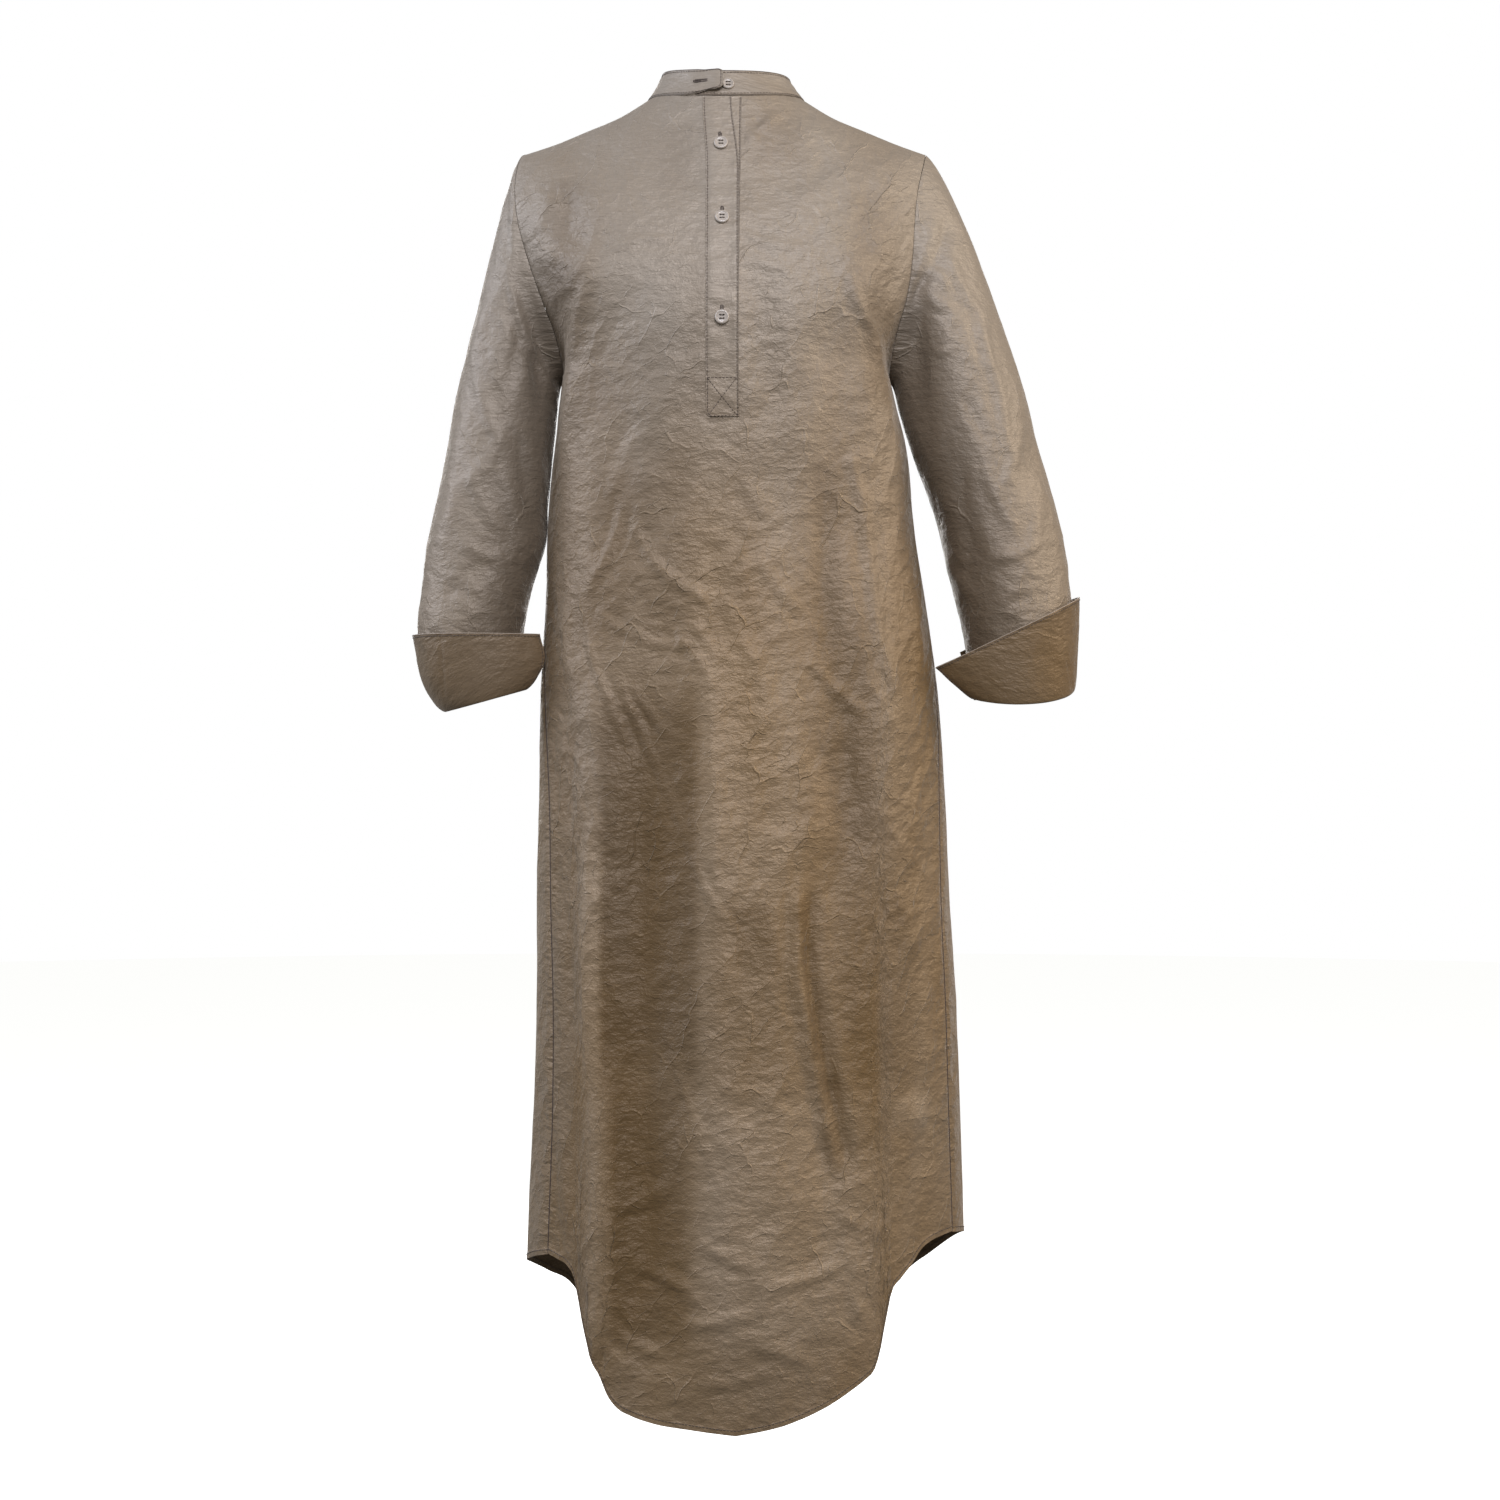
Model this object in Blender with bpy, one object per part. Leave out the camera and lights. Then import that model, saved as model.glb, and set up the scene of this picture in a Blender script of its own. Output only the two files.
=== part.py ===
"""Shirt dress of thin slubbed silk and linen cloth, hanging in its worn shape with no wearer.

Front faces -Y, +Z is up, metres. The origin lies at neck height between the two shoulders,
where a wearer carries the dress. Every piece is a thin closed wall that follows the worn form,
and neighbouring pieces stand a seam gap apart. Tables are in millimetres.
"""

import math
from collections import namedtuple

import bpy
import numpy as np
from mathutils import Matrix

MM = 0.001
CLOTH = 1.2
COLLAR_CLOTH = 2.0
CUFF_CLOTH = 1.6
PLACKET_CLOTH = 1.4
UNDERLAP_CLOTH = 1.0
SEAM_GAP = 0.3
LAYER_GAP = 0.4

FRONT_COLUMNS = 14
BACK_COLUMNS = 11
SKIRT_ROWS = 28
ARMHOLE_ROWS = 12
SHOULDER_ROWS = 6
DENSE = 181

# Stages of a panel from hem to neck: the rows of the grids are counted along them.
HEM, UNDERARM, TIP, NECK = 0.0, 1.0, 2.0, 3.0
PLACKET_STAGE = 0.951

# Body sections below the underarm. left, right: sideways reach; front, back: depth;
# round: exponent of the oval; centre: middle line; seam angles in degrees from centre front.
Ring = namedtuple("Ring", "height left right front back round centre seam_left seam_right")
RINGS = (
    Ring(-1200, -183, 211, 131, 128, 2.15, 6, 61, 69),
    Ring(-1022, -181.5, 210, 128, 125, 2.15, 6, 61, 69),
    Ring(-896, -175.5, 206, 126, 121, 2.15, 6, 62, 69),
    Ring(-806, -173, 203, 124, 118, 2.20, 5, 63, 69),
    Ring(-716, -173, 197, 121, 115, 2.20, 4, 65, 71),
    Ring(-626, -171, 193, 118, 112, 2.20, 2, 68, 74),
    Ring(-536, -170, 187, 115, 104, 2.25, 0, 74, 80),
    Ring(-446, -165, 175, 112, 92, 2.30, -2, 84, 86),
    Ring(-376, -163, 164, 112, 87, 2.35, -4, 89, 89),
    Ring(-320, -158, 159.5, 116, 88, 2.40, -5, 90, 90),
    Ring(-250, -149, 143, 122, 96, 2.50, -6, 90, 90),
)
UNDERARM_HEIGHT = RINGS[-1].height
MIDDLE_HEM = -1100.0

# Height of the shirt-tail hem against the share of the way from centre to side seam.
HemPoint = namedtuple("HemPoint", "share height")
FRONT_HEM_LEFT = (
    HemPoint(0, -1166),
    HemPoint(0.2, -1162),
    HemPoint(0.4, -1157.5),
    HemPoint(0.5, -1152.5),
    HemPoint(0.57, -1146.5),
    HemPoint(0.62, -1136),
    HemPoint(0.66, -1120),
    HemPoint(0.705, -1107),
    HemPoint(0.74, -1084),
    HemPoint(0.77, -1060),
    HemPoint(0.8, -1038),
    HemPoint(0.84, -1029),
    HemPoint(0.91, -1025),
    HemPoint(1, -1022),
)
FRONT_HEM_RIGHT = (
    HemPoint(0, -1166),
    HemPoint(0.12, -1161.5),
    HemPoint(0.25, -1153.5),
    HemPoint(0.35, -1144.5),
    HemPoint(0.45, -1132),
    HemPoint(0.52, -1122),
    HemPoint(0.565, -1112),
    HemPoint(0.6, -1087),
    HemPoint(0.64, -1049),
    HemPoint(0.68, -1038.5),
    HemPoint(0.735, -1027),
    HemPoint(0.79, -1014.5),
    HemPoint(0.845, -1009),
    HemPoint(0.92, -1006),
    HemPoint(1, -1005),
)
BACK_HEM_LEFT = (
    HemPoint(0, -1188),
    HemPoint(0.2, -1183),
    HemPoint(0.32, -1166),
    HemPoint(0.4, -1134),
    HemPoint(0.45, -1102),
    HemPoint(0.5, -1079),
    HemPoint(0.6, -1060),
    HemPoint(0.7, -1047),
    HemPoint(0.78, -1040),
    HemPoint(0.87, -1033),
    HemPoint(0.94, -1027),
    HemPoint(1, -1023),
)
BACK_HEM_RIGHT = (
    HemPoint(0, -1188),
    HemPoint(0.24, -1176),
    HemPoint(0.38, -1138),
    HemPoint(0.44, -1100),
    HemPoint(0.5, -1072),
    HemPoint(0.55, -1057.5),
    HemPoint(0.6, -1047),
    HemPoint(0.65, -1036.5),
    HemPoint(0.7, -1027.5),
    HemPoint(0.775, -1018.5),
    HemPoint(0.86, -1013),
    HemPoint(0.93, -1009),
    HemPoint(1, -1006),
)

# Edge of the armhole from underarm over the front to the shoulder tip, then down the back.
ArmholePoint = namedtuple("ArmholePoint", "left right depth height")
ARMHOLE = (
    ArmholePoint(-149, 143, 0, -250),
    ArmholePoint(-149, 143, -25, -237),
    ArmholePoint(-155, 148, -40, -211),
    ArmholePoint(-166, 156, -48, -182),
    ArmholePoint(-177, 161, -50, -150),
    ArmholePoint(-186, 163, -47, -118),
    ArmholePoint(-190, 166, -39, -88),
    ArmholePoint(-189, 172, -23, -61),
    ArmholePoint(-185, 176, 0, -46),
    ArmholePoint(-184, 175, 27, -60),
    ArmholePoint(-181, 172, 46, -86),
    ArmholePoint(-178, 169, 57, -118),
    ArmholePoint(-174, 166, 61, -150),
    ArmholePoint(-169, 162, 58, -182),
    ArmholePoint(-161, 155, 46, -212),
    ArmholePoint(-152, 147, 26, -238),
)
TIP_INDEX = 8

# Shoulder seam from tip to neck.
ShoulderPoint = namedtuple("ShoulderPoint", "stage left right depth height")
SHOULDER = (
    ShoulderPoint(2.00, -185, 176, 0, -46),
    ShoulderPoint(2.25, -158, 151, 3, -36.7),
    ShoulderPoint(2.50, -131, 124, 5, -25.8),
    ShoulderPoint(2.75, -102, 95, 5, -14.5),
    ShoulderPoint(3.00, -74, 67, 3, 1),
)

# Middle of each row above the underarm, and how the row turns from the middle to its ends.
ChestRow = namedtuple("ChestRow", "stage depth height round turn fall")
CHEST_FRONT = (
    ChestRow(1.00, -122, -250, 2.50, 0.40, 1.0),
    ChestRow(1.25, -125, -205, 2.50, 0.48, 1.0),
    ChestRow(1.50, -121, -165, 2.40, 0.58, 1.0),
    ChestRow(1.75, -109, -126, 2.20, 0.70, 1.1),
    ChestRow(2.00, -94, -91, 2.00, 0.80, 1.3),
    ChestRow(2.50, -76, -44, 2.00, 0.66, 1.3),
    ChestRow(3.00, -62, -7, 2.00, 0.50, 1.2),
)
CHEST_BACK = (
    ChestRow(1.00, 96, -250, 2.50, 0.40, 1.0),
    ChestRow(1.25, 99, -206, 2.40, 0.46, 1.0),
    ChestRow(1.50, 101, -160, 2.40, 0.56, 1.0),
    ChestRow(1.75, 97, -112, 2.20, 0.68, 1.1),
    ChestRow(2.00, 86, -64, 2.00, 0.80, 1.3),
    ChestRow(2.50, 72, -22, 2.00, 0.66, 1.3),
    ChestRow(3.00, 60, 10, 2.00, 0.50, 1.2),
)
CHEST_CENTRE = -6.0

# Soft folds of the cloth as ridges (+) and hollows (-) along a line from top to bottom.
Fold = namedtuple("Fold", "top_x top_z end_x end_z half_width rise")
FRONT_FOLDS = (
    Fold(-118, -440, -124, -1060, 24, 5.0),
    Fold(-62, -430, -72, -1120, 30, -6.0),
    Fold(-10, -520, 6, -1150, 30, 4.0),
    Fold(50, -320, 88, -640, 24, -5.0),
    Fold(92, -600, 84, -1010, 20, -6.0),
    Fold(36, -700, 42, -1130, 20, 4.0),
    Fold(134, -430, 142, -990, 22, 5.0),
    Fold(-124, -150, -139, -300, 15, 5.0),
    Fold(-92, -190, -100, -420, 22, -4.0),
    Fold(108, -150, 128, -300, 15, 5.0),
    Fold(84, -200, 104, -430, 22, -4.0),
    Fold(-148, -90, -132, -150, 14, -4.0),
    Fold(126, -90, 112, -150, 14, -4.0),
    Fold(24, -170, 40, -300, 16, -3.0),
)
# Where along its line a fold rises from the cloth and sinks back into it.
FOLD_BEGINS = (-0.12, 0.22)
FOLD_ENDS = (0.80, 1.15)
# Beside the placket the cloth lies flat: half-widths of the flat part and of the change to folds.
FLAT_BESIDE_PLACKET = (10.0, 30.0)
FLAT_DOWN_TO = -330.0
BACK_FOLDS = (
    Fold(-128, -420, -136, -1010, 24, 5.0),
    Fold(-86, -330, -92, -1080, 26, -6.0),
    Fold(-36, -470, -44, -1150, 26, 5.0),
    Fold(10, -360, 16, -1150, 28, -6.0),
    Fold(64, -440, 72, -1120, 26, 5.0),
    Fold(108, -340, 120, -1060, 24, -6.0),
    Fold(152, -500, 160, -980, 20, 4.0),
    Fold(-112, -110, -98, -260, 18, -4.0),
    Fold(104, -120, 92, -270, 18, -4.0),
)

# Sleeve sections, heights falling from the upper arm to the sleeve end.
SleeveRing = namedtuple("SleeveRing", "height x y half_width half_depth")
LEFT_SLEEVE = (
    SleeveRing(-276, -202.2, 2, 46.3, 58),
    SleeveRing(-320, -208.3, 1, 47.7, 58),
    SleeveRing(-360, -214.0, 0, 50.1, 57),
    SleeveRing(-396, -218.3, -2, 52.7, 56),
    SleeveRing(-437, -227.0, -5, 49.0, 54),
    SleeveRing(-476, -232.5, -8, 47.0, 51),
    SleeveRing(-511, -229.0, -10, 42.5, 47),
)
RIGHT_SLEEVE = (
    SleeveRing(-276, 210.8, 2, 58.0, 58),
    SleeveRing(-310, 219.8, 1, 57.3, 58),
    SleeveRing(-370, 239.0, -1, 55.0, 57),
    SleeveRing(-410, 248.0, -3, 54.0, 55),
    SleeveRing(-446, 254.0, -6, 52.0, 53),
    SleeveRing(-482, 258.5, -9, 48.0, 50),
    SleeveRing(-508, 259.0, -10, 45.0, 47),
)
CAP_ROWS = 7
ARM_ROWS = 9

# How the sleeve leaves the armhole: outward, forward and up shares; how long it keeps that
# direction, and how long it has been hanging straight down where the arm begins.
CapLeave = namedtuple("CapLeave", "outward forward rise reach arrive")
CAP_UNDERARM = CapLeave(0.96, 0.00, -0.28, 18, 27)
CAP_FRONT = CapLeave(0.70, 0.16, -0.70, 70, 110)
LEFT_CAP_TIP = CapLeave(0.82, 0.00, -0.57, 20, 40)
RIGHT_CAP_TIP = CapLeave(0.77, 0.00, -0.64, 100, 160)
CAP_BACK = CapLeave(0.70, -0.16, -0.70, 70, 110)

# Folds of a sleeve: ridge or hollow at an angle round the sleeve, between two heights.
SleeveFold = namedtuple("SleeveFold", "top_angle top_z end_angle end_z spread rise")
SLEEVE_FOLD_BEGINS = (-0.3, 0.25)
SLEEVE_FOLD_ENDS = (0.75, 1.3)
LEFT_SLEEVE_FOLDS = (
    SleeveFold(70, -130, 40, -262, 17, -9.0),
    SleeveFold(105, -330, 150, -420, 20, 3.0),
    SleeveFold(60, -380, 110, -450, 18, -3.0),
    SleeveFold(230, -300, 290, -400, 24, 4.0),
    SleeveFold(300, -370, 250, -450, 20, -3.0),
    SleeveFold(280, -130, 315, -260, 18, -8.0),
)
RIGHT_SLEEVE_FOLDS = (
    SleeveFold(78, -110, 44, -262, 17, -9.0),
    SleeveFold(120, -350, 80, -440, 20, 3.0),
    SleeveFold(150, -300, 110, -400, 20, -3.0),
    SleeveFold(240, -320, 300, -410, 24, 4.0),
    SleeveFold(290, -380, 250, -460, 20, -3.0),
    SleeveFold(280, -120, 315, -260, 18, -8.0),
)

# Turned-back cuff: rings from its seam with the sleeve, down to the fold and up to the free edge.
# flare: how far the front end of the ring spreads towards the body.
CuffRing = namedtuple("CuffRing", "x y height half_width half_depth slope_x slope_y flare")
LEFT_CUFF = (
    CuffRing(-229.0, -10, -511.6, 42.5, 47, 0.00, 0.00, 0),
    CuffRing(-219.5, -10, -532.0, 36.0, 43, 0.26, 0.05, 2),
    CuffRing(-219.0, -10, -536.0, 37.0, 45, 0.27, 0.05, 9),
    CuffRing(-221.5, -10, -527.0, 43.5, 49, 0.25, 0.05, 16),
    CuffRing(-226.0, -10, -508.0, 51.0, 54, 0.14, 0.00, 21),
    CuffRing(-228.0, -10, -478.5, 55.5, 58, 0.00, 0.00, 15),
)
RIGHT_CUFF = (
    CuffRing(259.0, -10, -508.9, 45.0, 47, 0.00, 0.00, 0),
    CuffRing(259.0, -10, -523.0, 44.0, 45, 0.04, 0.26, 0),
    CuffRing(259.0, -10, -526.0, 47.0, 48, 0.04, 0.28, 0),
    CuffRing(259.0, -10, -523.5, 50.0, 51, 0.04, 0.27, 7),
    CuffRing(258.5, -10, -500.0, 53.0, 55, 0.25, 0.14, 20),
    CuffRing(257.5, -10, -470.5, 55.0, 58, 0.48, 0.04, 31),
)
CUFF_AROUND = 28
CUFF_FRONT_END = 36
CUFF_BACK_END = 322
CUFF_FLARE_START = 84
CUFF_BACK_FLARE_START = 270
CUFF_BACK_FLARE = 5.0

# Band collar: how far it rises and leans in, at front, side and back.
COLLAR_RISE_FRONT = 24.2
COLLAR_RISE_LEFT = 24.0
COLLAR_RISE_RIGHT = 19.5
COLLAR_RISE_BACK = 27.0
COLLAR_LEAN_FRONT = 9.0
COLLAR_LEAN_SIDE = 13.5
COLLAR_LEAN_BACK = 7.0
COLLAR_STEPS = 58
COLLAR_ROWS = 4
COLLAR_OVER_END = -5.5
COLLAR_UNDER_END = -30.0
COLLAR_LAP_START = -58.0
COLLAR_SEAT = 1.15
COLLAR_LAP = 2.6
COLLAR_LIFT = 3.9
COLLAR_LIFT_OVER = (-24.0, -9.0)
COLLAR_TOP_CORNER = 4.0
COLLAR_LOW_CORNER = 7.0
COLLAR_END_RAISE = 0.22
COLLAR_END_TURN = 29.0

PLACKET_LEFT = -14.0
PLACKET_RIGHT = 14.0
PLACKET_END_ROW = 2
PLACKET_CORNER = 4.0
UNDERLAP_LEFT = -3.0
UNDERLAP_RIGHT_TOP = 16.6
UNDERLAP_RIGHT_END = 13.4
UNDERLAP_END_ROW = 1
STRIP_TOP_DROP = 1.8
SLIT_GAP = 0.6

BUTTON_DIAMETER = 12.4
COLLAR_BUTTON_DIAMETER = 10.8
BUTTON_THICKNESS = 2.4
BUTTON_RIM = 1.5
BUTTON_WELL = 0.6
BUTTON_BEVEL = 0.5
HOLE_DIAMETER = 1.7
HOLE_SPACING = 2.9
BUTTON_SIDES = 20
HOLE_SIDES = 6
PLACKET_BUTTON_HEIGHTS = (-53.0, -123.0, -211.0)
COLLAR_BUTTON_X = -1.0
COLLAR_BUTTON_SHARE = 0.42
COLLAR_BUTTON_GAP = 0.7


def spline(knots, values, at):
    """Smooth curve through a column of a table, read at the given places."""
    knots = np.asarray(knots, float)
    values = np.asarray(values, float)
    slopes = np.gradient(values, knots)
    at = np.clip(np.asarray(at, float), knots[0], knots[-1])
    i = np.clip(np.searchsorted(knots, at, side="right") - 1, 0, len(knots) - 2)
    step = knots[i + 1] - knots[i]
    t = (at - knots[i]) / step
    rise = (2 * t**3 - 3 * t**2 + 1) * values[i] + (3 * t**2 - 2 * t**3) * values[i + 1]
    return rise + step * ((t**3 - 2 * t**2 + t) * slopes[i] + (t**3 - t**2) * slopes[i + 1])


def column(table, key, name, at):
    """One named column of a table, read smoothly along the column key."""
    return spline([getattr(row, key) for row in table], [getattr(row, name) for row in table], at)


def ease(low, high, value):
    """Smooth step from 0 at low to 1 at high."""
    t = np.clip((value - low) / (high - low), 0.0, 1.0)
    return t * t * (3 - 2 * t)


def power(value, exponent):
    """A power that keeps the sign, for the ovals."""
    return np.sign(value) * np.abs(value) ** exponent


def armhole_edge(stage, side, back):
    """Point of the armhole edge at a stage between underarm and tip, as x, y, z columns."""
    around = len(ARMHOLE)
    knots = np.arange(-2, around + 3)
    rows = [ARMHOLE[k % around] for k in knots]
    at = TIP_INDEX * (np.asarray(stage, float) - UNDERARM)
    at = around - at if back else at
    names = (side, "depth", "height")
    return [spline(knots, [getattr(row, name) for row in rows], at) for name in names]


def row_ends(stage, side, back):
    """End of the row at each stage above the underarm: armhole edge, then shoulder seam."""
    stage = np.asarray(stage, float)
    low = armhole_edge(np.clip(stage, UNDERARM, TIP), side, back)
    high = [column(SHOULDER, "stage", name, stage) for name in (side, "depth", "height")]
    return [np.where(stage > TIP, h, l) for h, l in zip(high, low)]


def ring_point(height, angle):
    """Point of the body section at a height, angle in degrees from centre front."""
    turned = np.radians(angle)
    left = column(RINGS, "height", "left", height)
    right = column(RINGS, "height", "right", height)
    centre = column(RINGS, "height", "centre", height)
    share = 2.0 / column(RINGS, "height", "round", height)
    reach = np.where(turned < 0, centre - left, right - centre)
    front = column(RINGS, "height", "front", height)
    behind = column(RINGS, "height", "back", height)
    depth = np.where(np.abs(turned) > math.pi / 2, behind, front)
    x = centre + reach * power(np.sin(turned), share)
    y = -depth * power(np.cos(turned), share)
    return x, y


def hem_height(share, side, back):
    """Height of the hem at a share of the way from centre to side seam."""
    front_tables = {"left": FRONT_HEM_LEFT, "right": FRONT_HEM_RIGHT}
    back_tables = {"left": BACK_HEM_LEFT, "right": BACK_HEM_RIGHT}
    table = (back_tables if back else front_tables)[side]
    return column(table, "share", "height", share)


def skirt_row(stage, side, back):
    """Dense curve of one row below the underarm, from centre to side seam."""
    way = np.linspace(0.0, 1.0, DENSE)
    sign = -1.0 if side == "left" else 1.0
    height = np.full(DENSE, UNDERARM_HEIGHT + (1 - stage) * (MIDDLE_HEM - UNDERARM_HEIGHT))
    share = way
    for _ in range(2):
        seam = column(RINGS, "height", "seam_" + side, height)
        start = 180.0 if back else 0.0
        angle = sign * (start + (seam - start) * way)
        x, y = ring_point(height, angle)
        steps = np.hypot(np.diff(x), np.diff(y))
        share = np.concatenate([[0.0], np.cumsum(steps)]) / steps.sum()
        hem = hem_height(share, side, back)
        height = hem + (UNDERARM_HEIGHT - hem) * stage
    seam = column(RINGS, "height", "seam_" + side, height)
    x, y = ring_point(height, sign * (start + (seam - start) * way))
    return x, y, height


def chest_row(stage, side, back):
    """Dense curve of one row above the underarm, from centre to armhole or shoulder seam."""
    table = CHEST_BACK if back else CHEST_FRONT
    end_x, end_y, end_z = row_ends(stage, side, back)
    depth = column(table, "stage", "depth", stage)
    middle = column(table, "stage", "height", stage)
    round_share = 2.0 / column(table, "stage", "round", stage)
    turn = 2.0 * column(table, "stage", "turn", stage)
    fall = 2.0 * column(table, "stage", "fall", stage)
    ridge = column(SHOULDER, "stage", "depth", stage)
    cut = max(0.0, float((end_y - ridge) / (depth - ridge)))
    last = math.acos(cut ** (1.0 / turn))
    turned = np.linspace(0.0, last, DENSE)
    across = (np.sin(turned) / math.sin(last)) ** round_share
    falling = (np.cos(turned) ** fall - math.cos(last) ** fall) / (1 - math.cos(last) ** fall)
    x = CHEST_CENTRE + (end_x - CHEST_CENTRE) * across
    y = ridge + (depth - ridge) * np.cos(turned) ** turn
    return x, y, end_z + (middle - end_z) * falling


def half_row(stage, side, back, shares):
    """Points of half a row at shares of its length from centre to edge."""
    below = stage < UNDERARM
    x, y, z = (skirt_row if below else chest_row)(stage, side, back)
    steps = np.hypot(np.diff(x), np.diff(y)) if below else np.linalg.norm(np.diff([x, y, z]), axis=0)
    length = np.concatenate([[0.0], np.cumsum(steps)])
    shares = np.asarray(shares(length[-1]), float)
    at = shares * length[-1]
    return np.stack([np.interp(at, length, values) for values in (x, y, z)], axis=-1)


def fold_rise(folds, x, z):
    """Sum of the soft folds at places of a panel seen from the front."""
    total = np.zeros_like(x)
    for fold in folds:
        along_x, along_z = fold.end_x - fold.top_x, fold.end_z - fold.top_z
        length = math.hypot(along_x, along_z)
        t = ((x - fold.top_x) * along_x + (z - fold.top_z) * along_z) / length**2
        off = ((x - fold.top_x) * along_z - (z - fold.top_z) * along_x) / length
        lasts = ease(*FOLD_BEGINS, t) * (1 - ease(*FOLD_ENDS, t))
        total += fold.rise * lasts * np.exp(-((off / fold.half_width) ** 2))
    return total


def grid_normals(grid, closed=False):
    """Unit normals of a grid of points, rows upward and columns from left to right."""
    if closed:
        padded = np.concatenate([grid[:, -2:-1], grid, grid[:, 1:2]], axis=1)
        along = (np.roll(padded, -1, axis=1) - np.roll(padded, 1, axis=1))[:, 1:-1]
    else:
        along = np.gradient(grid, axis=1)
    up = np.gradient(grid, axis=0)
    normal = np.cross(along, up)
    return normal / np.linalg.norm(normal, axis=-1, keepdims=True)


def stages():
    """Stages of all rows of the panels, from hem to neck."""
    low = np.linspace(HEM, PLACKET_STAGE, SKIRT_ROWS - PLACKET_END_ROW + 1)
    high = np.linspace(PLACKET_STAGE, UNDERARM, PLACKET_END_ROW + 1)
    skirt = np.concatenate([low, high[1:-1]])
    arm = np.linspace(UNDERARM, TIP, ARMHOLE_ROWS, endpoint=False)
    return np.concatenate([skirt, arm, np.linspace(TIP, NECK, SHOULDER_ROWS + 1)])


def front_shares(length):
    """Columns of half the front: the placket edge first, then even steps to the seam."""
    edge = PLACKET_RIGHT / length
    outer = np.linspace(edge, 1.0, FRONT_COLUMNS - 1)
    return np.concatenate([[0.0, edge / 2], outer])


def back_shares(length):
    """Columns of half the back, even steps from centre to seam."""
    return np.linspace(0.0, 1.0, BACK_COLUMNS + 1)


def panel_grid(back):
    """Mid-surface of a panel with its folds, as rows from hem to neck, left to right as worn."""
    shares = back_shares if back else front_shares
    rows = []
    for stage in stages():
        left = half_row(stage, "left", back, shares)
        right = half_row(stage, "right", back, shares)
        rows.append(np.concatenate([left[::-1], right[1:]]))
    grid = np.array(rows)
    if back:
        grid = grid[:, ::-1]
    normal = grid_normals(grid)
    edge = np.linspace(-1.0, 1.0, grid.shape[1])
    inside = 1 - ease(0.80, 1.0, np.abs(edge))
    top = 1 - ease(1.7, 2.3, stages())
    folds = BACK_FOLDS if back else FRONT_FOLDS
    rise = fold_rise(folds, grid[..., 0], grid[..., 2]) * inside[None, :] * top[:, None]
    if not back:
        beside = np.abs(grid[..., 0] - CHEST_CENTRE)
        flat = (1 - ease(*FLAT_BESIDE_PLACKET, beside)) * (grid[..., 2] > FLAT_DOWN_TO)
        rise = rise * (1 - flat)
    return grid + normal * rise[..., None]


def seam_edges(front, back):
    """Shared normals where front and back meet, and both panels drawn in by half a seam gap."""
    front_normal = grid_normals(front)
    back_normal = grid_normals(back)
    joined = np.ones(len(front), bool)
    joined[SKIRT_ROWS + 1 : SKIRT_ROWS + ARMHOLE_ROWS] = False
    for front_edge, back_edge in ((0, -1), (-1, 0)):
        mean = front_normal[:, front_edge] + back_normal[:, back_edge]
        mean /= np.linalg.norm(mean, axis=-1, keepdims=True)
        front_normal[joined, front_edge] = mean[joined]
        back_normal[joined, back_edge] = mean[joined]
    return draw_in(front), front_normal, draw_in(back), back_normal


def draw_in(grid):
    """A panel with its two side edges moved inward by half a seam gap."""
    drawn = grid.copy()
    for edge, inner in ((0, 1), (-1, -2)):
        step = grid[:, inner] - grid[:, edge]
        drawn[:, edge] += step / np.linalg.norm(step, axis=-1, keepdims=True) * SEAM_GAP / 2
    return drawn


def grid_faces(rows, columns, closed=False):
    """Quads of a grid, facing the side its normals point to."""
    faces = []
    for r in range(rows - 1):
        for c in range(columns if closed else columns - 1):
            d = (c + 1) % columns
            faces.append((r * columns + c, r * columns + d, (r + 1) * columns + d, (r + 1) * columns + c))
    return faces


def cloth_material(name, colour, roughness, sheen):
    """Plain cloth or shell shader of a piece."""
    material = bpy.data.materials.new(name)
    material.use_nodes = True
    shader = material.node_tree.nodes["Principled BSDF"]
    shader.inputs["Base Color"].default_value = (*colour, 1.0)
    shader.inputs["Roughness"].default_value = roughness
    shader.inputs["Sheen Weight"].default_value = sheen
    material.diffuse_color = (*colour, 1.0)
    return material


def wall(name, points, normals, faces, thickness, material):
    """Closed wall on both sides of a mid-surface, with rims along its open edges."""
    points = np.asarray(points, float).reshape(-1, 3)
    normals = np.asarray(normals, float).reshape(-1, 3)
    count = len(points)
    outer = points + normals * thickness / 2
    inner = points - normals * thickness / 2
    used = {}
    for face in faces:
        for k, a in enumerate(face):
            used[(a, face[(k + 1) % len(face)])] = True
    solid = [tuple(face) for face in faces]
    solid += [tuple(k + count for k in reversed(face)) for face in faces]
    solid += [(b, a, a + count, b + count) for a, b in used if (b, a) not in used]
    mesh = bpy.data.meshes.new(name)
    mesh.from_pydata((np.concatenate([outer, inner]) * MM).tolist(), [], solid)
    mesh.validate()
    item = bpy.data.objects.new(name, mesh)
    bpy.context.scene.collection.objects.link(item)
    mesh.materials.append(material)
    return item


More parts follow.
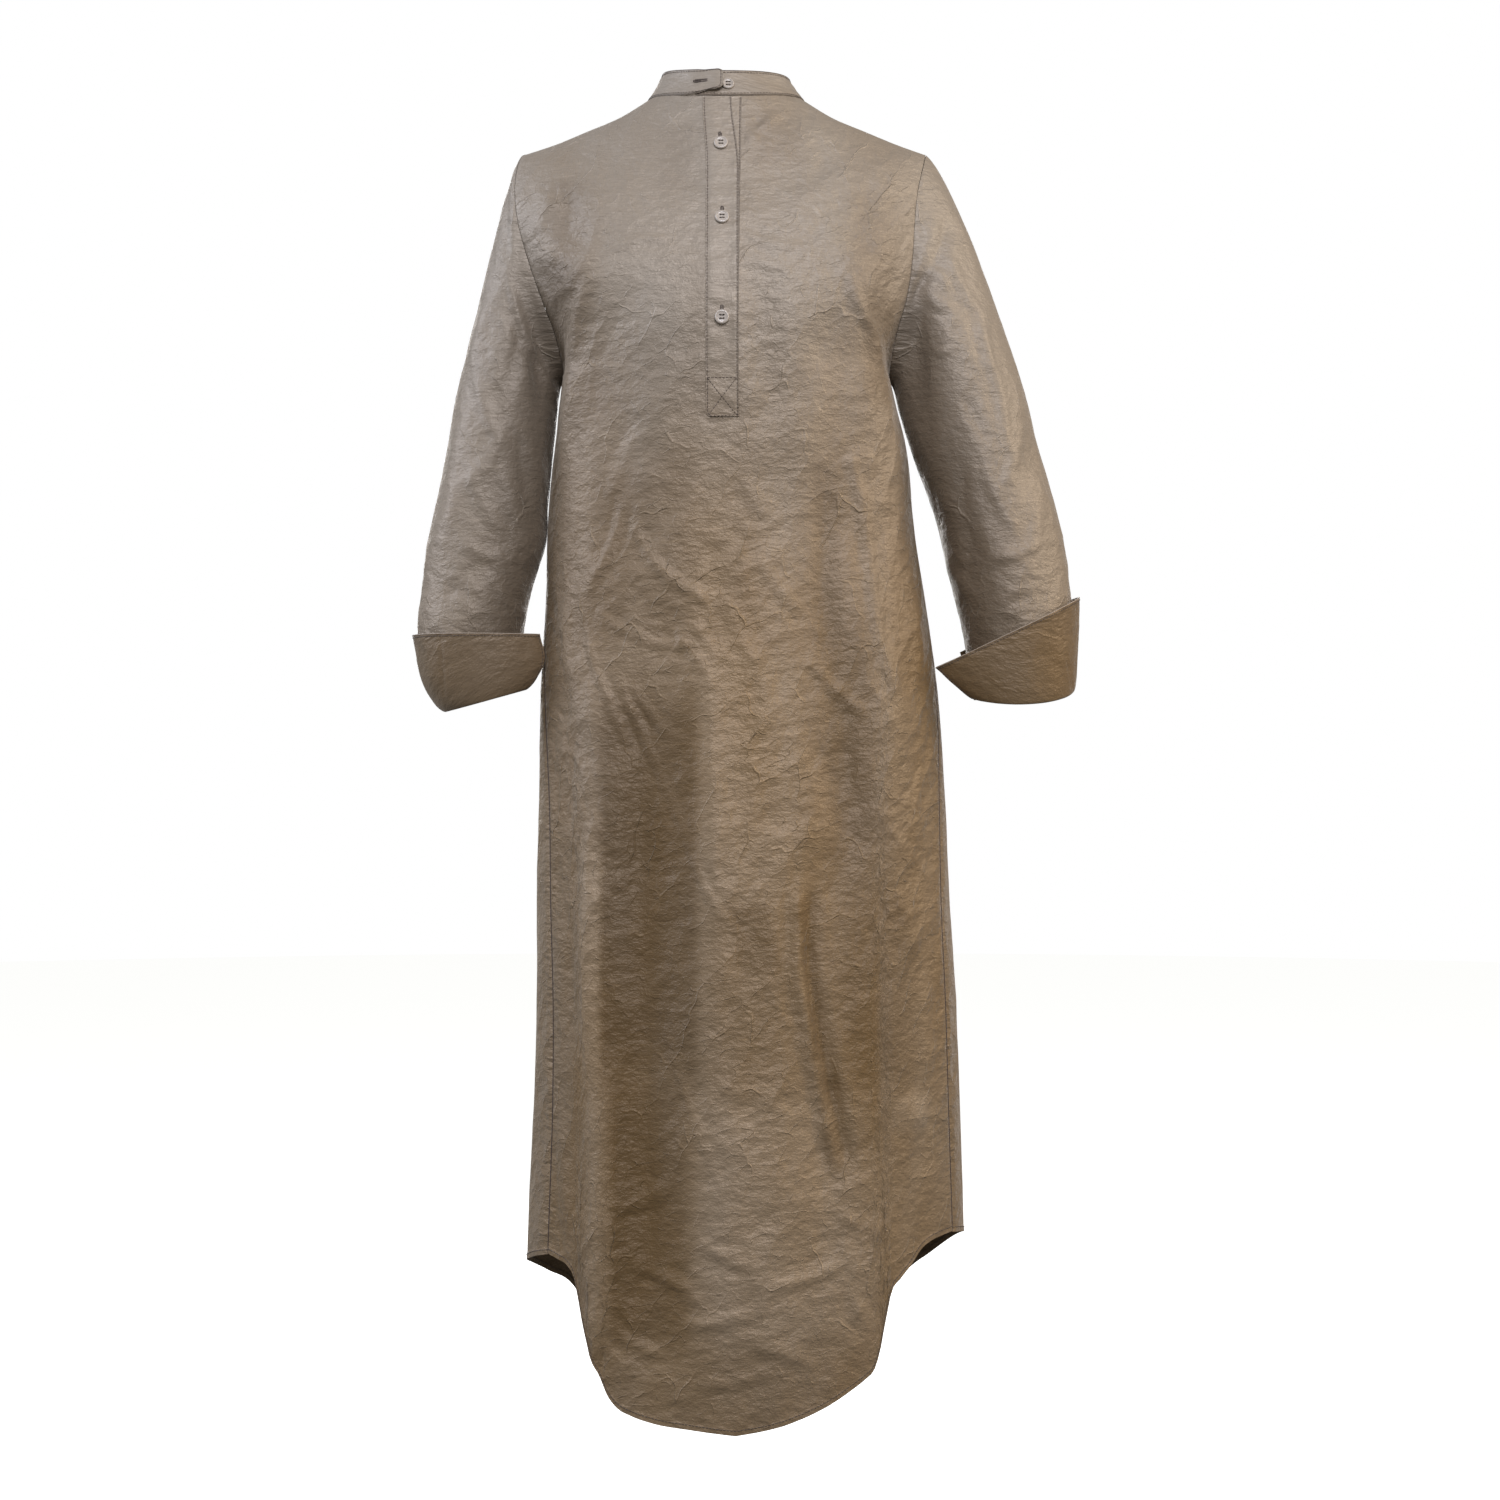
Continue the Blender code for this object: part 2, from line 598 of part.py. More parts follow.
def front_panel(grid, normal, material):
    """Front with the slit of the neck opening down its middle column."""
    rows, columns = grid.shape[:2]
    middle = FRONT_COLUMNS
    first = SKIRT_ROWS - PLACKET_END_ROW + 1
    points = grid.reshape(-1, 3).copy()
    normals = normal.reshape(-1, 3)
    slit = np.arange(first, rows) * columns + middle
    across = grid[first:, middle + 1] - grid[first:, middle]
    across /= np.linalg.norm(across, axis=-1, keepdims=True)
    right_side = points[slit] + across * SLIT_GAP / 2
    points[slit] -= across * SLIT_GAP / 2
    renumber = {int(k): rows * columns + n for n, k in enumerate(slit)}
    faces = []
    for face in grid_faces(rows, columns):
        right_of_slit = face[0] % columns >= middle
        faces.append(tuple(renumber.get(k, k) for k in face) if right_of_slit else face)
    points = np.concatenate([points, right_side])
    normals = np.concatenate([normals, normals[slit]])
    return wall("front", points, normals, faces, CLOTH, material)


def leave_direction(angle, side):
    """How the sleeve leaves the armhole at an angle round it, as a vector in mm."""
    tip = LEFT_CAP_TIP if side == "left" else RIGHT_CAP_TIP
    corners = (CAP_UNDERARM, CAP_FRONT, tip, CAP_BACK, CAP_UNDERARM)
    knots = np.arange(5) * 90.0
    read = {n: np.interp(angle, knots, [getattr(c, n) for c in corners]) for n in CapLeave._fields}
    sign = -1.0 if side == "left" else 1.0
    vector = np.stack([sign * read["outward"], -read["forward"], read["rise"]], axis=-1)
    leave = vector / np.linalg.norm(vector, axis=-1, keepdims=True)
    return leave, read["reach"][:, None], read["arrive"][:, None]


def sleeve_ring(table, height, angle, side):
    """Point of a sleeve section: angle 0 faces the body, 90 the front."""
    lower_first = table[::-1]
    read = {n: column(lower_first, "height", n, height) for n in SleeveRing._fields[1:]}
    sign = 1.0 if side == "left" else -1.0
    turned = np.radians(angle)
    x = read["x"] + sign * read["half_width"] * np.cos(turned)
    y = read["y"] - read["half_depth"] * np.sin(turned)
    return np.stack([x, y, height + 0 * x], axis=-1)


def sleeve_grid(side, loop):
    """Mid-surface of a sleeve from the armhole loop down to its end, one row per ring."""
    table = LEFT_SLEEVE if side == "left" else RIGHT_SLEEVE
    folds = LEFT_SLEEVE_FOLDS if side == "left" else RIGHT_SLEEVE_FOLDS
    angle = np.arange(len(loop)) * 360.0 / len(loop)
    leave, reach, arrive = leave_direction(angle, side)
    top, end = table[0].height, table[-1].height
    biceps = sleeve_ring(table, np.full(len(loop), float(top)), angle, side)
    below = sleeve_ring(table, np.full(len(loop), top - 1.0), angle, side)
    down = below - biceps
    down /= np.linalg.norm(down, axis=-1, keepdims=True)
    start = loop + leave * (SEAM_GAP + CLOTH * 0.95)
    rows = []
    for t in np.linspace(0.0, 1.0, CAP_ROWS, endpoint=False):
        point = (2 * t**3 - 3 * t**2 + 1) * start + (3 * t**2 - 2 * t**3) * biceps
        point += (t**3 - 2 * t**2 + t) * leave * reach
        point += (t**3 - t**2) * down * arrive
        rows.append(point)
    for height in np.linspace(top, end, ARM_ROWS):
        rows.append(sleeve_ring(table, np.full(len(loop), height), angle, side))
    grid = np.array(rows)
    normal = ring_normals(grid)
    rise = np.zeros(grid.shape[:2])
    for fold in folds:
        height = np.clip(grid[..., 2], fold.end_z, fold.top_z)
        t = (fold.top_z - grid[..., 2]) / (fold.top_z - fold.end_z)
        middle = fold.top_angle + (fold.end_angle - fold.top_angle) * (fold.top_z - height) / (
            fold.top_z - fold.end_z
        )
        off = (angle[None, :] - middle + 180.0) % 360.0 - 180.0
        lasts = ease(*SLEEVE_FOLD_BEGINS, t) * (1 - ease(*SLEEVE_FOLD_ENDS, t))
        rise += fold.rise * lasts * np.exp(-((off / fold.spread) ** 2))
    starts = ease(0.0, 2.5, np.arange(len(grid)))[:, None]
    ends = 1 - ease(len(grid) - 4.0, len(grid) - 1.0, np.arange(len(grid)))[:, None]
    return grid + normal * (rise * starts * ends)[..., None]


def ring_normals(grid):
    """Outward normals of a tube given as closed rings."""
    along = np.roll(grid, -1, axis=1) - np.roll(grid, 1, axis=1)
    normal = np.cross(along, np.gradient(grid, axis=0))
    normal /= np.linalg.norm(normal, axis=-1, keepdims=True)
    middle = grid.mean(axis=1, keepdims=True)
    outward = (normal[len(grid) // 2] * (grid - middle)[len(grid) // 2]).sum()
    return normal if outward > 0 else -normal


def sleeve(name, side, front, back, material):
    """One sleeve, set in along the armhole edges of both panels."""
    low, high = SKIRT_ROWS, SKIRT_ROWS + ARMHOLE_ROWS
    front_edge = 0 if side == "left" else -1
    back_edge = -1 if side == "left" else 0
    up = front[low : high + 1, front_edge]
    down = back[low + 1 : high, back_edge][::-1]
    loop = np.concatenate([up, down])
    grid = sleeve_grid(side, loop)
    normal = ring_normals(grid)
    faces = grid_faces(*grid.shape[:2], closed=True)
    if faces_point_in(grid, normal, faces):
        faces = [tuple(reversed(face)) for face in faces]
    return wall(name, grid, normal, faces, CLOTH, material)


def faces_point_in(grid, normal, faces):
    """Whether the quads of a grid face against its normals."""
    points = grid.reshape(-1, 3)
    a, b, _, d = faces[len(faces) // 2]
    facing = np.cross(points[b] - points[a], points[d] - points[a])
    return float(facing @ normal.reshape(-1, 3)[a]) < 0


def cuff(name, side, material):
    """Turned-back cuff, unbuttoned, with both its ends spread on the side of the body."""
    table = LEFT_CUFF if side == "left" else RIGHT_CUFF
    sign = 1.0 if side == "left" else -1.0
    angle = np.linspace(CUFF_FRONT_END, CUFF_BACK_END, CUFF_AROUND + 1)
    turned = np.radians(angle)
    rows = []
    for n, ring in enumerate(table):
        opened = max(0.0, (n - 2) / (len(table) - 3))
        spread = ring.flare * (1 - ease(CUFF_FRONT_END, CUFF_FLARE_START, angle))
        spread = spread + CUFF_BACK_FLARE * opened * ease(CUFF_BACK_FLARE_START, CUFF_BACK_END, angle)
        x = ring.x + sign * (ring.half_width * np.cos(turned) + spread)
        y = ring.y - ring.half_depth * np.sin(turned)
        z = ring.height + ring.slope_x * (x - ring.x) + ring.slope_y * (y - ring.y)
        rows.append(np.stack([x, y, z], axis=-1))
    grid = np.array(rows)
    normal = grid_normals(grid)
    last = len(table) - 1
    middle = normal[last, CUFF_AROUND // 2]
    outside = grid[last, CUFF_AROUND // 2] - grid[last].mean(axis=0)
    if float(middle @ outside) < 0:
        normal = -normal
    faces = grid_faces(*grid.shape[:2])
    if faces_point_in(grid, normal, faces):
        faces = [tuple(reversed(face)) for face in faces]
    return wall(name, grid, normal, faces, CUFF_CLOTH, material)


def neckline(angle):
    """Point of the neck edge at an angle in degrees from centre front, right positive."""
    turned = np.radians(np.asarray(angle, float))
    left, right = SHOULDER[-1].left, SHOULDER[-1].right
    reach = np.where(turned < 0, CHEST_CENTRE - left, right - CHEST_CENTRE)
    front, behind = CHEST_FRONT[-1], CHEST_BACK[-1]
    seam_y, seam_z = SHOULDER[-1].depth, SHOULDER[-1].height
    is_back = np.abs(turned) > math.pi / 2
    depth = np.where(is_back, behind.depth, front.depth)
    middle = np.where(is_back, behind.height, front.height)
    x = CHEST_CENTRE + reach * np.sin(turned)
    y = seam_y + (depth - seam_y) * np.abs(np.cos(turned))
    z = seam_z + (middle - seam_z) * np.abs(np.cos(turned)) ** (2 * front.fall)
    return np.stack([x, y, z], axis=-1)


def collar_path():
    """Turn round the neck from the end on top, by the left and the back, to the end beneath."""
    steps = np.linspace(0.0, 1.0, COLLAR_STEPS + 1)
    left_reach = CHEST_CENTRE - SHOULDER[-1].left
    over = math.degrees(math.asin((COLLAR_OVER_END - CHEST_CENTRE) / left_reach))
    under = 360 - math.degrees(math.asin((COLLAR_UNDER_END - CHEST_CENTRE) / left_reach))
    return -over + steps * (under + over)


def collar_point(turned, share):
    """Mid-surface of the collar: share 0 is the neck seam, 1 the free edge."""
    angle = np.where(turned > 180, 360 - turned, -turned)
    base = neckline(angle)
    side = np.sin(np.radians(angle)) ** 2
    behind = np.abs(angle) > 90
    rise = np.where(behind, COLLAR_RISE_BACK, COLLAR_RISE_FRONT)
    beside = np.where(angle < 0, COLLAR_RISE_LEFT, COLLAR_RISE_RIGHT)
    rise = rise + (beside - rise) * side
    share = np.asarray(share, float)
    lean = np.where(behind, COLLAR_LEAN_BACK, COLLAR_LEAN_FRONT)
    lean = lean + (COLLAR_LEAN_SIDE - lean) * side
    inward = np.array([CHEST_CENTRE, 0.0, 0.0]) - base
    inward[..., 2] = 0.0
    inward /= np.linalg.norm(inward, axis=-1, keepdims=True)
    on_top = turned < 90
    lap = COLLAR_LAP * ease(COLLAR_LAP_START, COLLAR_LAP_START / 2, base[..., 0]) * on_top
    lift = COLLAR_LIFT * ease(*COLLAR_LIFT_OVER, base[..., 0]) * on_top
    out = lap + lift - lean * share * (1.3 - 0.3 * share)
    point = base - inward * out[..., None]
    point[..., 2] += COLLAR_SEAT + rise * share
    return point


def corner_cut(radius, distance):
    """How far a rounded corner draws an end back at a distance from the edge."""
    inside = max(0.0, radius - distance)
    return radius - math.sqrt(radius**2 - inside**2)


def collar(material):
    """Band collar, its end on top rounded and lying loose over the end beneath."""
    turned = collar_path()
    shares = np.linspace(0.0, 1.0, COLLAR_ROWS + 1)
    rows = []
    for share in shares:
        top = corner_cut(COLLAR_TOP_CORNER, COLLAR_RISE_FRONT * (1 - share))
        low = corner_cut(COLLAR_LOW_CORNER, COLLAR_RISE_FRONT * share)
        from_start = turned - turned[0]
        fade = 1 - ease(0.0, COLLAR_END_TURN, from_start)
        trimmed = turned + math.degrees(max(top, low) / -CHEST_FRONT[-1].depth) * fade
        raised = COLLAR_END_RAISE * fade
        rows.append(collar_point(trimmed, raised + (1 - raised) * share))
    grid = np.array(rows)
    normal = grid_normals(grid)
    if float(normal[2, COLLAR_STEPS // 2] @ (grid[2, COLLAR_STEPS // 2] - grid[2].mean(axis=0))) < 0:
        normal = -normal
    faces = grid_faces(*grid.shape[:2])
    if faces_point_in(grid, normal, faces):
        faces = [tuple(reversed(face)) for face in faces]
    return wall("collar", grid, normal, faces, COLLAR_CLOTH, material)


def strip(name, front, normal, columns_at, height_at, end_row, thickness, material):
    """A strip on the front, made from the points of the panel's middle columns moved outward."""
    middle = FRONT_COLUMNS
    first = SKIRT_ROWS - end_row
    base = front[first:, middle - 2 : middle + 3].copy()
    out = normal[first:, middle - 2 : middle + 3]
    share = PLACKET_CORNER / np.linalg.norm(base[1, 2] - base[0, 2])
    base = np.concatenate([base[:1], base[:1] + (base[1:2] - base[:1]) * share, base[1:]])
    out = np.concatenate([out[:1], out[:1] + (out[1:2] - out[:1]) * share, out[1:]])
    down = base[-2] - base[-1]
    base[-1] += down / np.linalg.norm(down, axis=-1, keepdims=True) * STRIP_TOP_DROP
    places = np.array([PLACKET_LEFT, PLACKET_LEFT / 2, 0.0, PLACKET_RIGHT / 2, PLACKET_RIGHT])
    rows, outs = [], []
    for n, (points, normals) in enumerate(zip(base, out)):
        at = columns_at(n, n / (len(base) - 1))
        row, facing = [], []
        for place in at:
            k = int(np.clip(np.searchsorted(places, place) - 1, 0, len(places) - 2))
            t = (place - places[k]) / (places[k + 1] - places[k])
            out_here = normals[k] + (normals[k + 1] - normals[k]) * t
            out_here /= np.linalg.norm(out_here)
            row.append(points[k] + (points[k + 1] - points[k]) * t + out_here * height_at(n, place))
            facing.append(out_here)
        rows.append(row)
        outs.append(facing)
    grid, outs = np.array(rows), np.array(outs)
    faces = grid_faces(*grid.shape[:2])
    return wall(name, grid, outs, faces, thickness, material), grid, outs


def button(name, diameter, centre, facing, material):
    """Four-hole button with a raised rim and a shallow well, its back on the cloth."""
    radius = diameter / 2
    well = radius - BUTTON_RIM
    profile = (
        (0.0, 0.0),
        (radius - BUTTON_BEVEL, 0.0),
        (radius, BUTTON_BEVEL),
        (radius, BUTTON_THICKNESS - BUTTON_BEVEL),
        (radius - BUTTON_BEVEL, BUTTON_THICKNESS),
        (well, BUTTON_THICKNESS),
        (well - BUTTON_WELL, BUTTON_THICKNESS - BUTTON_WELL),
        (0.0, BUTTON_THICKNESS - BUTTON_WELL),
    )
    disc = lathe(name, profile, BUTTON_SIDES)
    disc.data.materials.append(material)
    cutter = holes(name + "_cutter")
    placed = frame_of(centre, facing)
    disc.matrix_world = placed
    cutter.matrix_world = placed
    cut = disc.modifiers.new("holes", "BOOLEAN")
    cut.operation = "DIFFERENCE"
    cut.solver = "EXACT"
    cut.object = cutter
    return disc


def frame_of(centre, facing):
    """Placement with its Z axis along facing and its X axis level."""
    z = facing / np.linalg.norm(facing)
    x = np.cross(np.array([0.0, 0.0, 1.0]), z)
    x /= np.linalg.norm(x)
    y = np.cross(z, x)
    placed = np.eye(4)
    placed[:3, 0], placed[:3, 1], placed[:3, 2] = x, y, z
    placed[:3, 3] = np.asarray(centre) * MM
    return Matrix(placed.tolist())


def lathe(name, profile, sides):
    """Closed solid turned from a profile of radius and height."""
    points, faces = [], []
    turns = [2 * math.pi * k / sides for k in range(sides)]
    rings = []
    for radius, height in profile:
        if radius == 0.0:
            rings.append([len(points)])
            points.append((0.0, 0.0, height * MM))
            continue
        rings.append([len(points) + k for k in range(sides)])
        points += [(radius * math.cos(a) * MM, radius * math.sin(a) * MM, height * MM) for a in turns]
    for low, high in zip(rings, rings[1:]):
        for k in range(sides):
            j = (k + 1) % sides
            if len(low) == 1:
                faces.append((low[0], high[j], high[k]))
            elif len(high) == 1:
                faces.append((low[k], low[j], high[0]))
            else:
                faces.append((low[k], low[j], high[j], high[k]))
    mesh = bpy.data.meshes.new(name)
    mesh.from_pydata(points, [], faces)
    item = bpy.data.objects.new(name, mesh)
    bpy.context.scene.collection.objects.link(item)
    return item


def holes(name):
    """Four drills of a button in one mesh, kept out of the render."""
    points, faces = [], []
    radius = HOLE_DIAMETER / 2
    half = HOLE_SPACING / 2
    for cx, cy in ((half, half), (-half, half), (-half, -half), (half, -half)):
        first = len(points)
        for height in (-1.0, BUTTON_THICKNESS + 1.0):
            for k in range(HOLE_SIDES):
                a = 2 * math.pi * (k + 0.5) / HOLE_SIDES
                points.append(((cx + radius * math.cos(a)) * MM, (cy + radius * math.sin(a)) * MM, height * MM))
        low = [first + k for k in range(HOLE_SIDES)]
        high = [first + HOLE_SIDES + k for k in range(HOLE_SIDES)]
        faces.append(tuple(reversed(low)))
        faces.append(tuple(high))
        for k in range(HOLE_SIDES):
            j = (k + 1) % HOLE_SIDES
            faces.append((low[k], low[j], high[j], high[k]))
    mesh = bpy.data.meshes.new(name)
    mesh.from_pydata(points, [], faces)
    item = bpy.data.objects.new(name, mesh)
    item.hide_render = True
    item.display_type = "WIRE"
    bpy.context.scene.collection.objects.link(item)
    return item


def buttons(strip_grid, strip_normals, material):
    """Placket buttons on the outer strip and the collar button on the end beneath."""
    middle = strip_grid.shape[1] // 2
    line, facing = strip_grid[:, middle], strip_normals[:, middle]
    for n, height in enumerate(PLACKET_BUTTON_HEIGHTS):
        centre = np.array([np.interp(height, line[:, 2], line[:, k]) for k in range(3)])
        normal = np.array([np.interp(height, line[:, 2], facing[:, k]) for k in range(3)])
        normal /= np.linalg.norm(normal)
        centre += normal * (PLACKET_CLOTH / 2 + LAYER_GAP)
        button(f"button_{n + 1}", BUTTON_DIAMETER, centre, normal, material)
    right_reach = SHOULDER[-1].right - CHEST_CENTRE
    turned = 360 - math.degrees(math.asin((COLLAR_BUTTON_X - CHEST_CENTRE) / right_reach))
    around = np.array([turned - 1.0, turned, turned + 1.0])
    low = collar_point(around, COLLAR_BUTTON_SHARE - 0.1)
    high = collar_point(around, COLLAR_BUTTON_SHARE + 0.1)
    normal = np.cross(low[2] - low[0], high[1] - low[1])
    normal *= -np.sign(normal[1]) / np.linalg.norm(normal)
    centre = (low[1] + high[1]) / 2 + normal * (COLLAR_CLOTH / 2 + COLLAR_BUTTON_GAP)
    button("collar_button", COLLAR_BUTTON_DIAMETER, centre, normal, material)


def under_height(row, place):
    """Height of the inner strip's mid-surface over the front's."""
    return CLOTH / 2 + LAYER_GAP + UNDERLAP_CLOTH / 2


def over_height(row, place):
    """Height of the outer strip's mid-surface: down on the front at its sewn edge and end."""
    low = CLOTH / 2 + LAYER_GAP + PLACKET_CLOTH / 2
    step = UNDERLAP_CLOTH + LAYER_GAP
    across = float(np.interp(place, (PLACKET_LEFT, PLACKET_LEFT / 2, 0.0), (0.0, 0.85, 1.0)))
    return low + step * across * min(1.0, row / 2.0)


def over_columns(row, share):
    """Edges of the outer placket strip, its lower left corner cut off."""
    cut = PLACKET_CORNER if row == 0 else 0.0
    return (PLACKET_LEFT + cut, PLACKET_LEFT / 2, 0.0, PLACKET_RIGHT / 2, PLACKET_RIGHT)


def under_columns(row, share):
    """Edges of the inner placket strip, which shows a little past the outer one near the neck."""
    right = UNDERLAP_RIGHT_END + (UNDERLAP_RIGHT_TOP - UNDERLAP_RIGHT_END) * share
    return (UNDERLAP_LEFT, PLACKET_RIGHT / 2, right)


def main():
    for item in list(bpy.data.objects):
        bpy.data.objects.remove(item)
    cloth = {
        "front": cloth_material("front_slub_silk", (0.30, 0.22, 0.15), 0.55, 0.3),
        "back": cloth_material("back_slub_silk", (0.29, 0.21, 0.15), 0.55, 0.3),
        "left_sleeve": cloth_material("left_sleeve_slub_silk", (0.31, 0.24, 0.18), 0.55, 0.3),
        "right_sleeve": cloth_material("right_sleeve_slub_silk", (0.30, 0.22, 0.16), 0.55, 0.3),
        "left_cuff": cloth_material("left_cuff_slub_silk", (0.27, 0.20, 0.14), 0.6, 0.3),
        "right_cuff": cloth_material("right_cuff_slub_silk", (0.27, 0.20, 0.14), 0.6, 0.3),
        "collar": cloth_material("collar_slub_silk", (0.31, 0.24, 0.17), 0.6, 0.3),
        "placket_over": cloth_material("placket_over_slub_silk", (0.31, 0.24, 0.17), 0.6, 0.3),
        "placket_under": cloth_material("placket_under_slub_silk", (0.28, 0.21, 0.15), 0.6, 0.3),
    }
    shell = cloth_material("button_pearl_shell", (0.50, 0.44, 0.37), 0.25, 0.0)
    front, back = panel_grid(False), panel_grid(True)
    front_in, front_normal, back_in, back_normal = seam_edges(front, back)
    front_panel(front_in, front_normal, cloth["front"])
    wall("back", back_in, back_normal, grid_faces(*back.shape[:2]), CLOTH, cloth["back"])
    sleeve("left_sleeve", "left", front, back, cloth["left_sleeve"])
    sleeve("right_sleeve", "right", front, back, cloth["right_sleeve"])
    cuff("left_cuff", "left", cloth["left_cuff"])
    cuff("right_cuff", "right", cloth["right_cuff"])
    collar(cloth["collar"])
    strip(
        "placket_under",
        front_in,
        front_normal,
        under_columns,
        under_height,
        UNDERLAP_END_ROW,
        UNDERLAP_CLOTH,
        cloth["placket_under"],
    )
    _, over_grid, over_normals = strip(
        "placket_over",
        front_in,
        front_normal,
        over_columns,
        over_height,
        PLACKET_END_ROW,
        PLACKET_CLOTH,
        cloth["placket_over"],
    )
    buttons(over_grid, over_normals, shell)


main()
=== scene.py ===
"""Looks of a worn shirt dress: shot shantung silk shells, seams, creases, buttons and sewing.

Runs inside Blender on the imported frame. Front faces -Y, +Z is up. The forms are worked out in
millimetres from the same sizes as the construction solids, on a much finer grid, and each piece
stands for the solid of the same name.
"""

import functools
import math
from collections import namedtuple

import bpy
import numpy as np
from bpy.props import FloatProperty, FloatVectorProperty, PointerProperty
from mathutils import Matrix, Vector


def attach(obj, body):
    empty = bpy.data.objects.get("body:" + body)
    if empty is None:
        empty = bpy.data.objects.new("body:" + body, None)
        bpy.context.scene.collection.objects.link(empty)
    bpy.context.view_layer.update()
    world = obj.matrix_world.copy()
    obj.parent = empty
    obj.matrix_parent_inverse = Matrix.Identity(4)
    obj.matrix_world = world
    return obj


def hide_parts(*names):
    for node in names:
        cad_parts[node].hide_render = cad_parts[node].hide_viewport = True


bl_info = {
    "name": "Shirt Dress",
    "version": (1, 0, 0),
    "blender": (4, 5, 0),
    "location": "3D View > Sidebar > Dress",
    "description": "Dresses the construction model of a worn shirt dress in creased silk",
    "category": "Object",
}

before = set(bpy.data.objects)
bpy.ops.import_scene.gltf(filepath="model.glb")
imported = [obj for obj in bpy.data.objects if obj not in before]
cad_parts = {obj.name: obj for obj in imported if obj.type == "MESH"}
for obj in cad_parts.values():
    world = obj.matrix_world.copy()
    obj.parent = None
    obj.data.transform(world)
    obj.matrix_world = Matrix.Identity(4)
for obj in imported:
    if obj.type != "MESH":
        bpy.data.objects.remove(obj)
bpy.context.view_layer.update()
BODY = "root"
MM = 0.001

# Gaps of the sewn cloth: seams all but close, and layers lie close on each other.
SEAM_GAP = 0.06
LAYER_GAP = 0.25

# Rows and columns of the grids, about 4 mm apart on the panels.
FRONT_COLUMNS = 68
BACK_COLUMNS = 66
SKIRT_ROWS = 228
ARMHOLE_ROWS = 52
SHOULDER_ROWS = 26
DENSE = 241

# Stages of a panel from the hem, 0, to the neck: the rows of the grids are counted along them.
UNDERARM, TIP, NECK = 1.0, 2.0, 3.0
PLACKET_STAGE = 0.951
HEM_ROWS = (0.0, 0.0018, 0.0036, 0.0052, 0.0064, 0.0086, 0.012)


def rows_of(kind, *values):
    """Table of named rows."""
    return tuple(kind(*row) for row in values)


# Body sections below the underarm. left, right: sideways reach; front, back: depth;
# round: exponent of the oval; centre: middle line; seam angles in degrees from centre front.
Ring = namedtuple("Ring", "height left right front back round centre seam_left seam_right")
RINGS = rows_of(
    Ring,
    (-1200, -183, 211, 131, 128, 2.15, 6, 61, 69), (-1022, -181.5, 210, 128, 125, 2.15, 6, 61, 69),
    (-896, -175.5, 206, 126, 121, 2.15, 6, 62, 69), (-806, -173, 203, 124, 118, 2.20, 5, 63, 69),
    (-716, -173, 197, 121, 115, 2.20, 4, 65, 71), (-626, -171, 193, 118, 112, 2.20, 2, 68, 74),
    (-536, -170, 187, 115, 104, 2.25, 0, 74, 80), (-446, -165, 175, 112, 92, 2.30, -2, 84, 86),
    (-376, -163, 164, 112, 87, 2.35, -4, 89, 89), (-320, -158, 159.5, 116, 88, 2.40, -5, 90, 90),
    (-250, -149, 143, 122, 96, 2.50, -6, 90, 90),
)
UNDERARM_HEIGHT = RINGS[-1].height
MIDDLE_HEM = -1100.0

# Height of the shirt-tail hem against the share of the way from centre to side seam.
HemPoint = namedtuple("HemPoint", "share height")
FRONT_HEM_LEFT = rows_of(
    HemPoint,
    (0, -1166), (0.2, -1162), (0.4, -1157.5), (0.5, -1152.5), (0.57, -1146.5), (0.62, -1136),
    (0.66, -1120), (0.705, -1107), (0.74, -1084), (0.77, -1060), (0.8, -1038), (0.84, -1029),
    (0.91, -1025), (1, -1022),
)
FRONT_HEM_RIGHT = rows_of(
    HemPoint,
    (0, -1166), (0.12, -1161.5), (0.25, -1153.5), (0.35, -1144.5), (0.45, -1132), (0.52, -1122),
    (0.565, -1112), (0.6, -1087), (0.64, -1049), (0.68, -1038.5), (0.735, -1027), (0.79, -1014.5),
    (0.845, -1009), (0.92, -1006), (1, -1005),
)
BACK_HEM_LEFT = rows_of(
    HemPoint,
    (0, -1188), (0.2, -1183), (0.32, -1166), (0.4, -1134), (0.45, -1102), (0.5, -1079),
    (0.6, -1060), (0.7, -1047), (0.78, -1040), (0.87, -1033), (0.94, -1027), (1, -1023),
)
BACK_HEM_RIGHT = rows_of(
    HemPoint,
    (0, -1188), (0.24, -1176), (0.38, -1138), (0.44, -1100), (0.5, -1072), (0.55, -1057.5),
    (0.6, -1047), (0.65, -1036.5), (0.7, -1027.5), (0.775, -1018.5), (0.86, -1013), (0.93, -1009),
    (1, -1006),
)

# Edge of the armhole from underarm over the front to the shoulder tip, then down the back.
ArmholePoint = namedtuple("ArmholePoint", "left right depth height")
ARMHOLE = rows_of(
    ArmholePoint,
    (-149, 143, 0, -250), (-149, 143, -25, -237), (-155, 148, -40, -211), (-166, 156, -48, -182),
    (-177, 161, -50, -150), (-186, 163, -47, -118), (-190, 166, -39, -88), (-189, 172, -23, -61),
    (-185, 176, 0, -46), (-184, 175, 27, -60), (-181, 172, 46, -86), (-178, 169, 57, -118),
    (-174, 166, 61, -150), (-169, 162, 58, -182), (-161, 155, 46, -212), (-152, 147, 26, -238),
)
TIP_INDEX = 8

# Shoulder seam from tip to neck.
ShoulderPoint = namedtuple("ShoulderPoint", "stage left right depth height")
SHOULDER = rows_of(
    ShoulderPoint,
    (2.00, -185, 176, 0, -46), (2.25, -158, 151, 3, -36.7), (2.50, -131, 124, 5, -25.8),
    (2.75, -102, 95, 5, -14.5), (3.00, -74, 67, 3, 1),
)

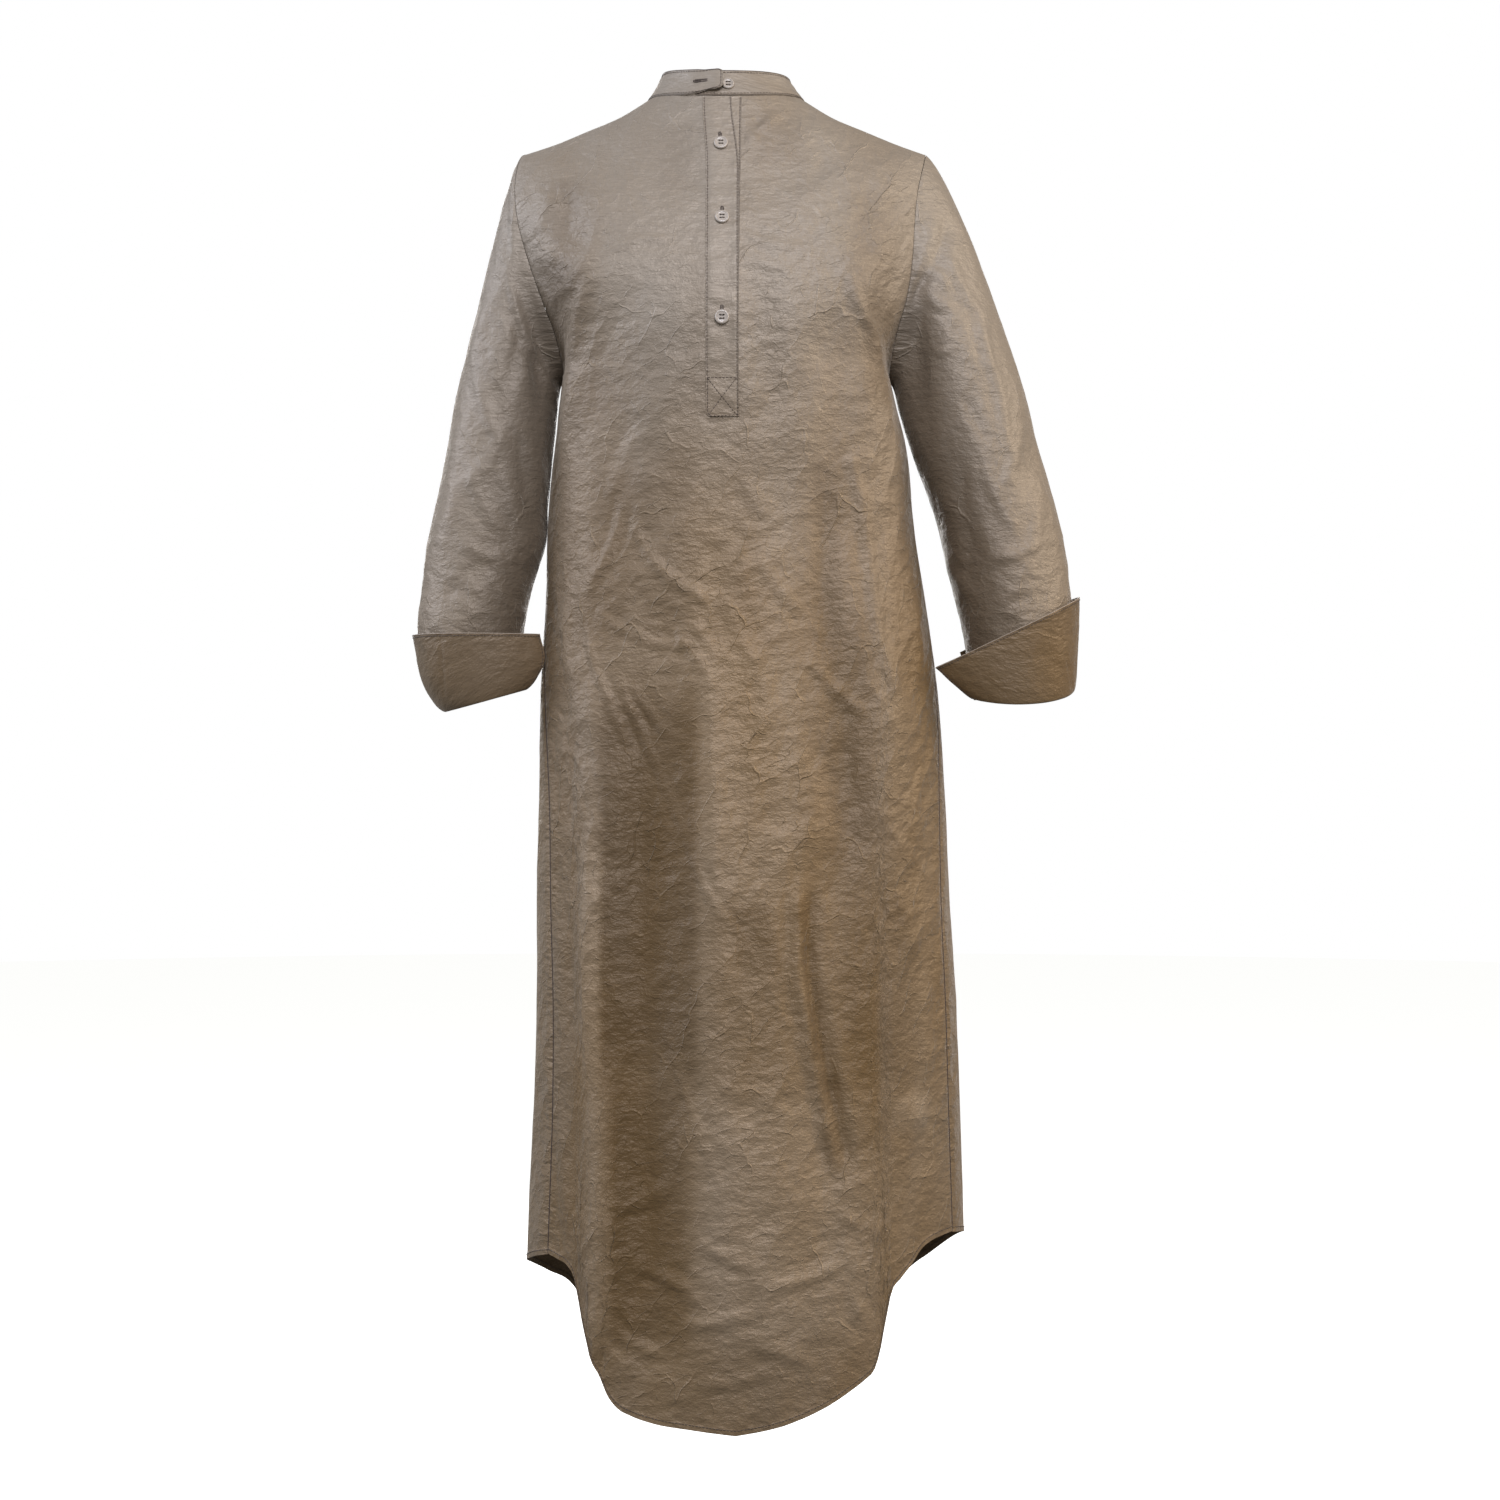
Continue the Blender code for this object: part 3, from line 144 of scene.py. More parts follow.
# Middle of each row above the underarm, and how the row turns from the middle to its ends.
ChestRow = namedtuple("ChestRow", "stage depth height round turn fall")
CHEST_FRONT = rows_of(
    ChestRow,
    (1.00, -122, -250, 2.50, 0.40, 1.0), (1.25, -125, -205, 2.50, 0.48, 1.0),
    (1.50, -121, -165, 2.40, 0.58, 1.0), (1.75, -109, -126, 2.20, 0.70, 1.1),
    (2.00, -94, -91, 2.00, 0.80, 1.3), (2.50, -76, -44, 2.00, 0.66, 1.3),
    (3.00, -62, -7, 2.00, 0.50, 1.2),
)
CHEST_BACK = rows_of(
    ChestRow,
    (1.00, 96, -250, 2.50, 0.40, 1.0), (1.25, 99, -206, 2.40, 0.46, 1.0),
    (1.50, 101, -160, 2.40, 0.56, 1.0), (1.75, 97, -112, 2.20, 0.68, 1.1),
    (2.00, 86, -64, 2.00, 0.80, 1.3), (2.50, 72, -22, 2.00, 0.66, 1.3),
    (3.00, 60, 10, 2.00, 0.50, 1.2),
)
CHEST_CENTRE = -6.0

# Soft folds of the cloth as ridges (+) and hollows (-) along a line from top to bottom.
Fold = namedtuple("Fold", "top_x top_z end_x end_z half_width rise")
FRONT_FOLDS = rows_of(
    Fold,
    (-118, -440, -124, -1060, 24, 5.0), (-62, -430, -72, -1120, 30, -6.0),
    (-10, -520, 6, -1150, 30, 4.0), (50, -320, 88, -640, 24, -5.0), (92, -600, 84, -1010, 20, -6.0),
    (36, -700, 42, -1130, 20, 4.0), (134, -430, 142, -990, 22, 5.0),
    (-124, -150, -139, -300, 15, 5.0), (-92, -190, -100, -420, 22, -4.0),
    (108, -150, 128, -300, 15, 5.0), (84, -200, 104, -430, 22, -4.0),
    (-148, -90, -132, -150, 14, -4.0), (126, -90, 112, -150, 14, -4.0),
    (24, -170, 40, -300, 16, -3.0),
)
# Where along its line a fold rises from the cloth and sinks back into it.
FOLD_BEGINS = (-0.12, 0.22)
FOLD_ENDS = (0.80, 1.15)
# Beside the placket the cloth lies flat: half-widths of the flat part and of the change to folds.
FLAT_BESIDE_PLACKET = (10.0, 30.0)
FLAT_DOWN_TO = -330.0
BACK_FOLDS = rows_of(
    Fold,
    (-128, -420, -136, -1010, 24, 5.0), (-86, -330, -92, -1080, 26, -6.0),
    (-36, -470, -44, -1150, 26, 5.0), (10, -360, 16, -1150, 28, -6.0),
    (64, -440, 72, -1120, 26, 5.0), (108, -340, 120, -1060, 24, -6.0),
    (152, -500, 160, -980, 20, 4.0), (-112, -110, -98, -260, 18, -4.0),
    (104, -120, 92, -270, 18, -4.0),
)

# Sleeve sections, heights falling from the upper arm to the sleeve end.
SleeveRing = namedtuple("SleeveRing", "height x y half_width half_depth")
LEFT_SLEEVE = rows_of(
    SleeveRing,
    (-276, -202.2, 2, 46.3, 58), (-320, -208.3, 1, 47.7, 58), (-360, -214.0, 0, 50.1, 57),
    (-396, -218.3, -2, 52.7, 56), (-437, -227.0, -5, 49.0, 54), (-476, -232.5, -8, 47.0, 51),
    (-511, -229.0, -10, 42.5, 47),
)
RIGHT_SLEEVE = rows_of(
    SleeveRing,
    (-276, 210.8, 2, 58.0, 58), (-310, 219.8, 1, 57.3, 58), (-370, 239.0, -1, 55.0, 57),
    (-410, 248.0, -3, 54.0, 55), (-446, 254.0, -6, 52.0, 53), (-482, 258.5, -9, 48.0, 50),
    (-508, 259.0, -10, 45.0, 47),
)
CAP_ROWS = 56
ARM_ROWS = 60

# How the sleeve leaves the armhole: outward, forward and up shares; how long it keeps that
# direction, and how long it has been hanging straight down where the arm begins.
CapLeave = namedtuple("CapLeave", "outward forward rise reach arrive")
CAP_UNDERARM = CapLeave(0.96, 0.00, -0.28, 18, 27)
CAP_FRONT = CapLeave(0.70, 0.16, -0.70, 70, 110)
LEFT_CAP_TIP = CapLeave(0.82, 0.00, -0.57, 20, 40)
RIGHT_CAP_TIP = CapLeave(0.77, 0.00, -0.64, 100, 160)
CAP_BACK = CapLeave(0.70, -0.16, -0.70, 70, 110)

# Folds of a sleeve: ridge or hollow at an angle round the sleeve, between two heights.
SleeveFold = namedtuple("SleeveFold", "top_angle top_z end_angle end_z spread rise")
SLEEVE_FOLD_BEGINS = (-0.3, 0.25)
SLEEVE_FOLD_ENDS = (0.75, 1.3)
# The folds start below the armhole and end above the cuff: 0 is the armhole, 15 the sleeve's end.
SLEEVE_FOLDS_FROM = (0.0, 2.5)
SLEEVE_FOLDS_TO = (12.0, 15.0)
LEFT_SLEEVE_FOLDS = rows_of(
    SleeveFold,
    (70, -130, 40, -262, 17, -9.0), (105, -330, 150, -420, 20, 3.0),
    (60, -380, 110, -450, 18, -3.0), (230, -300, 290, -400, 24, 4.0),
    (300, -370, 250, -450, 20, -3.0), (280, -130, 315, -260, 18, -8.0),
)
RIGHT_SLEEVE_FOLDS = rows_of(
    SleeveFold,
    (78, -110, 44, -262, 17, -9.0), (120, -350, 80, -440, 20, 3.0),
    (150, -300, 110, -400, 20, -3.0), (240, -320, 300, -410, 24, 4.0),
    (290, -380, 250, -460, 20, -3.0), (280, -120, 315, -260, 18, -8.0),
)

# Turned-back cuff: rings from its seam with the sleeve, down to the fold and up to the free edge.
# flare: how far the front end of the ring spreads towards the body.
CuffRing = namedtuple("CuffRing", "x y height half_width half_depth slope_x slope_y flare")
LEFT_CUFF = rows_of(
    CuffRing,
    (-229.0, -10, -511.6, 42.5, 47, 0.00, 0.00, 0), (-219.5, -10, -532.0, 36.0, 43, 0.26, 0.05, 2),
    (-219.0, -10, -536.0, 37.0, 45, 0.27, 0.05, 9), (-221.5, -10, -527.0, 43.5, 49, 0.25, 0.05, 16),
    (-226.0, -10, -508.0, 51.0, 54, 0.14, 0.00, 21),
    (-228.0, -10, -478.5, 55.5, 58, 0.00, 0.00, 15),
)
RIGHT_CUFF = rows_of(
    CuffRing,
    (259.0, -10, -508.9, 45.0, 47, 0.00, 0.00, 0), (259.0, -10, -523.0, 44.0, 45, 0.04, 0.26, 0),
    (259.0, -10, -526.0, 47.0, 48, 0.04, 0.28, 0), (259.0, -10, -523.5, 50.0, 51, 0.04, 0.27, 7),
    (258.5, -10, -500.0, 53.0, 55, 0.25, 0.14, 20), (257.5, -10, -470.5, 55.0, 58, 0.48, 0.04, 31),
)
CUFF_AROUND = 110
# Rows along the cuff, closest round its fold: first and last ring and number of rows.
CUFF_STEPS = ((0.0, 0.85, 8), (0.9, 3.1, 23), (3.2, 5.0, 20))
CUFF_FRONT_END = 36
CUFF_BACK_END = 322
CUFF_FLARE_START = 84
CUFF_BACK_FLARE_START = 270
CUFF_BACK_FLARE = 5.0

# Band collar: how far it rises and leans in, at front, side and back.
COLLAR_RISE_FRONT = 24.2
COLLAR_RISE_LEFT = 24.0
COLLAR_RISE_RIGHT = 19.5
COLLAR_RISE_BACK = 27.0
COLLAR_LEAN_FRONT = 9.0
COLLAR_LEAN_SIDE = 13.5
COLLAR_LEAN_BACK = 7.0
COLLAR_STEPS = 230
COLLAR_ROWS = 22
COLLAR_OVER_END = -5.5
COLLAR_UNDER_END = -30.0
COLLAR_LAP_START = -58.0
COLLAR_SEAT = 0.6
COLLAR_LAP = 2.6
COLLAR_LIFT = 3.9
COLLAR_LIFT_OVER = (-24.0, -9.0)
COLLAR_TOP_CORNER = 4.0
COLLAR_LOW_CORNER = 7.0
COLLAR_END_RAISE = 0.22
COLLAR_END_TURN = 29.0

PLACKET_LEFT = -14.0
PLACKET_RIGHT = 14.0
PLACKET_END_ROW = 12
PLACKET_CORNER = 4.0
UNDERLAP_LEFT = -3.0
UNDERLAP_RIGHT_TOP = 16.6
UNDERLAP_RIGHT_END = 13.4
UNDERLAP_END_ROW = 6
STRIP_TOP_DROP = 1.8
# Extra rows at the lower end of a strip, in mm from it, and its columns as shares of its width.
STRIP_END_ROWS = (0.5, 1.0, 1.6, 2.4, 3.2)
OVER_SHARES = (0, 0.03, 0.06, 0.1, 0.16, 0.25, 0.37, 0.5, 0.63, 0.75, 0.84, 0.9, 0.94, 0.97, 1)
UNDER_SHARES = (0, 0.15, 0.3, 0.45, 0.6, 0.72, 0.8, 0.86, 0.9, 0.94, 0.97, 1)
# The outer strip swings aside at the neck: over what length, and how far its two edges move.
STRIP_SWING_LENGTH = 75.0
STRIP_SWING_LEFT = 3.4
STRIP_SWING_RIGHT = 6.4
SLIT_GAP = 0.6

BUTTON_DIAMETER = 12.4
COLLAR_BUTTON_DIAMETER = 10.8
BUTTON_THICKNESS = 2.4
BUTTON_RIM = 1.5
# Rounded edge of a button: distance in from its radius, and height.
BUTTON_PROFILE = (
    (0.9, 0.0), (0.3, 0.25), (0.0, 0.9), (0.08, 1.5), (0.35, 2.05), (0.8, 2.36), (1.2, 2.4),
)
HOLE_DIAMETER = 1.7
HOLE_SPACING = 2.9
BUTTON_SIDES = 48
HOLE_SIDES = 12
PLACKET_BUTTON_HEIGHTS = (-53.0, -123.0, -211.0)
COLLAR_BUTTON_X = -1.0
COLLAR_BUTTON_SHARE = 0.42


Crease = namedtuple("Crease", "top_x top_z end_x end_z bow half_width rise")
FRONT_CREASES = rows_of(
    Crease,
    (-116, -146, -160, -192, -4, 6, 2.6), (-125, -180, -140, -262, 3, 6, 3),
    (-140, -262, -149, -330, 0, 7, 2.6), (-108, -152, -53, -142, -4, 4, 1.6),
    (-125, -236, -108, -231, 0, 4, 1.4), (-140, -95, -142, -142, 0, 13, -3),
    (-171, -100, -151, -101, 0, 11, 1.8), (-171, -151, -151, -151, 0, 10, 1.8),
    (40, -25, 12, -51, 0, 5, 1.8), (24, -28, 28, -46, 0, 7, -1.4), (16, -139, 62, -149, 2, 4, 1.7),
    (62, -149, 93, -138, 2, 4, 1.6), (9, -162, 52, -172, -3, 5, 1.3),
    (27, -232, 49, -229, 0, 4, 1.2), (106, -113, 123, -106, 0, 4, 1.2),
    (106, -175, 126, -217, 3, 5, 2.4), (126, -217, 140, -293, -2, 6, 2.6),
    (-91, -372, -120, -436, -3, 5, 3), (-82, -388, -49, -436, 3, 5, 2.4),
    (-49, -436, -18, -456, -3, 5, 2.2), (-109, -466, -91, -479, 0, 4, 2),
    (-91, -479, -39, -491, 3, 4, 2.2), (-47, -479, -16, -524, -3, 5, 2.4),
    (-122, -486, -107, -531, 2, 4, 2.6), (-107, -531, -84, -580, 2, 4, 1.3),
    (-84, -529, -53, -567, 0, 4, 2), (-94, -524, -69, -582, 0, 4, 2.6),
    (-69, -582, -48, -630, 0, 4, 1.2), (-48, -630, -28, -680, 0, 4, 1.2),
    (-28, -680, -16, -709, 0, 4, 1), (-129, -587, -107, -658, 3, 5, 1.1),
    (55, -664, 56, -710, 0, 4, -1), (85, -334, 87, -500, 4, 16, -4.5),
    (105, -328, 115, -365, 0, 5, 2.6), (115, -365, 128, -466, 0, 6, 3.2),
    (128, -466, 151, -542, 3, 6, 3), (101, -525, 106, -674, 0, 20, -4.5),
    (72, -507, 123, -555, 2, 5, 2.2), (123, -630, 148, -661, 0, 5, 1.1),
    (148, -661, 174, -693, 0, 5, 1.1), (-121, -674, -120, -822, 0, 9, 3.4),
    (-111, -865, -109, -1093, 0, 13, 3.6), (-70, -667, -66, -1093, 4, 30, -6.5),
    (-29, -682, 15, -749, 3, 3.6, 1), (15, -749, 76, -873, -3, 3.6, 1),
    (-52, -835, -29, -899, 0, 4, 1), (-29, -899, -7, -956, 0, 4, 0.9),
    (59, -702, 59, -772, 0, 7, 3.2), (59, -772, 74, -867, 0, 7, 3), (74, -867, 89, -934, 0, 7, 2.6),
    (70, -702, 70, -772, 0, 7, -4.2), (70, -772, 87, -867, 0, 7, -4.2),
    (87, -867, 102, -934, 0, 7, -3.6), (130, -676, 133, -931, 0, 26, -4),
    (150, -886, 166, -907, 0, 12, 2.6), (8, -715, 20, -769, 0, 14, -2),
    (-15, -530, -11, -710, 0, 14, 3), (-77, -542, -77, -709, 0, 22, -3.6),
    (-25, -1003, 27, -1022, 3, 6, 2), (-77, -1027, -25, -1051, -3, 6, 2.2),
    (35, -1039, 95, -1022, 3, 6, 2.2), (-34, -1074, 27, -1058, 2, 6, 2.2),
    (27, -1089, 71, -1108, -2, 6, 2), (-102, -1080, -59, -1099, 2, 6, 2),
    (95, -979, 138, -1000, 2, 6, 2), (-25, -1123, 35, -1111, 3, 6, 1.8),
    (-94, -977, -53, -960, 2, 6, 1.8), (106, -1046, 125, -1086, 2, 7, 2.2),
    (9, -340, 37, -383, 3, 7, 1.6), (-25, -340, -46, -392, -3, 7, 1.6),
    (27, -418, 61, -461, 3, 7, 1.8), (11, -487, 35, -538, -3, 7, 1.6),
    (-77, -306, -102, -366, 3, 8, 2), (151, -710, 163, -762, 2, 8, 2),
    (-145, -452, -133, -530, 2, 7, 2), (-140, -710, -135, -840, 0, 7, -2.4),
    (160, -418, 169, -521, 0, 8, 2.4), (-145, -900, -140, -1003, 0, 9, 2.6),
    (169, -779, 173, -865, 0, 8, 2.2),
)
BACK_CREASES = rows_of(
    Crease,
    (-116, -146, -160, -206, 4, 6, 2.4), (-96, -300, -60, -420, -4, 6, 2.6),
    (-30, -250, 20, -262, 3, 5, 1.6), (60, -230, 118, -250, -4, 5, 1.6),
    (112, -270, 92, -400, 4, 6, 2.4), (-70, -440, -110, -520, 4, 6, 2.6),
    (-48, -430, 10, -540, -4, 5, 2.2), (30, -420, 64, -520, 3, 6, 2.4),
    (84, -470, 60, -560, 3, 5, 2.0), (-130, -560, -96, -650, -4, 5, 2.4),
    (-60, -580, 0, -640, 4, 5, 2.4), (20, -600, 70, -700, 4, 5, 2.4),
    (90, -620, 130, -720, -4, 6, 2.6), (-110, -700, -84, -840, 3, 5, 2.6),
    (-40, -690, -16, -820, 3, 4, 2.2), (0, -760, 60, -910, -4, 4, 2.2),
    (110, -760, 96, -900, 3, 6, 2.4), (-120, -880, -124, -1030, 3, 8, 3.0),
    (-60, -880, -30, -1000, 4, 5, 2.2), (30, -960, 74, -1060, -3, 5, 2.2),
    (124, -900, 130, -1010, 3, 7, 2.6), (-90, -1090, -20, -1120, 3, 6, 2.2),
    (10, -1100, 80, -1074, 3, 6, 2.2),
)
LEFT_SLEEVE_CREASES = rows_of(
    Crease,
    (-194, -168, -169, -242, 2, 4, 2.2), (-169, -242, -149, -274, 0, 5, 2),
    (-203, -86, -222, -148, 4, 7, 2.6), (-191, -64, -191, -143, 0, 4, 1.8),
    (-210, -184, -229, -237, 3, 7, 2.4), (-185, -210, -203, -272, -3, 7, -2.6),
    (-222, -254, -203, -307, 3, 6, 2.2), (-199, -299, -225, -343, -3, 7, 2.2),
    (-229, -334, -203, -387, 3, 6, 2), (-185, -307, -176, -378, 2, 8, -2.4),
    (-238, -396, -199, -413, 3, 5, 2), (-243, -431, -212, -449, -3, 5, 1.8),
    (-203, -440, -176, -466, 3, 5, 1.8), (-237, -290, -249, -378, 2, 9, 2.4),
)
RIGHT_SLEEVE_CREASES = rows_of(
    Crease,
    (192, -111, 173, -164, -4, 8, -3.6), (173, -164, 153, -186, 0, 7, -3),
    (153, -186, 146, -218, 0, 6, -2.6), (175, -157, 195, -170, 0, 5, 1.8),
    (177, -184, 197, -193, 0, 5, 1.8), (180, -231, 193, -230, 0, 4, 1.6),
    (197, -151, 222, -195, 3, 6, 2.6), (222, -195, 238, -262, 2, 6, 2.8),
    (238, -262, 247, -321, 0, 6, 2.6), (212, -95, 226, -148, 3, 7, 2),
    (208, -272, 226, -307, 0, 6, -2.2), (257, -299, 239, -352, -3, 6, 2.2),
    (226, -334, 252, -387, 3, 6, 2), (274, -343, 265, -413, -2, 8, 2.4),
    (204, -334, 217, -413, 2, 8, -2.4), (230, -413, 270, -400, 3, 5, 2),
    (239, -449, 274, -440, -3, 5, 1.8), (195, -413, 217, -449, 2, 6, 1.8),
)
SLEEVE_BACK_CREASES = rows_of(
    Crease,
    (26, -130, 10, -240, 4, 8, 3.0), (-20, -200, 20, -262, -4, 7, 2.6),
    (22, -300, -14, -372, 4, 6, 2.4), (-26, -330, 4, -400, 4, 7, -2.6),
    (20, -400, -22, -440, 3, 6, 2.4), (-24, -430, 14, -476, -3, 5, 2.0),
    (18, -470, -6, -500, 2, 5, 1.6),
)

# Patches where the cloth is crumpled all over: half sizes, size of one crumple and its rise.
Crumple = namedtuple("Crumple", "x z half_width half_height turn across along rise seed")
FRONT_CRUMPLES = rows_of(
    Crumple,
    (-10, -450, 260, 340, 18, 70, 110, 1.2, 11), (-38, -455, 70, 90, 40, 26, 40, 2.6, 12),
    (60, -560, 90, 130, -30, 34, 56, 2.0, 13), (10, -840, 240, 260, 12, 60, 110, 1.3, 14),
    (0, -1100, 240, 90, 80, 40, 70, 1.8, 15), (-120, -640, 60, 120, 30, 30, 46, 2.0, 16),
    (-10, -230, 190, 120, 75, 50, 90, 0.7, 17), (150, -620, 60, 220, -20, 30, 50, 1.8, 18),
)
BACK_CRUMPLES = rows_of(
    Crumple,
    (0, -500, 260, 340, -16, 70, 110, 1.2, 21), (20, -480, 120, 110, 36, 28, 44, 2.4, 22),
    (0, -880, 240, 260, 12, 60, 110, 1.3, 23), (0, -1110, 240, 90, 82, 40, 70, 1.8, 24),
    (0, -230, 190, 120, 78, 50, 90, 0.7, 25),
)
SLEEVE_CRUMPLES = rows_of(
    Crumple,
    (0, -330, 200, 210, 60, 40, 66, 1.0, 31), (0, -440, 200, 80, 78, 26, 44, 1.0, 32),
)
CUFF_CRUMPLE = Crumple(0, -500, 200, 80, 15, 26, 40, 0.9, 41)

# Painted shade and painted sheen: broad patches where the colour is painted darker or lighter, as
# the folds
# show dark and light bands: half sizes, slant of the sides, softness of the edge and change of
# brightness.
Tone = namedtuple("Tone", "x z half_width half_height slant soft change")
FRONT_PAINTED_SHADING = rows_of(
    Tone,
    (-69, -700, 42, 170, 0, 0.16, -0.32), (-70, -981, 36, 112, 0, 0.3, -0.27),
    (104, -577, 21, 116, -0.02, 0.5, -0.18), (130, -818, 30, 125, 0, 0.4, -0.14),
    (-120, -768, 9, 97, 0, 0.35, 0.19), (-112, -979, 11, 114, 0, 0.5, 0.16),
    (18, -601, 43, 114, 0, 0.4, 0.12), (22, -743, 18, 29, -0.2, 0.12, -0.16),
    (71, -781, 6, 75, -0.1, 0.4, -0.27), (88, -899, 9, 43, -0.1, 0.5, -0.24),
    (9, -979, 34, 110, 0, 0.5, 0.07), (-100, -414, 23, 73, 0.15, 0.6, -0.14),
    (42, -414, 19, 73, 0, 0.6, 0.07), (85, -415, 12, 81, 0, 0.5, -0.14),
    (-137, -233, 26, 64, 0, 0.6, -0.11), (158, -896, 17, 17, 0, 0.4, 0.16),
    (-145, -771, 15, 241, 0, 0.4, -0.07), (59, -981, 92, 112, 0, 0.6, 0.16),
    (-141, -130, 17, 52, 0, 0.9, -0.14), (-160, -216, 20, 64, 0.05, 0.7, -0.22),
    (-87, -186, 28, 34, 0, 0.7, 0.07), (122, -143, 21, 52, 0, 0.7, -0.12),
    (132, -233, 15, 47, 0, 0.6, -0.22), (-43, -66, 20, 34, 0, 0.7, -0.08),
    (-68, -259, 43, 39, 0.1, 0.7, -0.07), (37, -46, 24, 28, -0.3, 0.6, -0.08),
    (-9, -392, 16, 95, 0, 0.6, 0.06), (-55, -397, 21, 90, 0, 0.5, -0.08),
    (-145, -418, 13, 120, 0, 0.6, -0.1), (164, -418, 13, 120, 0, 0.6, -0.1),
)
BACK_PAINTED_SHADING = rows_of(
    Tone,
    (-100, -700, 40, 200, 0, 0.3, -0.2), (-30, -640, 44, 180, 0, 0.4, 0.08),
    (70, -760, 38, 190, 0.02, 0.35, -0.18), (130, -860, 22, 190, 0, 0.5, 0.1),
    (-60, -1010, 40, 120, 0, 0.4, -0.16), (40, -1040, 44, 120, 0, 0.5, 0.06),
    (-90, -240, 30, 60, 0, 0.6, -0.08), (90, -330, 34, 90, 0, 0.6, -0.1),
)
# Painted shade on the side of each sleeve that faces the body: change of brightness.
SLEEVE_INNER_PAINTED_SHADE = -0.38
# Faced layers: share of the crumples, pucker at the stitches and its reach in mm, and tone, which
# on the cuffs is painted shade: darker where shade falls on them.
Finish = namedtuple("Finish", "crinkle pucker reach tone")
CUFF_FINISH = Finish(0.8, 0.8, 9, -0.2)
COLLAR_FINISH = Finish(0.35, 0.8, 6, 0)
STRIP_FINISH = Finish(0.3, 0.7, 5, 0)

# Thickness of the cloth, drawn twice the real 0.3 mm, and more where it is turned up or faced.
PANEL_CLOTH = 0.6
HEM_EXTRA = 0.7
HEM_WIDTH = 5.0
SLEEVE_CLOTH = 0.6
CUFF_LAYERS = 1.1
COLLAR_LAYERS = 1.3
STRIP_LAYERS = 1.1
UNDERLAP_LAYERS = 0.8
SEAM_SINK = 1.0
# Dark cord laid in the groove of the side seams as painted shade of the seam: radius, drawn thick
# so that it shows.
SEAM_SHADE_CORD = 0.62
SEAM_REACH = 3.0
PUCKER_REACH = 16.0
SLEEVE_PUCKER_REACH = 10.0
# Distances from a seam over which creases fade in: sides and neck of a panel, ends of a sleeve.
SIDE_FADE, TOP_FADE, SLEEVE_FADE = 16.0, 14.0, 12.0
# Share of the crumples on the sleeves. Below the hips the body has a tenth more, and beside the
# placket 0.15 less.
SLEEVE_CRINKLE = 0.8
CRINKLE_MORE, CRINKLE_MORE_BELOW = 0.1, (-300.0, -460.0)
CRINKLE_LESS_FLAT = 0.15

# Angles in degrees from which an edge is drawn sharp.
SHEET_SHARP, BUTTON_SHARP = 55, 35

# weave: place in mm along weft and warp; detail: distance from the hem, crumples and pucker;
# tone: change of brightness, all of it painted light: painted shade and sheen bands of the folds,
# and painted shade on the sleeves' sides towards the body and on the cuffs.
Surface = namedtuple("Surface", "points normals weave detail tone")
SLEEVE_RADIUS = 52.0
# Depth and width of the creases on the cloth against the tables, depth of the crumples, and half
# width of the thin creases that are lines in the weave.
CREASE_DEPTH = 0.95
CREASE_WIDTH = 0.78
CRUMPLE_DEPTH = 0.6
CREASE_LINE = 1.1
# Where along its line a crease begins and ends, how sharp its crest is, and the troughs on both
# sides of it: place and width in half widths of the crest, and depth as a share of its rise.
CREASE_BEGINS = (-0.25, 0.25)
CREASE_ENDS = (0.72, 1.25)
CREST_SHARPNESS = 1.6
CREASE_TROUGHS = ((2.0, 1.0, 0.34), (-2.2, 1.2, 0.22))
EDGE_STITCH = 2.2
# Grooves that the rows of stitches draw into faced layers: depth and half widths.
TOPSTITCH_SINK = 0.5
CUFF_GROOVE, COLLAR_GROOVE, STRIP_GROOVE = 1.2, 1.1, 0.9
STRIP_SETTLES = 21.0
STRIP_LIFT = 1.1
PLACKET_STITCH = 1.3

# Seams across the cuffs, and pressed creases of the placket and the collar.
CUFF_SEAM_DEPTH = 1.7
LEFT_CUFF_SEAMS = rows_of(
    Crease,
    (-254, -470, -252, -530, 0, 1.6, -0.8),
)
RIGHT_CUFF_SEAMS = rows_of(
    Crease,
    (288, -472, 303, -520, 0, 1.6, -0.8), (222, -494, 229, -537, 0, 1.6, -0.8),
)
PLACKET_CREASES = rows_of(
    Crease,
    (-22, -100, 12, -104, 0, 5, 0.7), (-22, -158, 10, -150, 0, 6, -0.8),
    (-20, -192, 10, -196, 0, 5, 1.0), (-20, -214, 10, -226, 0, 6, -1.0),
    (-20, -246, 10, -240, 0, 5, 0.8), (-18, -272, 8, -284, 0, 6, 0.9),
    (-18, -306, 8, -300, 0, 5, -0.8),
)
COLLAR_CRUMPLES = rows_of(
    Crumple,
    (-6, 10, 140, 60, 0, 30, 18, 0.8, 61),
)
STITCH_AT = (0.08, 0.28, 0.7, 0.9)
STITCH_RISE = (-0.6, 0.7, 0.7, -0.6)
STITCH_SIDES = 5
HEM_STITCH = 4.3
BOX_HEIGHT = 34.0
CUFF_OUTER_ROW = 24
BUTTON_SHANK = 0.5
BUTTONHOLE_ABOVE = 6.5
COLLAR_HOLE_IN = 18.0
HOLE_STITCH = 0.45
HOLE_THREAD_RADIUS = 0.24
BAR_THREAD_RADIUS = 0.2
UNDERLAP_STITCH = 1.4
# Painted highlight: a pale cord along the free top edge of each cuff, where its turned edge catches
# the light: how far in from the edge, and radius.
EDGE_HIGHLIGHT_IN, EDGE_HIGHLIGHT_RADIUS = 0.2, 0.45
# Dark cord along the collar's neck seam and top edge, partly seam thread and partly painted shade
# of the seam line: how far in, lift and radius.
COLLAR_SEAM_IN, COLLAR_SEAM_LIFT, COLLAR_SEAM_RADIUS = 0.5, 0.1, 0.22
PLACKET_HOLE_LENGTH = 7.0
COLLAR_HOLE_LENGTH = 17.0

# Sizes the pieces were cut to before sewing, in metres and square metres.
PLACKET_CUT, PLACKET_AREA = (0.028, 0.32), 0.0088
UNDERLAP_CUT, UNDERLAP_AREA = (0.020, 0.30), 0.0052

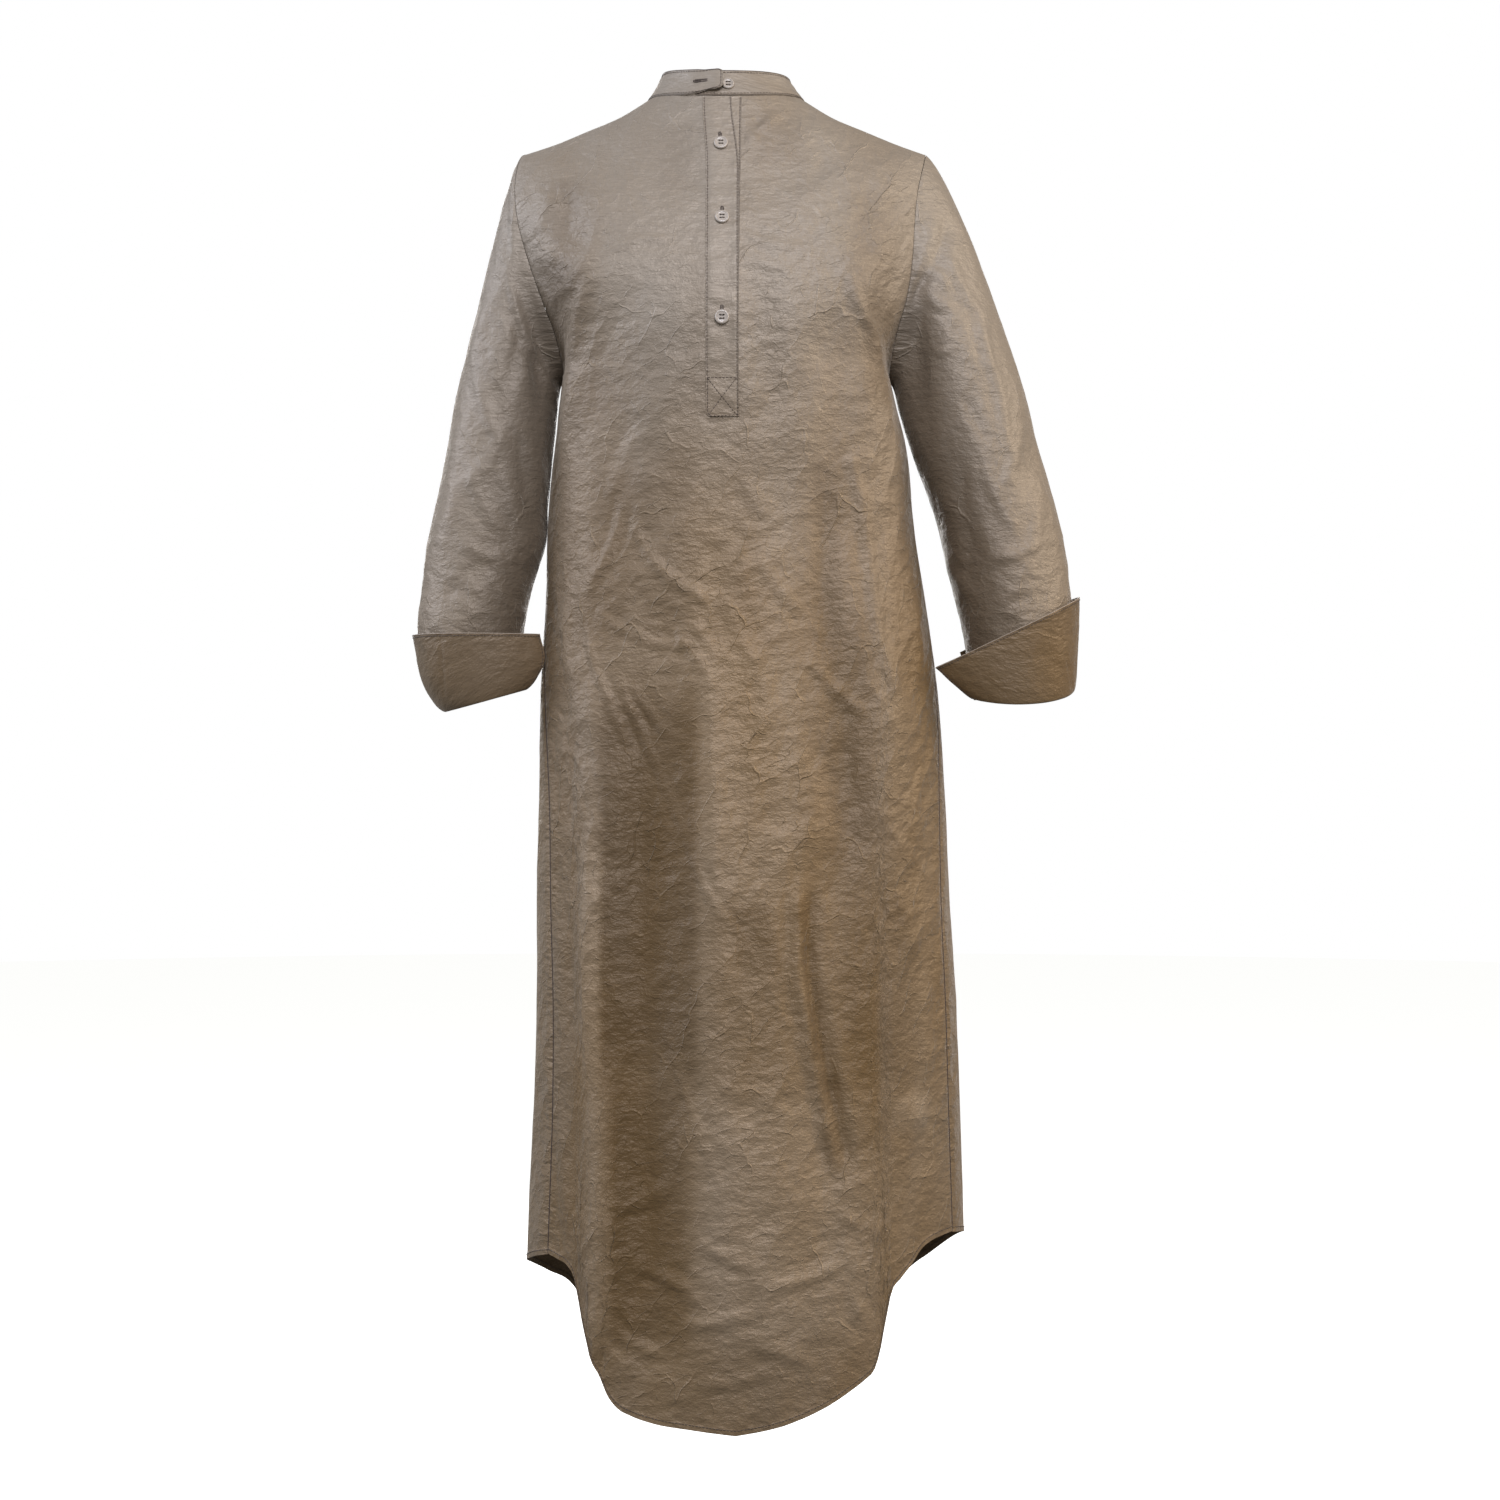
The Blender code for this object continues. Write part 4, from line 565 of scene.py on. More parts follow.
# Fields of the weave: width and height of a patch in mm, octaves and roughness of its noise.
# Weft slubs are about 16 mm long and 0.4 mm thick: drawn 1.5 mm thick so that they show.
# Weft and warp threads lie 0.25 mm apart: drawn at 1.1 mm as a faint grain.
# Drift of the two dyed tones: long lengthwise bands about 120 mm wide.
WEAVE_FIELDS = (
    ("slub", 16.0, 1.5, 3.0, 0.6),
    ("thick", 34.0, 2.3, 1.0, 0.5),
    ("weft", 5.0, 1.1, 2.0, 0.5),
    ("warp", 1.1, 9.0, 1.0, 0.5),
    ("hammer", 12.0, 8.5, 4.0, 0.66),
    # Painted glints: short level dashes where the colour is painted brighter over the crinkles.
    ("painted_glint", 13.0, 2.6, 2.0, 0.5),
    ("drift", 120.0, 420.0, 2.0, 0.5),
    ("patch", 150.0, 190.0, 1.0, 0.5),
    ("pleats", 15.0, 5.0, 2.0, 0.5),
)
# Crumples are small flat facets that meet in sharp creases: width, height and turn of the cells.
CRUMPLE_CELLS = (("crumple", 34.0, 58.0, 0.55), ("fine", 22.0, 12.0, -0.25))
CELL_WANDER = (1.3, 1.1, 0.0)

# Studio, in metres: height of the floor, distance, width and centre of the view.
FLOOR = -1.42
VIEW_DISTANCE = 2.5
VIEW_WIDTH = 1.35
VIEW_CENTRE = (0.018, -0.581)
# Power of the left light against the right one, and of the back light against the front one.
LEFT_SHARE = 1.15
BACK_SHARE = 0.8


def linear(code):
    """Linear colour of an sRGB hex value."""
    parts = [int(code[k : k + 2], 16) / 255 for k in (0, 2, 4)]
    return tuple(p / 12.92 if p <= 0.04045 else ((p + 0.055) / 1.055) ** 2.4 for p in parts)


def opaque(colour):
    """A colour as colour sockets take it."""
    return (*colour, 1.0)


def new_material(name):
    """Node material with its Principled shader, ready for nodes."""
    material = bpy.data.materials.new(name)
    material.use_nodes = True
    return material, material.node_tree.nodes["Principled BSDF"]


def add(owner, kind, inputs, output, **settings):
    """Add one node with its settings; each input is a value or a socket linked into it."""
    node = owner.node_tree.nodes.new("ShaderNode" + kind)
    for key, value in settings.items():
        setattr(node, key, value)
    for key, value in inputs.items():
        if isinstance(value, bpy.types.NodeSocket):
            owner.node_tree.links.new(value, node.inputs[key])
        else:
            node.inputs[key].default_value = value
    return node.outputs[output]


def mixed(owner, share, low, high):
    """Colour between two colours."""
    inputs = {"Factor": share, "A": opaque(low), "B": opaque(high)}
    return add(owner, "Mix", inputs, "Result", data_type="RGBA")


def shantung_silk(name, cool, warm, shade, crisp=0.0):
    """Shantung: plain-woven silk with slubbed weft, dyed yarns of two tones, ironed and then worn.

    The eye sees fine level streaks where thick weft slubs lie, a soft sheen that runs over each
    fold, a tone that drifts from grey mauve to golden brown, and small sharp crumples. Light and
    shade are painted into the colour too: shade and sheen bands over the folds, highlights on the
    crease lines, glints on the crinkles, and a cooler top with warmer lower and right parts.
    crisp: share by which faced layers such as collar and placket crumple less.
    """
    look = bpy.context.scene.dress_cloth
    material, shader = new_material(name)
    link = material.node_tree.links.new
    node = functools.partial(add, material)

    def times(value, factor):
        return node("Math", {0: value, 1: factor}, "Value", operation="MULTIPLY")

    def plus(value, factor, more, clamp=False):
        inputs = {0: value, 1: factor, 2: more}
        return node("Math", inputs, "Value", operation="MULTIPLY_ADD", use_clamp=clamp)

    def ramp(value, start, end, low, high, kind="LINEAR"):
        inputs = {"Value": value, "From Min": start, "From Max": end, "To Min": low, "To Max": high}
        return node("MapRange", inputs, "Result", interpolation_type=kind)

    def scaled(vector, width, height):
        inputs = {0: vector, 1: (1 / width, 1 / height, 1.0)}
        return node("VectorMath", inputs, "Vector", operation="MULTIPLY")

    def noise(vector, scale, octaves, rough=0.5, output="Fac"):
        inputs = {"Vector": vector, "Scale": scale, "Detail": octaves, "Roughness": rough}
        return node("TexNoise", inputs, output)

    def axis(vector, letter):
        return node("SeparateXYZ", {"Vector": vector}, letter)

    weave = node("Attribute", {}, "Vector", attribute_name="weave")
    detail = node("Attribute", {}, "Vector", attribute_name="detail")
    # Painted shading from the mesh: painted shade and sheen bands of the folds, and painted shade
    # of the sleeves' inner sides and of the cuffs.
    painted_shading = node("Attribute", {}, "Fac", attribute_name="tone")
    place = node("TexCoord", {}, "Object")
    fields = {k: noise(scaled(weave, w, h), 1.0, n, rough) for k, w, h, n, rough in WEAVE_FIELDS}
    for key, width, height, turn in CRUMPLE_CELLS:
        turned = node("Mapping", {"Vector": weave, "Rotation": (0.0, 0.0, turn)}, "Vector")
        cells = scaled(turned, width, height)
        wander = {0: noise(cells, 0.9, 2.0, output="Color"), 1: CELL_WANDER, 2: cells}
        bent = node("VectorMath", wander, "Vector", operation="MULTIPLY_ADD")
        inputs = {"Vector": bent, "Scale": 1.0, "Randomness": 1.0}
        flat = {"voronoi_dimensions": "2D"}
        fields[key] = node("TexVoronoi", inputs, "Distance", **flat)
        border = node("TexVoronoi", inputs, "Distance", **flat, feature="DISTANCE_TO_EDGE")
        line = ramp(border, 0.0, CREASE_LINE / width, 1.0, 0.0, "SMOOTHERSTEP")
        some = ramp(noise(cells, 1.3, 1.0), 0.5, 0.62, 0.0, 1.0, "SMOOTHSTEP")
        fields[key + " line"] = times(line, some)
    # Where the cloth has been sat on it is crumpled, and elsewhere flatter: patches of 150 mm.
    worn = ramp(fields["patch"], 0.4, 0.6, 0.55, 1.0, "SMOOTHSTEP")
    crinkle, pucker = times(axis(detail, "Y"), worn), axis(detail, "Z")
    # The cool tone shows at the shoulders and the warm one below, over 0.44 m.
    # Painted light: the colour is painted cooler at the shoulders, where light from above falls,
    # and warmer below, over 0.44 m; a random drift of the two dyed tones is added.
    down = ramp(axis(place, "Z"), -0.08, -0.52, 0.08, 0.72, "SMOOTHSTEP")
    tone = plus(down, 1.0, plus(fields["drift"], 0.9, -0.4), clamp=True)
    # Painted light: the right side is painted warmer, as under the warm light from that side; the
    # painted sheen bands are painted greyer and the painted shade bands warmer.
    warmth = plus(painted_shading, -0.55, plus(axis(place, "X"), 0.35, tone), clamp=True)
    ground = mixed(material, warmth, cool, warm)
    value = ramp(fields["slub"], 0.3, 0.7, 1 - look.slub_contrast, 1 + look.slub_contrast)
    # Threads, thick slubs, the inside, painted highlights on the crease lines, painted level glints
    # on the crinkles, and the painted bands of shade and sheen.
    for factor in (
        ramp(fields["weft"], 0.3, 0.7, 0.95, 1.05),
        ramp(fields["thick"], 0.62, 0.76, 1.0, 1.14, "SMOOTHSTEP"),
        ramp(axis(weave, "Z"), 0.0, 1.0, 1.0, shade),
        ramp(times(fields["crumple line"], crinkle), 0.0, 1.0, 1.0, 1.18),
        ramp(fields["painted_glint"], 0.66, 0.74, 1.0, 1.22, "SMOOTHSTEP"),
        ramp(painted_shading, -0.5, 0.5, 0.5, 1.5),
    ):
        value = times(value, factor)
    dyed = node("VectorMath", {0: ground, "Scale": value}, "Vector", operation="SCALE")
    link(dyed, shader.inputs["Base Color"])
    gloss = ramp(fields["slub"], 0.3, 0.7, look.roughness + 0.07, look.roughness - 0.07)
    link(gloss, shader.inputs["Roughness"])
    shader.inputs["Sheen Weight"].default_value = look.sheen
    shader.inputs["Sheen Roughness"].default_value = 0.35
    shader.inputs["Sheen Tint"].default_value = opaque(linear("FFF0DC"))
    shader.inputs["Specular IOR Level"].default_value = 0.5
    shader.inputs["Metallic"].default_value = 0.15
    normal = None
    # Strength, height in mm, field and what weighs it.
    for strength, distance, key, weight in (
        (1.0 - 0.6 * crisp, 3.4, "crumple", crinkle),
        (1.0 - 0.6 * crisp, 0.6, "crumple line", crinkle),
        (1.0 - 0.5 * crisp, 1.0, "fine", crinkle),
        (1.0 - 0.5 * crisp, 0.3, "fine line", crinkle),
        (1.0 - 0.4 * crisp, 2.3, "hammer", None),
        (1.0, 2.4, "pleats", pucker),
        (0.8, 0.2, "slub", None),
        (0.5, 0.08, "warp", None),
    ):
        height = times(fields[key], weight) if weight else fields[key]
        inputs = {"Strength": strength, "Distance": distance * MM, "Height": height}
        if normal:
            inputs["Normal"] = normal
        normal = node("Bump", inputs, "Normal")
    link(normal, shader.inputs["Normal"])
    material.diffuse_color = opaque(cool)
    return material


def pearl_shell(name, colour, vein):
    """Trochus shell: turned and polished. It gives a pale grey beige, soft clouds, clear gloss."""
    material, shader = new_material(name)
    link = material.node_tree.links.new
    place = add(material, "TexCoord", {}, "Object")
    inputs = {"Vector": place, "Scale": 160.0, "Detail": 3.0, "Roughness": 0.5, "Distortion": 1.2}
    clouds = add(material, "TexNoise", inputs, "Fac")
    link(mixed(material, clouds, vein, colour), shader.inputs["Base Color"])
    shader.inputs["Roughness"].default_value = 0.24
    shader.inputs["IOR"].default_value = 1.53
    shader.inputs["Coat Weight"].default_value = 0.25
    shader.inputs["Coat Roughness"].default_value = 0.12
    inputs = {"Strength": 0.3, "Distance": 0.08 * MM, "Height": clouds}
    link(add(material, "Bump", inputs, "Normal"), shader.inputs["Normal"])
    return material


def spun_thread(name, colour):
    """Polyester sewing thread: two plies twisted. It gives a fine ribbed line, duller than silk."""
    material, shader = new_material(name)
    place = add(material, "TexCoord", {}, "Object")
    plies = add(material, "TexNoise", {"Vector": place, "Scale": 900.0, "Detail": 1.0}, "Fac")
    dark, light = [c * 0.8 for c in colour], [min(1, c * 1.2) for c in colour]
    tinted = mixed(material, plies, dark, light)
    material.node_tree.links.new(tinted, shader.inputs["Base Color"])
    shader.inputs["Roughness"].default_value = 0.6
    shader.inputs["Sheen Weight"].default_value = 0.2
    return material


def painted_floor(name, colour):
    """Matt emulsion, rolled on lit opal glass. It gives a plain pale ground, no gloss or shadow."""
    material, shader = new_material(name)
    shader.inputs["Base Color"].default_value = opaque(colour)
    shader.inputs["Roughness"].default_value = 0.9
    shader.inputs["Specular IOR Level"].default_value = 0.1
    shader.inputs["Emission Color"].default_value = opaque(colour)
    shader.inputs["Emission Strength"].default_value = 0.85
    return material


def silk(part):
    """The silk of one kind of piece, made once: body, sleeve or faced."""
    name = "shantung_silk_" + part
    found = bpy.data.materials.get(name)
    if found:
        return found
    look = bpy.context.scene.dress_cloth
    cool, warm = tuple(look.cool), tuple(look.warm)
    if part == "sleeve":
        warm = tuple((c + w) / 2 for c, w in zip(cool, warm))
    return shantung_silk(name, cool, warm, look.inside, 0.6 if part == "faced" else 0.0)


def hermite(t, start, end, leave, arrive):
    """Smooth curve between two values, with its slopes at both."""
    between = (2 * t**3 - 3 * t**2 + 1) * start + (3 * t**2 - 2 * t**3) * end
    return between + (t**3 - 2 * t**2 + t) * leave + (t**3 - t**2) * arrive


def spline(knots, values, at):
    """Smooth curve through a column of a table, read at the given places."""
    knots = np.asarray(knots, float)
    values = np.asarray(values, float)
    slopes = np.gradient(values, knots)
    at = np.clip(np.asarray(at, float), knots[0], knots[-1])
    i = np.clip(np.searchsorted(knots, at, side="right") - 1, 0, len(knots) - 2)
    step = knots[i + 1] - knots[i]
    t = (at - knots[i]) / step
    return hermite(t, values[i], values[i + 1], step * slopes[i], step * slopes[i + 1])


def column(table, key, name, at):
    """One named column of a table, read smoothly along the column key."""
    return spline([getattr(row, key) for row in table], [getattr(row, name) for row in table], at)


def columns(table, key, names, at):
    """Several named columns of a table, each read smoothly along the column key."""
    return [column(table, key, name, at) for name in names]


def ease(low, high, value):
    """Smooth step from 0 at low to 1 at high."""
    t = np.clip((value - low) / (high - low), 0.0, 1.0)
    return t * t * (3 - 2 * t)


def power(value, exponent):
    """A power that keeps the sign, for the ovals."""
    return np.sign(value) * np.abs(value) ** exponent


def bell(off, width):
    """Rounded crest: 1 on its line and about a third of that at its half width."""
    return np.exp(-((off / width) ** 2))


def unit(vectors):
    """Vectors along the last axis, made one long."""
    return vectors / np.linalg.norm(vectors, axis=-1, keepdims=True)


def read_line(at, run, values):
    """Points or normals of a line, read where its length from the start is at."""
    return np.stack([np.interp(at, run, values[:, k]) for k in range(3)], axis=-1)


def along_line(line, x, z):
    """Share of the way along a line of a table, and the distance in mm beside it."""
    along_x, along_z = line.end_x - line.top_x, line.end_z - line.top_z
    length = math.hypot(along_x, along_z)
    t = ((x - line.top_x) * along_x + (z - line.top_z) * along_z) / length**2
    return t, ((x - line.top_x) * along_z - (z - line.top_z) * along_x) / length


def armhole_edge(stage, side, back):
    """Point of the armhole edge at a stage between underarm and tip, as x, y, z columns."""
    around = len(ARMHOLE)
    knots = np.arange(-2, around + 3)
    rows = [ARMHOLE[k % around] for k in knots]
    at = TIP_INDEX * (np.asarray(stage, float) - UNDERARM)
    at = around - at if back else at
    names = (side, "depth", "height")
    return [spline(knots, [getattr(row, name) for row in rows], at) for name in names]


def row_ends(stage, side, back):
    """End of the row at each stage above the underarm: armhole edge, then shoulder seam."""
    stage = np.asarray(stage, float)
    low = armhole_edge(np.clip(stage, UNDERARM, TIP), side, back)
    high = columns(SHOULDER, "stage", (side, "depth", "height"), stage)
    return [np.where(stage > TIP, h, l) for h, l in zip(high, low)]


def ring_point(height, angle):
    """Point of the body section at a height, angle in degrees from centre front."""
    turned = np.radians(angle)
    names = ("left", "right", "centre", "round", "front", "back")
    left, right, centre, roundness, front, behind = columns(RINGS, "height", names, height)
    share = 2.0 / roundness
    reach = np.where(turned < 0, centre - left, right - centre)
    depth = np.where(np.abs(turned) > math.pi / 2, behind, front)
    x = centre + reach * power(np.sin(turned), share)
    y = -depth * power(np.cos(turned), share)
    return x, y


def hem_height(share, side, back):
    """Height of the hem at a share of the way from centre to side seam."""
    left, right = (BACK_HEM_LEFT, BACK_HEM_RIGHT) if back else (FRONT_HEM_LEFT, FRONT_HEM_RIGHT)
    return column(left if side == "left" else right, "share", "height", share)


def skirt_row(stage, side, back):
    """Dense curve of one row below the underarm, from centre to side seam."""
    way = np.linspace(0.0, 1.0, DENSE)
    sign = -1.0 if side == "left" else 1.0
    start = 180.0 if back else 0.0
    height = np.full(DENSE, UNDERARM_HEIGHT + (1 - stage) * (MIDDLE_HEM - UNDERARM_HEIGHT))
    for _ in range(2):
        seam = column(RINGS, "height", "seam_" + side, height)
        x, y = ring_point(height, sign * (start + (seam - start) * way))
        steps = np.hypot(np.diff(x), np.diff(y))
        share = np.concatenate([[0.0], np.cumsum(steps)]) / steps.sum()
        hem = hem_height(share, side, back)
        height = hem + (UNDERARM_HEIGHT - hem) * stage
    seam = column(RINGS, "height", "seam_" + side, height)
    x, y = ring_point(height, sign * (start + (seam - start) * way))
    return x, y, height


def chest_row(stage, side, back):
    """Dense curve of one row above the underarm, from centre to armhole or shoulder seam."""
    table = CHEST_BACK if back else CHEST_FRONT
    end_x, end_y, end_z = row_ends(stage, side, back)
    names = ("depth", "height", "round", "turn", "fall")
    depth, middle, roundness, turn, fall = columns(table, "stage", names, stage)
    turn, fall = 2.0 * turn, 2.0 * fall
    ridge = column(SHOULDER, "stage", "depth", stage)
    cut = max(0.0, float((end_y - ridge) / (depth - ridge)))
    last = math.acos(cut ** (1.0 / turn))
    turned = np.linspace(0.0, last, DENSE)
    across = (np.sin(turned) / math.sin(last)) ** (2.0 / roundness)
    falling = (np.cos(turned) ** fall - math.cos(last) ** fall) / (1 - math.cos(last) ** fall)
    x = CHEST_CENTRE + (end_x - CHEST_CENTRE) * across
    y = ridge + (depth - ridge) * np.cos(turned) ** turn
    return x, y, end_z + (middle - end_z) * falling


def half_row(stage, side, back, shares):
    """Points of half a row at shares of its length from centre to edge."""
    below = stage < UNDERARM
    x, y, z = (skirt_row if below else chest_row)(stage, side, back)
    steps = np.diff([x, y, z])
    steps = np.hypot(*steps[:2]) if below else np.linalg.norm(steps, axis=0)
    length = np.concatenate([[0.0], np.cumsum(steps)])
    shares = np.asarray(shares(length[-1]), float)
    at = shares * length[-1]
    return np.stack([np.interp(at, length, values) for values in (x, y, z)], axis=-1)


def fold_rise(folds, x, z):
    """Sum of the soft folds at places of a panel seen from the front."""
    total = np.zeros_like(x)
    for fold in folds:
        t, off = along_line(fold, x, z)
        lasts = ease(*FOLD_BEGINS, t) * (1 - ease(*FOLD_ENDS, t))
        total += fold.rise * lasts * bell(off, fold.half_width)
    return total


def grid_normals(grid):
    """Unit normals of a grid of points, rows upward and columns from left to right."""
    return unit(np.cross(np.gradient(grid, axis=1), np.gradient(grid, axis=0)))


def stages():
    """Stages of all rows of the panels, from hem to neck."""
    even_rows = SKIRT_ROWS - PLACKET_END_ROW + 2 - len(HEM_ROWS)
    low = np.linspace(HEM_ROWS[-1], PLACKET_STAGE, even_rows)
    high = np.linspace(PLACKET_STAGE, UNDERARM, PLACKET_END_ROW + 1)[1:-1]
    arm = np.linspace(UNDERARM, TIP, ARMHOLE_ROWS, endpoint=False)
    shoulder = np.linspace(TIP, NECK, SHOULDER_ROWS + 1)
    return np.concatenate([HEM_ROWS[:-1], low, high, arm, shoulder])


def front_shares(length):
    """Columns of half the front: the placket edge first, then even steps to the seam."""
    edge = PLACKET_RIGHT / length
    outer = np.linspace(edge, 1.0, FRONT_COLUMNS - 3)
    return np.concatenate([[0.0, edge / 4, edge / 2, edge * 0.75], outer])


def back_shares(_length):
    """Columns of half the back, even steps from centre to seam."""
    return np.linspace(0.0, 1.0, BACK_COLUMNS + 1)


def panel_grid(back):
    """Mid-surface of a panel with its folds, as rows from hem to neck, left to right as worn."""
    shares = back_shares if back else front_shares
    rows = []
    for stage in stages():
        left, right = [half_row(stage, side, back, shares) for side in ("left", "right")]
        rows.append(np.concatenate([left[::-1], right[1:]]))
    grid = np.array(rows)
    if back:
        grid = grid[:, ::-1]
    normal = grid_normals(grid)
    edge = np.linspace(-1.0, 1.0, grid.shape[1])
    inside = 1 - ease(0.80, 1.0, np.abs(edge))
    top = 1 - ease(1.7, 2.3, stages())
    folds = BACK_FOLDS if back else FRONT_FOLDS
    rise = fold_rise(folds, grid[..., 0], grid[..., 2]) * inside[None, :] * top[:, None]
    if not back:
        beside = np.abs(grid[..., 0] - CHEST_CENTRE)
        flat = (1 - ease(*FLAT_BESIDE_PLACKET, beside)) * (grid[..., 2] > FLAT_DOWN_TO)
        rise = rise * (1 - flat)
    return grid + normal * rise[..., None]


def draw_in(grid):
    """A panel with its two side edges moved inward by half a seam gap."""
    drawn = grid.copy()
    for edge, inner in ((0, 1), (-1, -2)):
        drawn[:, edge] += unit(grid[:, inner] - grid[:, edge]) * SEAM_GAP / 2
    return drawn


def leave_direction(angle, side):
    """How the sleeve leaves the armhole at an angle round it, as a vector in mm."""
    tip = LEFT_CAP_TIP if side == "left" else RIGHT_CAP_TIP
    corners = (CAP_UNDERARM, CAP_FRONT, tip, CAP_BACK, CAP_UNDERARM)
    knots = np.arange(5) * 90.0
    read = {n: np.interp(angle, knots, [getattr(c, n) for c in corners]) for n in CapLeave._fields}
    sign = -1.0 if side == "left" else 1.0
    leave = unit(np.stack([sign * read["outward"], -read["forward"], read["rise"]], axis=-1))
    return leave, read["reach"][:, None], read["arrive"][:, None]


def sleeve_ring(table, height, angle, side):
    """Point of a sleeve section: angle 0 faces the body, 90 the front."""
    x, y, half_width, half_depth = columns(table[::-1], "height", SleeveRing._fields[1:], height)
    sign = 1.0 if side == "left" else -1.0
    turned = np.radians(angle)
    x = x + sign * half_width * np.cos(turned)
    return np.stack([x, y - half_depth * np.sin(turned), height + 0 * x], axis=-1)


def sleeve_grid(side, loop):
    """Mid-surface of a sleeve from the armhole loop down to its end, one row per ring."""
    left = side == "left"
    table = LEFT_SLEEVE if left else RIGHT_SLEEVE
    folds = LEFT_SLEEVE_FOLDS if left else RIGHT_SLEEVE_FOLDS
    angle = np.arange(len(loop)) * 360.0 / len(loop)
    leave, reach, arrive = leave_direction(angle, side)
    top, end = float(table[0].height), table[-1].height
    heights = [np.full(len(loop), z) for z in (top, top - 1.0)]
    biceps, below = [sleeve_ring(table, height, angle, side) for height in heights]
    down = unit(below - biceps)
    start = loop + leave * (SEAM_GAP + PANEL_CLOTH * 0.95)
    rows = []
    for t in np.linspace(0.0, 1.0, CAP_ROWS, endpoint=False):
        rows.append(hermite(t, start, biceps, leave * reach, down * arrive))
    for height in np.linspace(top, end, ARM_ROWS):
        rows.append(sleeve_ring(table, np.full(len(loop), height), angle, side))
    grid = np.array(rows)
    normal = ring_normals(grid)
    rise = np.zeros(grid.shape[:2])
    for fold in folds:
        t = (fold.top_z - grid[..., 2]) / (fold.top_z - fold.end_z)
        middle = fold.top_angle + (fold.end_angle - fold.top_angle) * np.clip(t, 0.0, 1.0)
        off = (angle[None, :] - middle + 180.0) % 360.0 - 180.0
        lasts = ease(*SLEEVE_FOLD_BEGINS, t) * (1 - ease(*SLEEVE_FOLD_ENDS, t))
        rise += fold.rise * lasts * bell(off, fold.spread)
    cap, arm = np.linspace(0.0, 7.0, CAP_ROWS, endpoint=False), np.linspace(7.0, 15.0, ARM_ROWS)
    along = np.concatenate([cap, arm])[:, None]
    rise *= ease(*SLEEVE_FOLDS_FROM, along) * (1 - ease(*SLEEVE_FOLDS_TO, along))
    return grid + normal * rise[..., None]


def ring_normals(grid):
    """Outward normals of a tube given as closed rings."""
    along = np.roll(grid, -1, axis=1) - np.roll(grid, 1, axis=1)
    normal = unit(np.cross(along, np.gradient(grid, axis=0)))
    row = len(grid) // 2
    return normal if (normal[row] * (grid[row] - grid[row].mean(axis=0))).sum() > 0 else -normal


def neckline(angle):
    """Point of the neck edge at an angle in degrees from centre front, right positive."""
    turned = np.radians(np.asarray(angle, float))
    left, right = SHOULDER[-1].left, SHOULDER[-1].right
    reach = np.where(turned < 0, CHEST_CENTRE - left, right - CHEST_CENTRE)
    front, behind = CHEST_FRONT[-1], CHEST_BACK[-1]
    seam_y, seam_z = SHOULDER[-1].depth, SHOULDER[-1].height
    is_back = np.abs(turned) > math.pi / 2
    depth = np.where(is_back, behind.depth, front.depth)
    middle = np.where(is_back, behind.height, front.height)
    x = CHEST_CENTRE + reach * np.sin(turned)
    y = seam_y + (depth - seam_y) * np.abs(np.cos(turned))
    z = seam_z + (middle - seam_z) * np.abs(np.cos(turned)) ** (2 * front.fall)
    return np.stack([x, y, z], axis=-1)


def collar_path():
    """Turn round the neck from the end on top, by the left and the back, to the end beneath."""
    steps = np.linspace(0.0, 1.0, COLLAR_STEPS + 1)
    left_reach = CHEST_CENTRE - SHOULDER[-1].left
    over = math.degrees(math.asin((COLLAR_OVER_END - CHEST_CENTRE) / left_reach))
    under = 360 - math.degrees(math.asin((COLLAR_UNDER_END - CHEST_CENTRE) / left_reach))
    return -over + steps * (under + over)


def collar_point(turned, share):
    """Mid-surface of the collar: share 0 is the neck seam, 1 the free edge."""
    angle = np.where(turned > 180, 360 - turned, -turned)
    base = neckline(angle)
    side = np.sin(np.radians(angle)) ** 2
    behind = np.abs(angle) > 90
    rise = np.where(behind, COLLAR_RISE_BACK, COLLAR_RISE_FRONT)
    beside = np.where(angle < 0, COLLAR_RISE_LEFT, COLLAR_RISE_RIGHT)
    rise = rise + (beside - rise) * side
    lean = np.where(behind, COLLAR_LEAN_BACK, COLLAR_LEAN_FRONT)
    lean = lean + (COLLAR_LEAN_SIDE - lean) * side
    inward = np.array([CHEST_CENTRE, 0.0, 0.0]) - base
    inward[..., 2] = 0.0
    on_top = turned < 90
    lap = COLLAR_LAP * ease(COLLAR_LAP_START, COLLAR_LAP_START / 2, base[..., 0]) * on_top
    lift = COLLAR_LIFT * ease(*COLLAR_LIFT_OVER, base[..., 0]) * on_top
    out = lap + lift - lean * share * (1.3 - 0.3 * share)
    point = base - unit(inward) * out[..., None]
    point[..., 2] += COLLAR_SEAT + rise * share
    return point


def corner_cut(radius, distance):
    """How far a rounded corner draws an end back at a distance from the edge."""
    inside = max(0.0, radius - distance)
    return radius - math.sqrt(radius**2 - inside**2)


def frame_of(centre, facing):
    """Placement with its Z axis along facing and its X axis level."""
    z = unit(facing)
    x = unit(np.cross(np.array([0.0, 0.0, 1.0]), z))
    placed = np.eye(4)
    placed[:3, 0], placed[:3, 1], placed[:3, 2] = x, np.cross(z, x), z
    placed[:3, 3] = np.asarray(centre) * MM
    return Matrix(placed.tolist())


def link_mesh(name, points, faces):
    """Object in the scene from points in metres and faces."""
    mesh = bpy.data.meshes.new(name)
    mesh.from_pydata(points, [], faces)
    item = bpy.data.objects.new(name, mesh)
    bpy.context.scene.collection.objects.link(item)
    return item


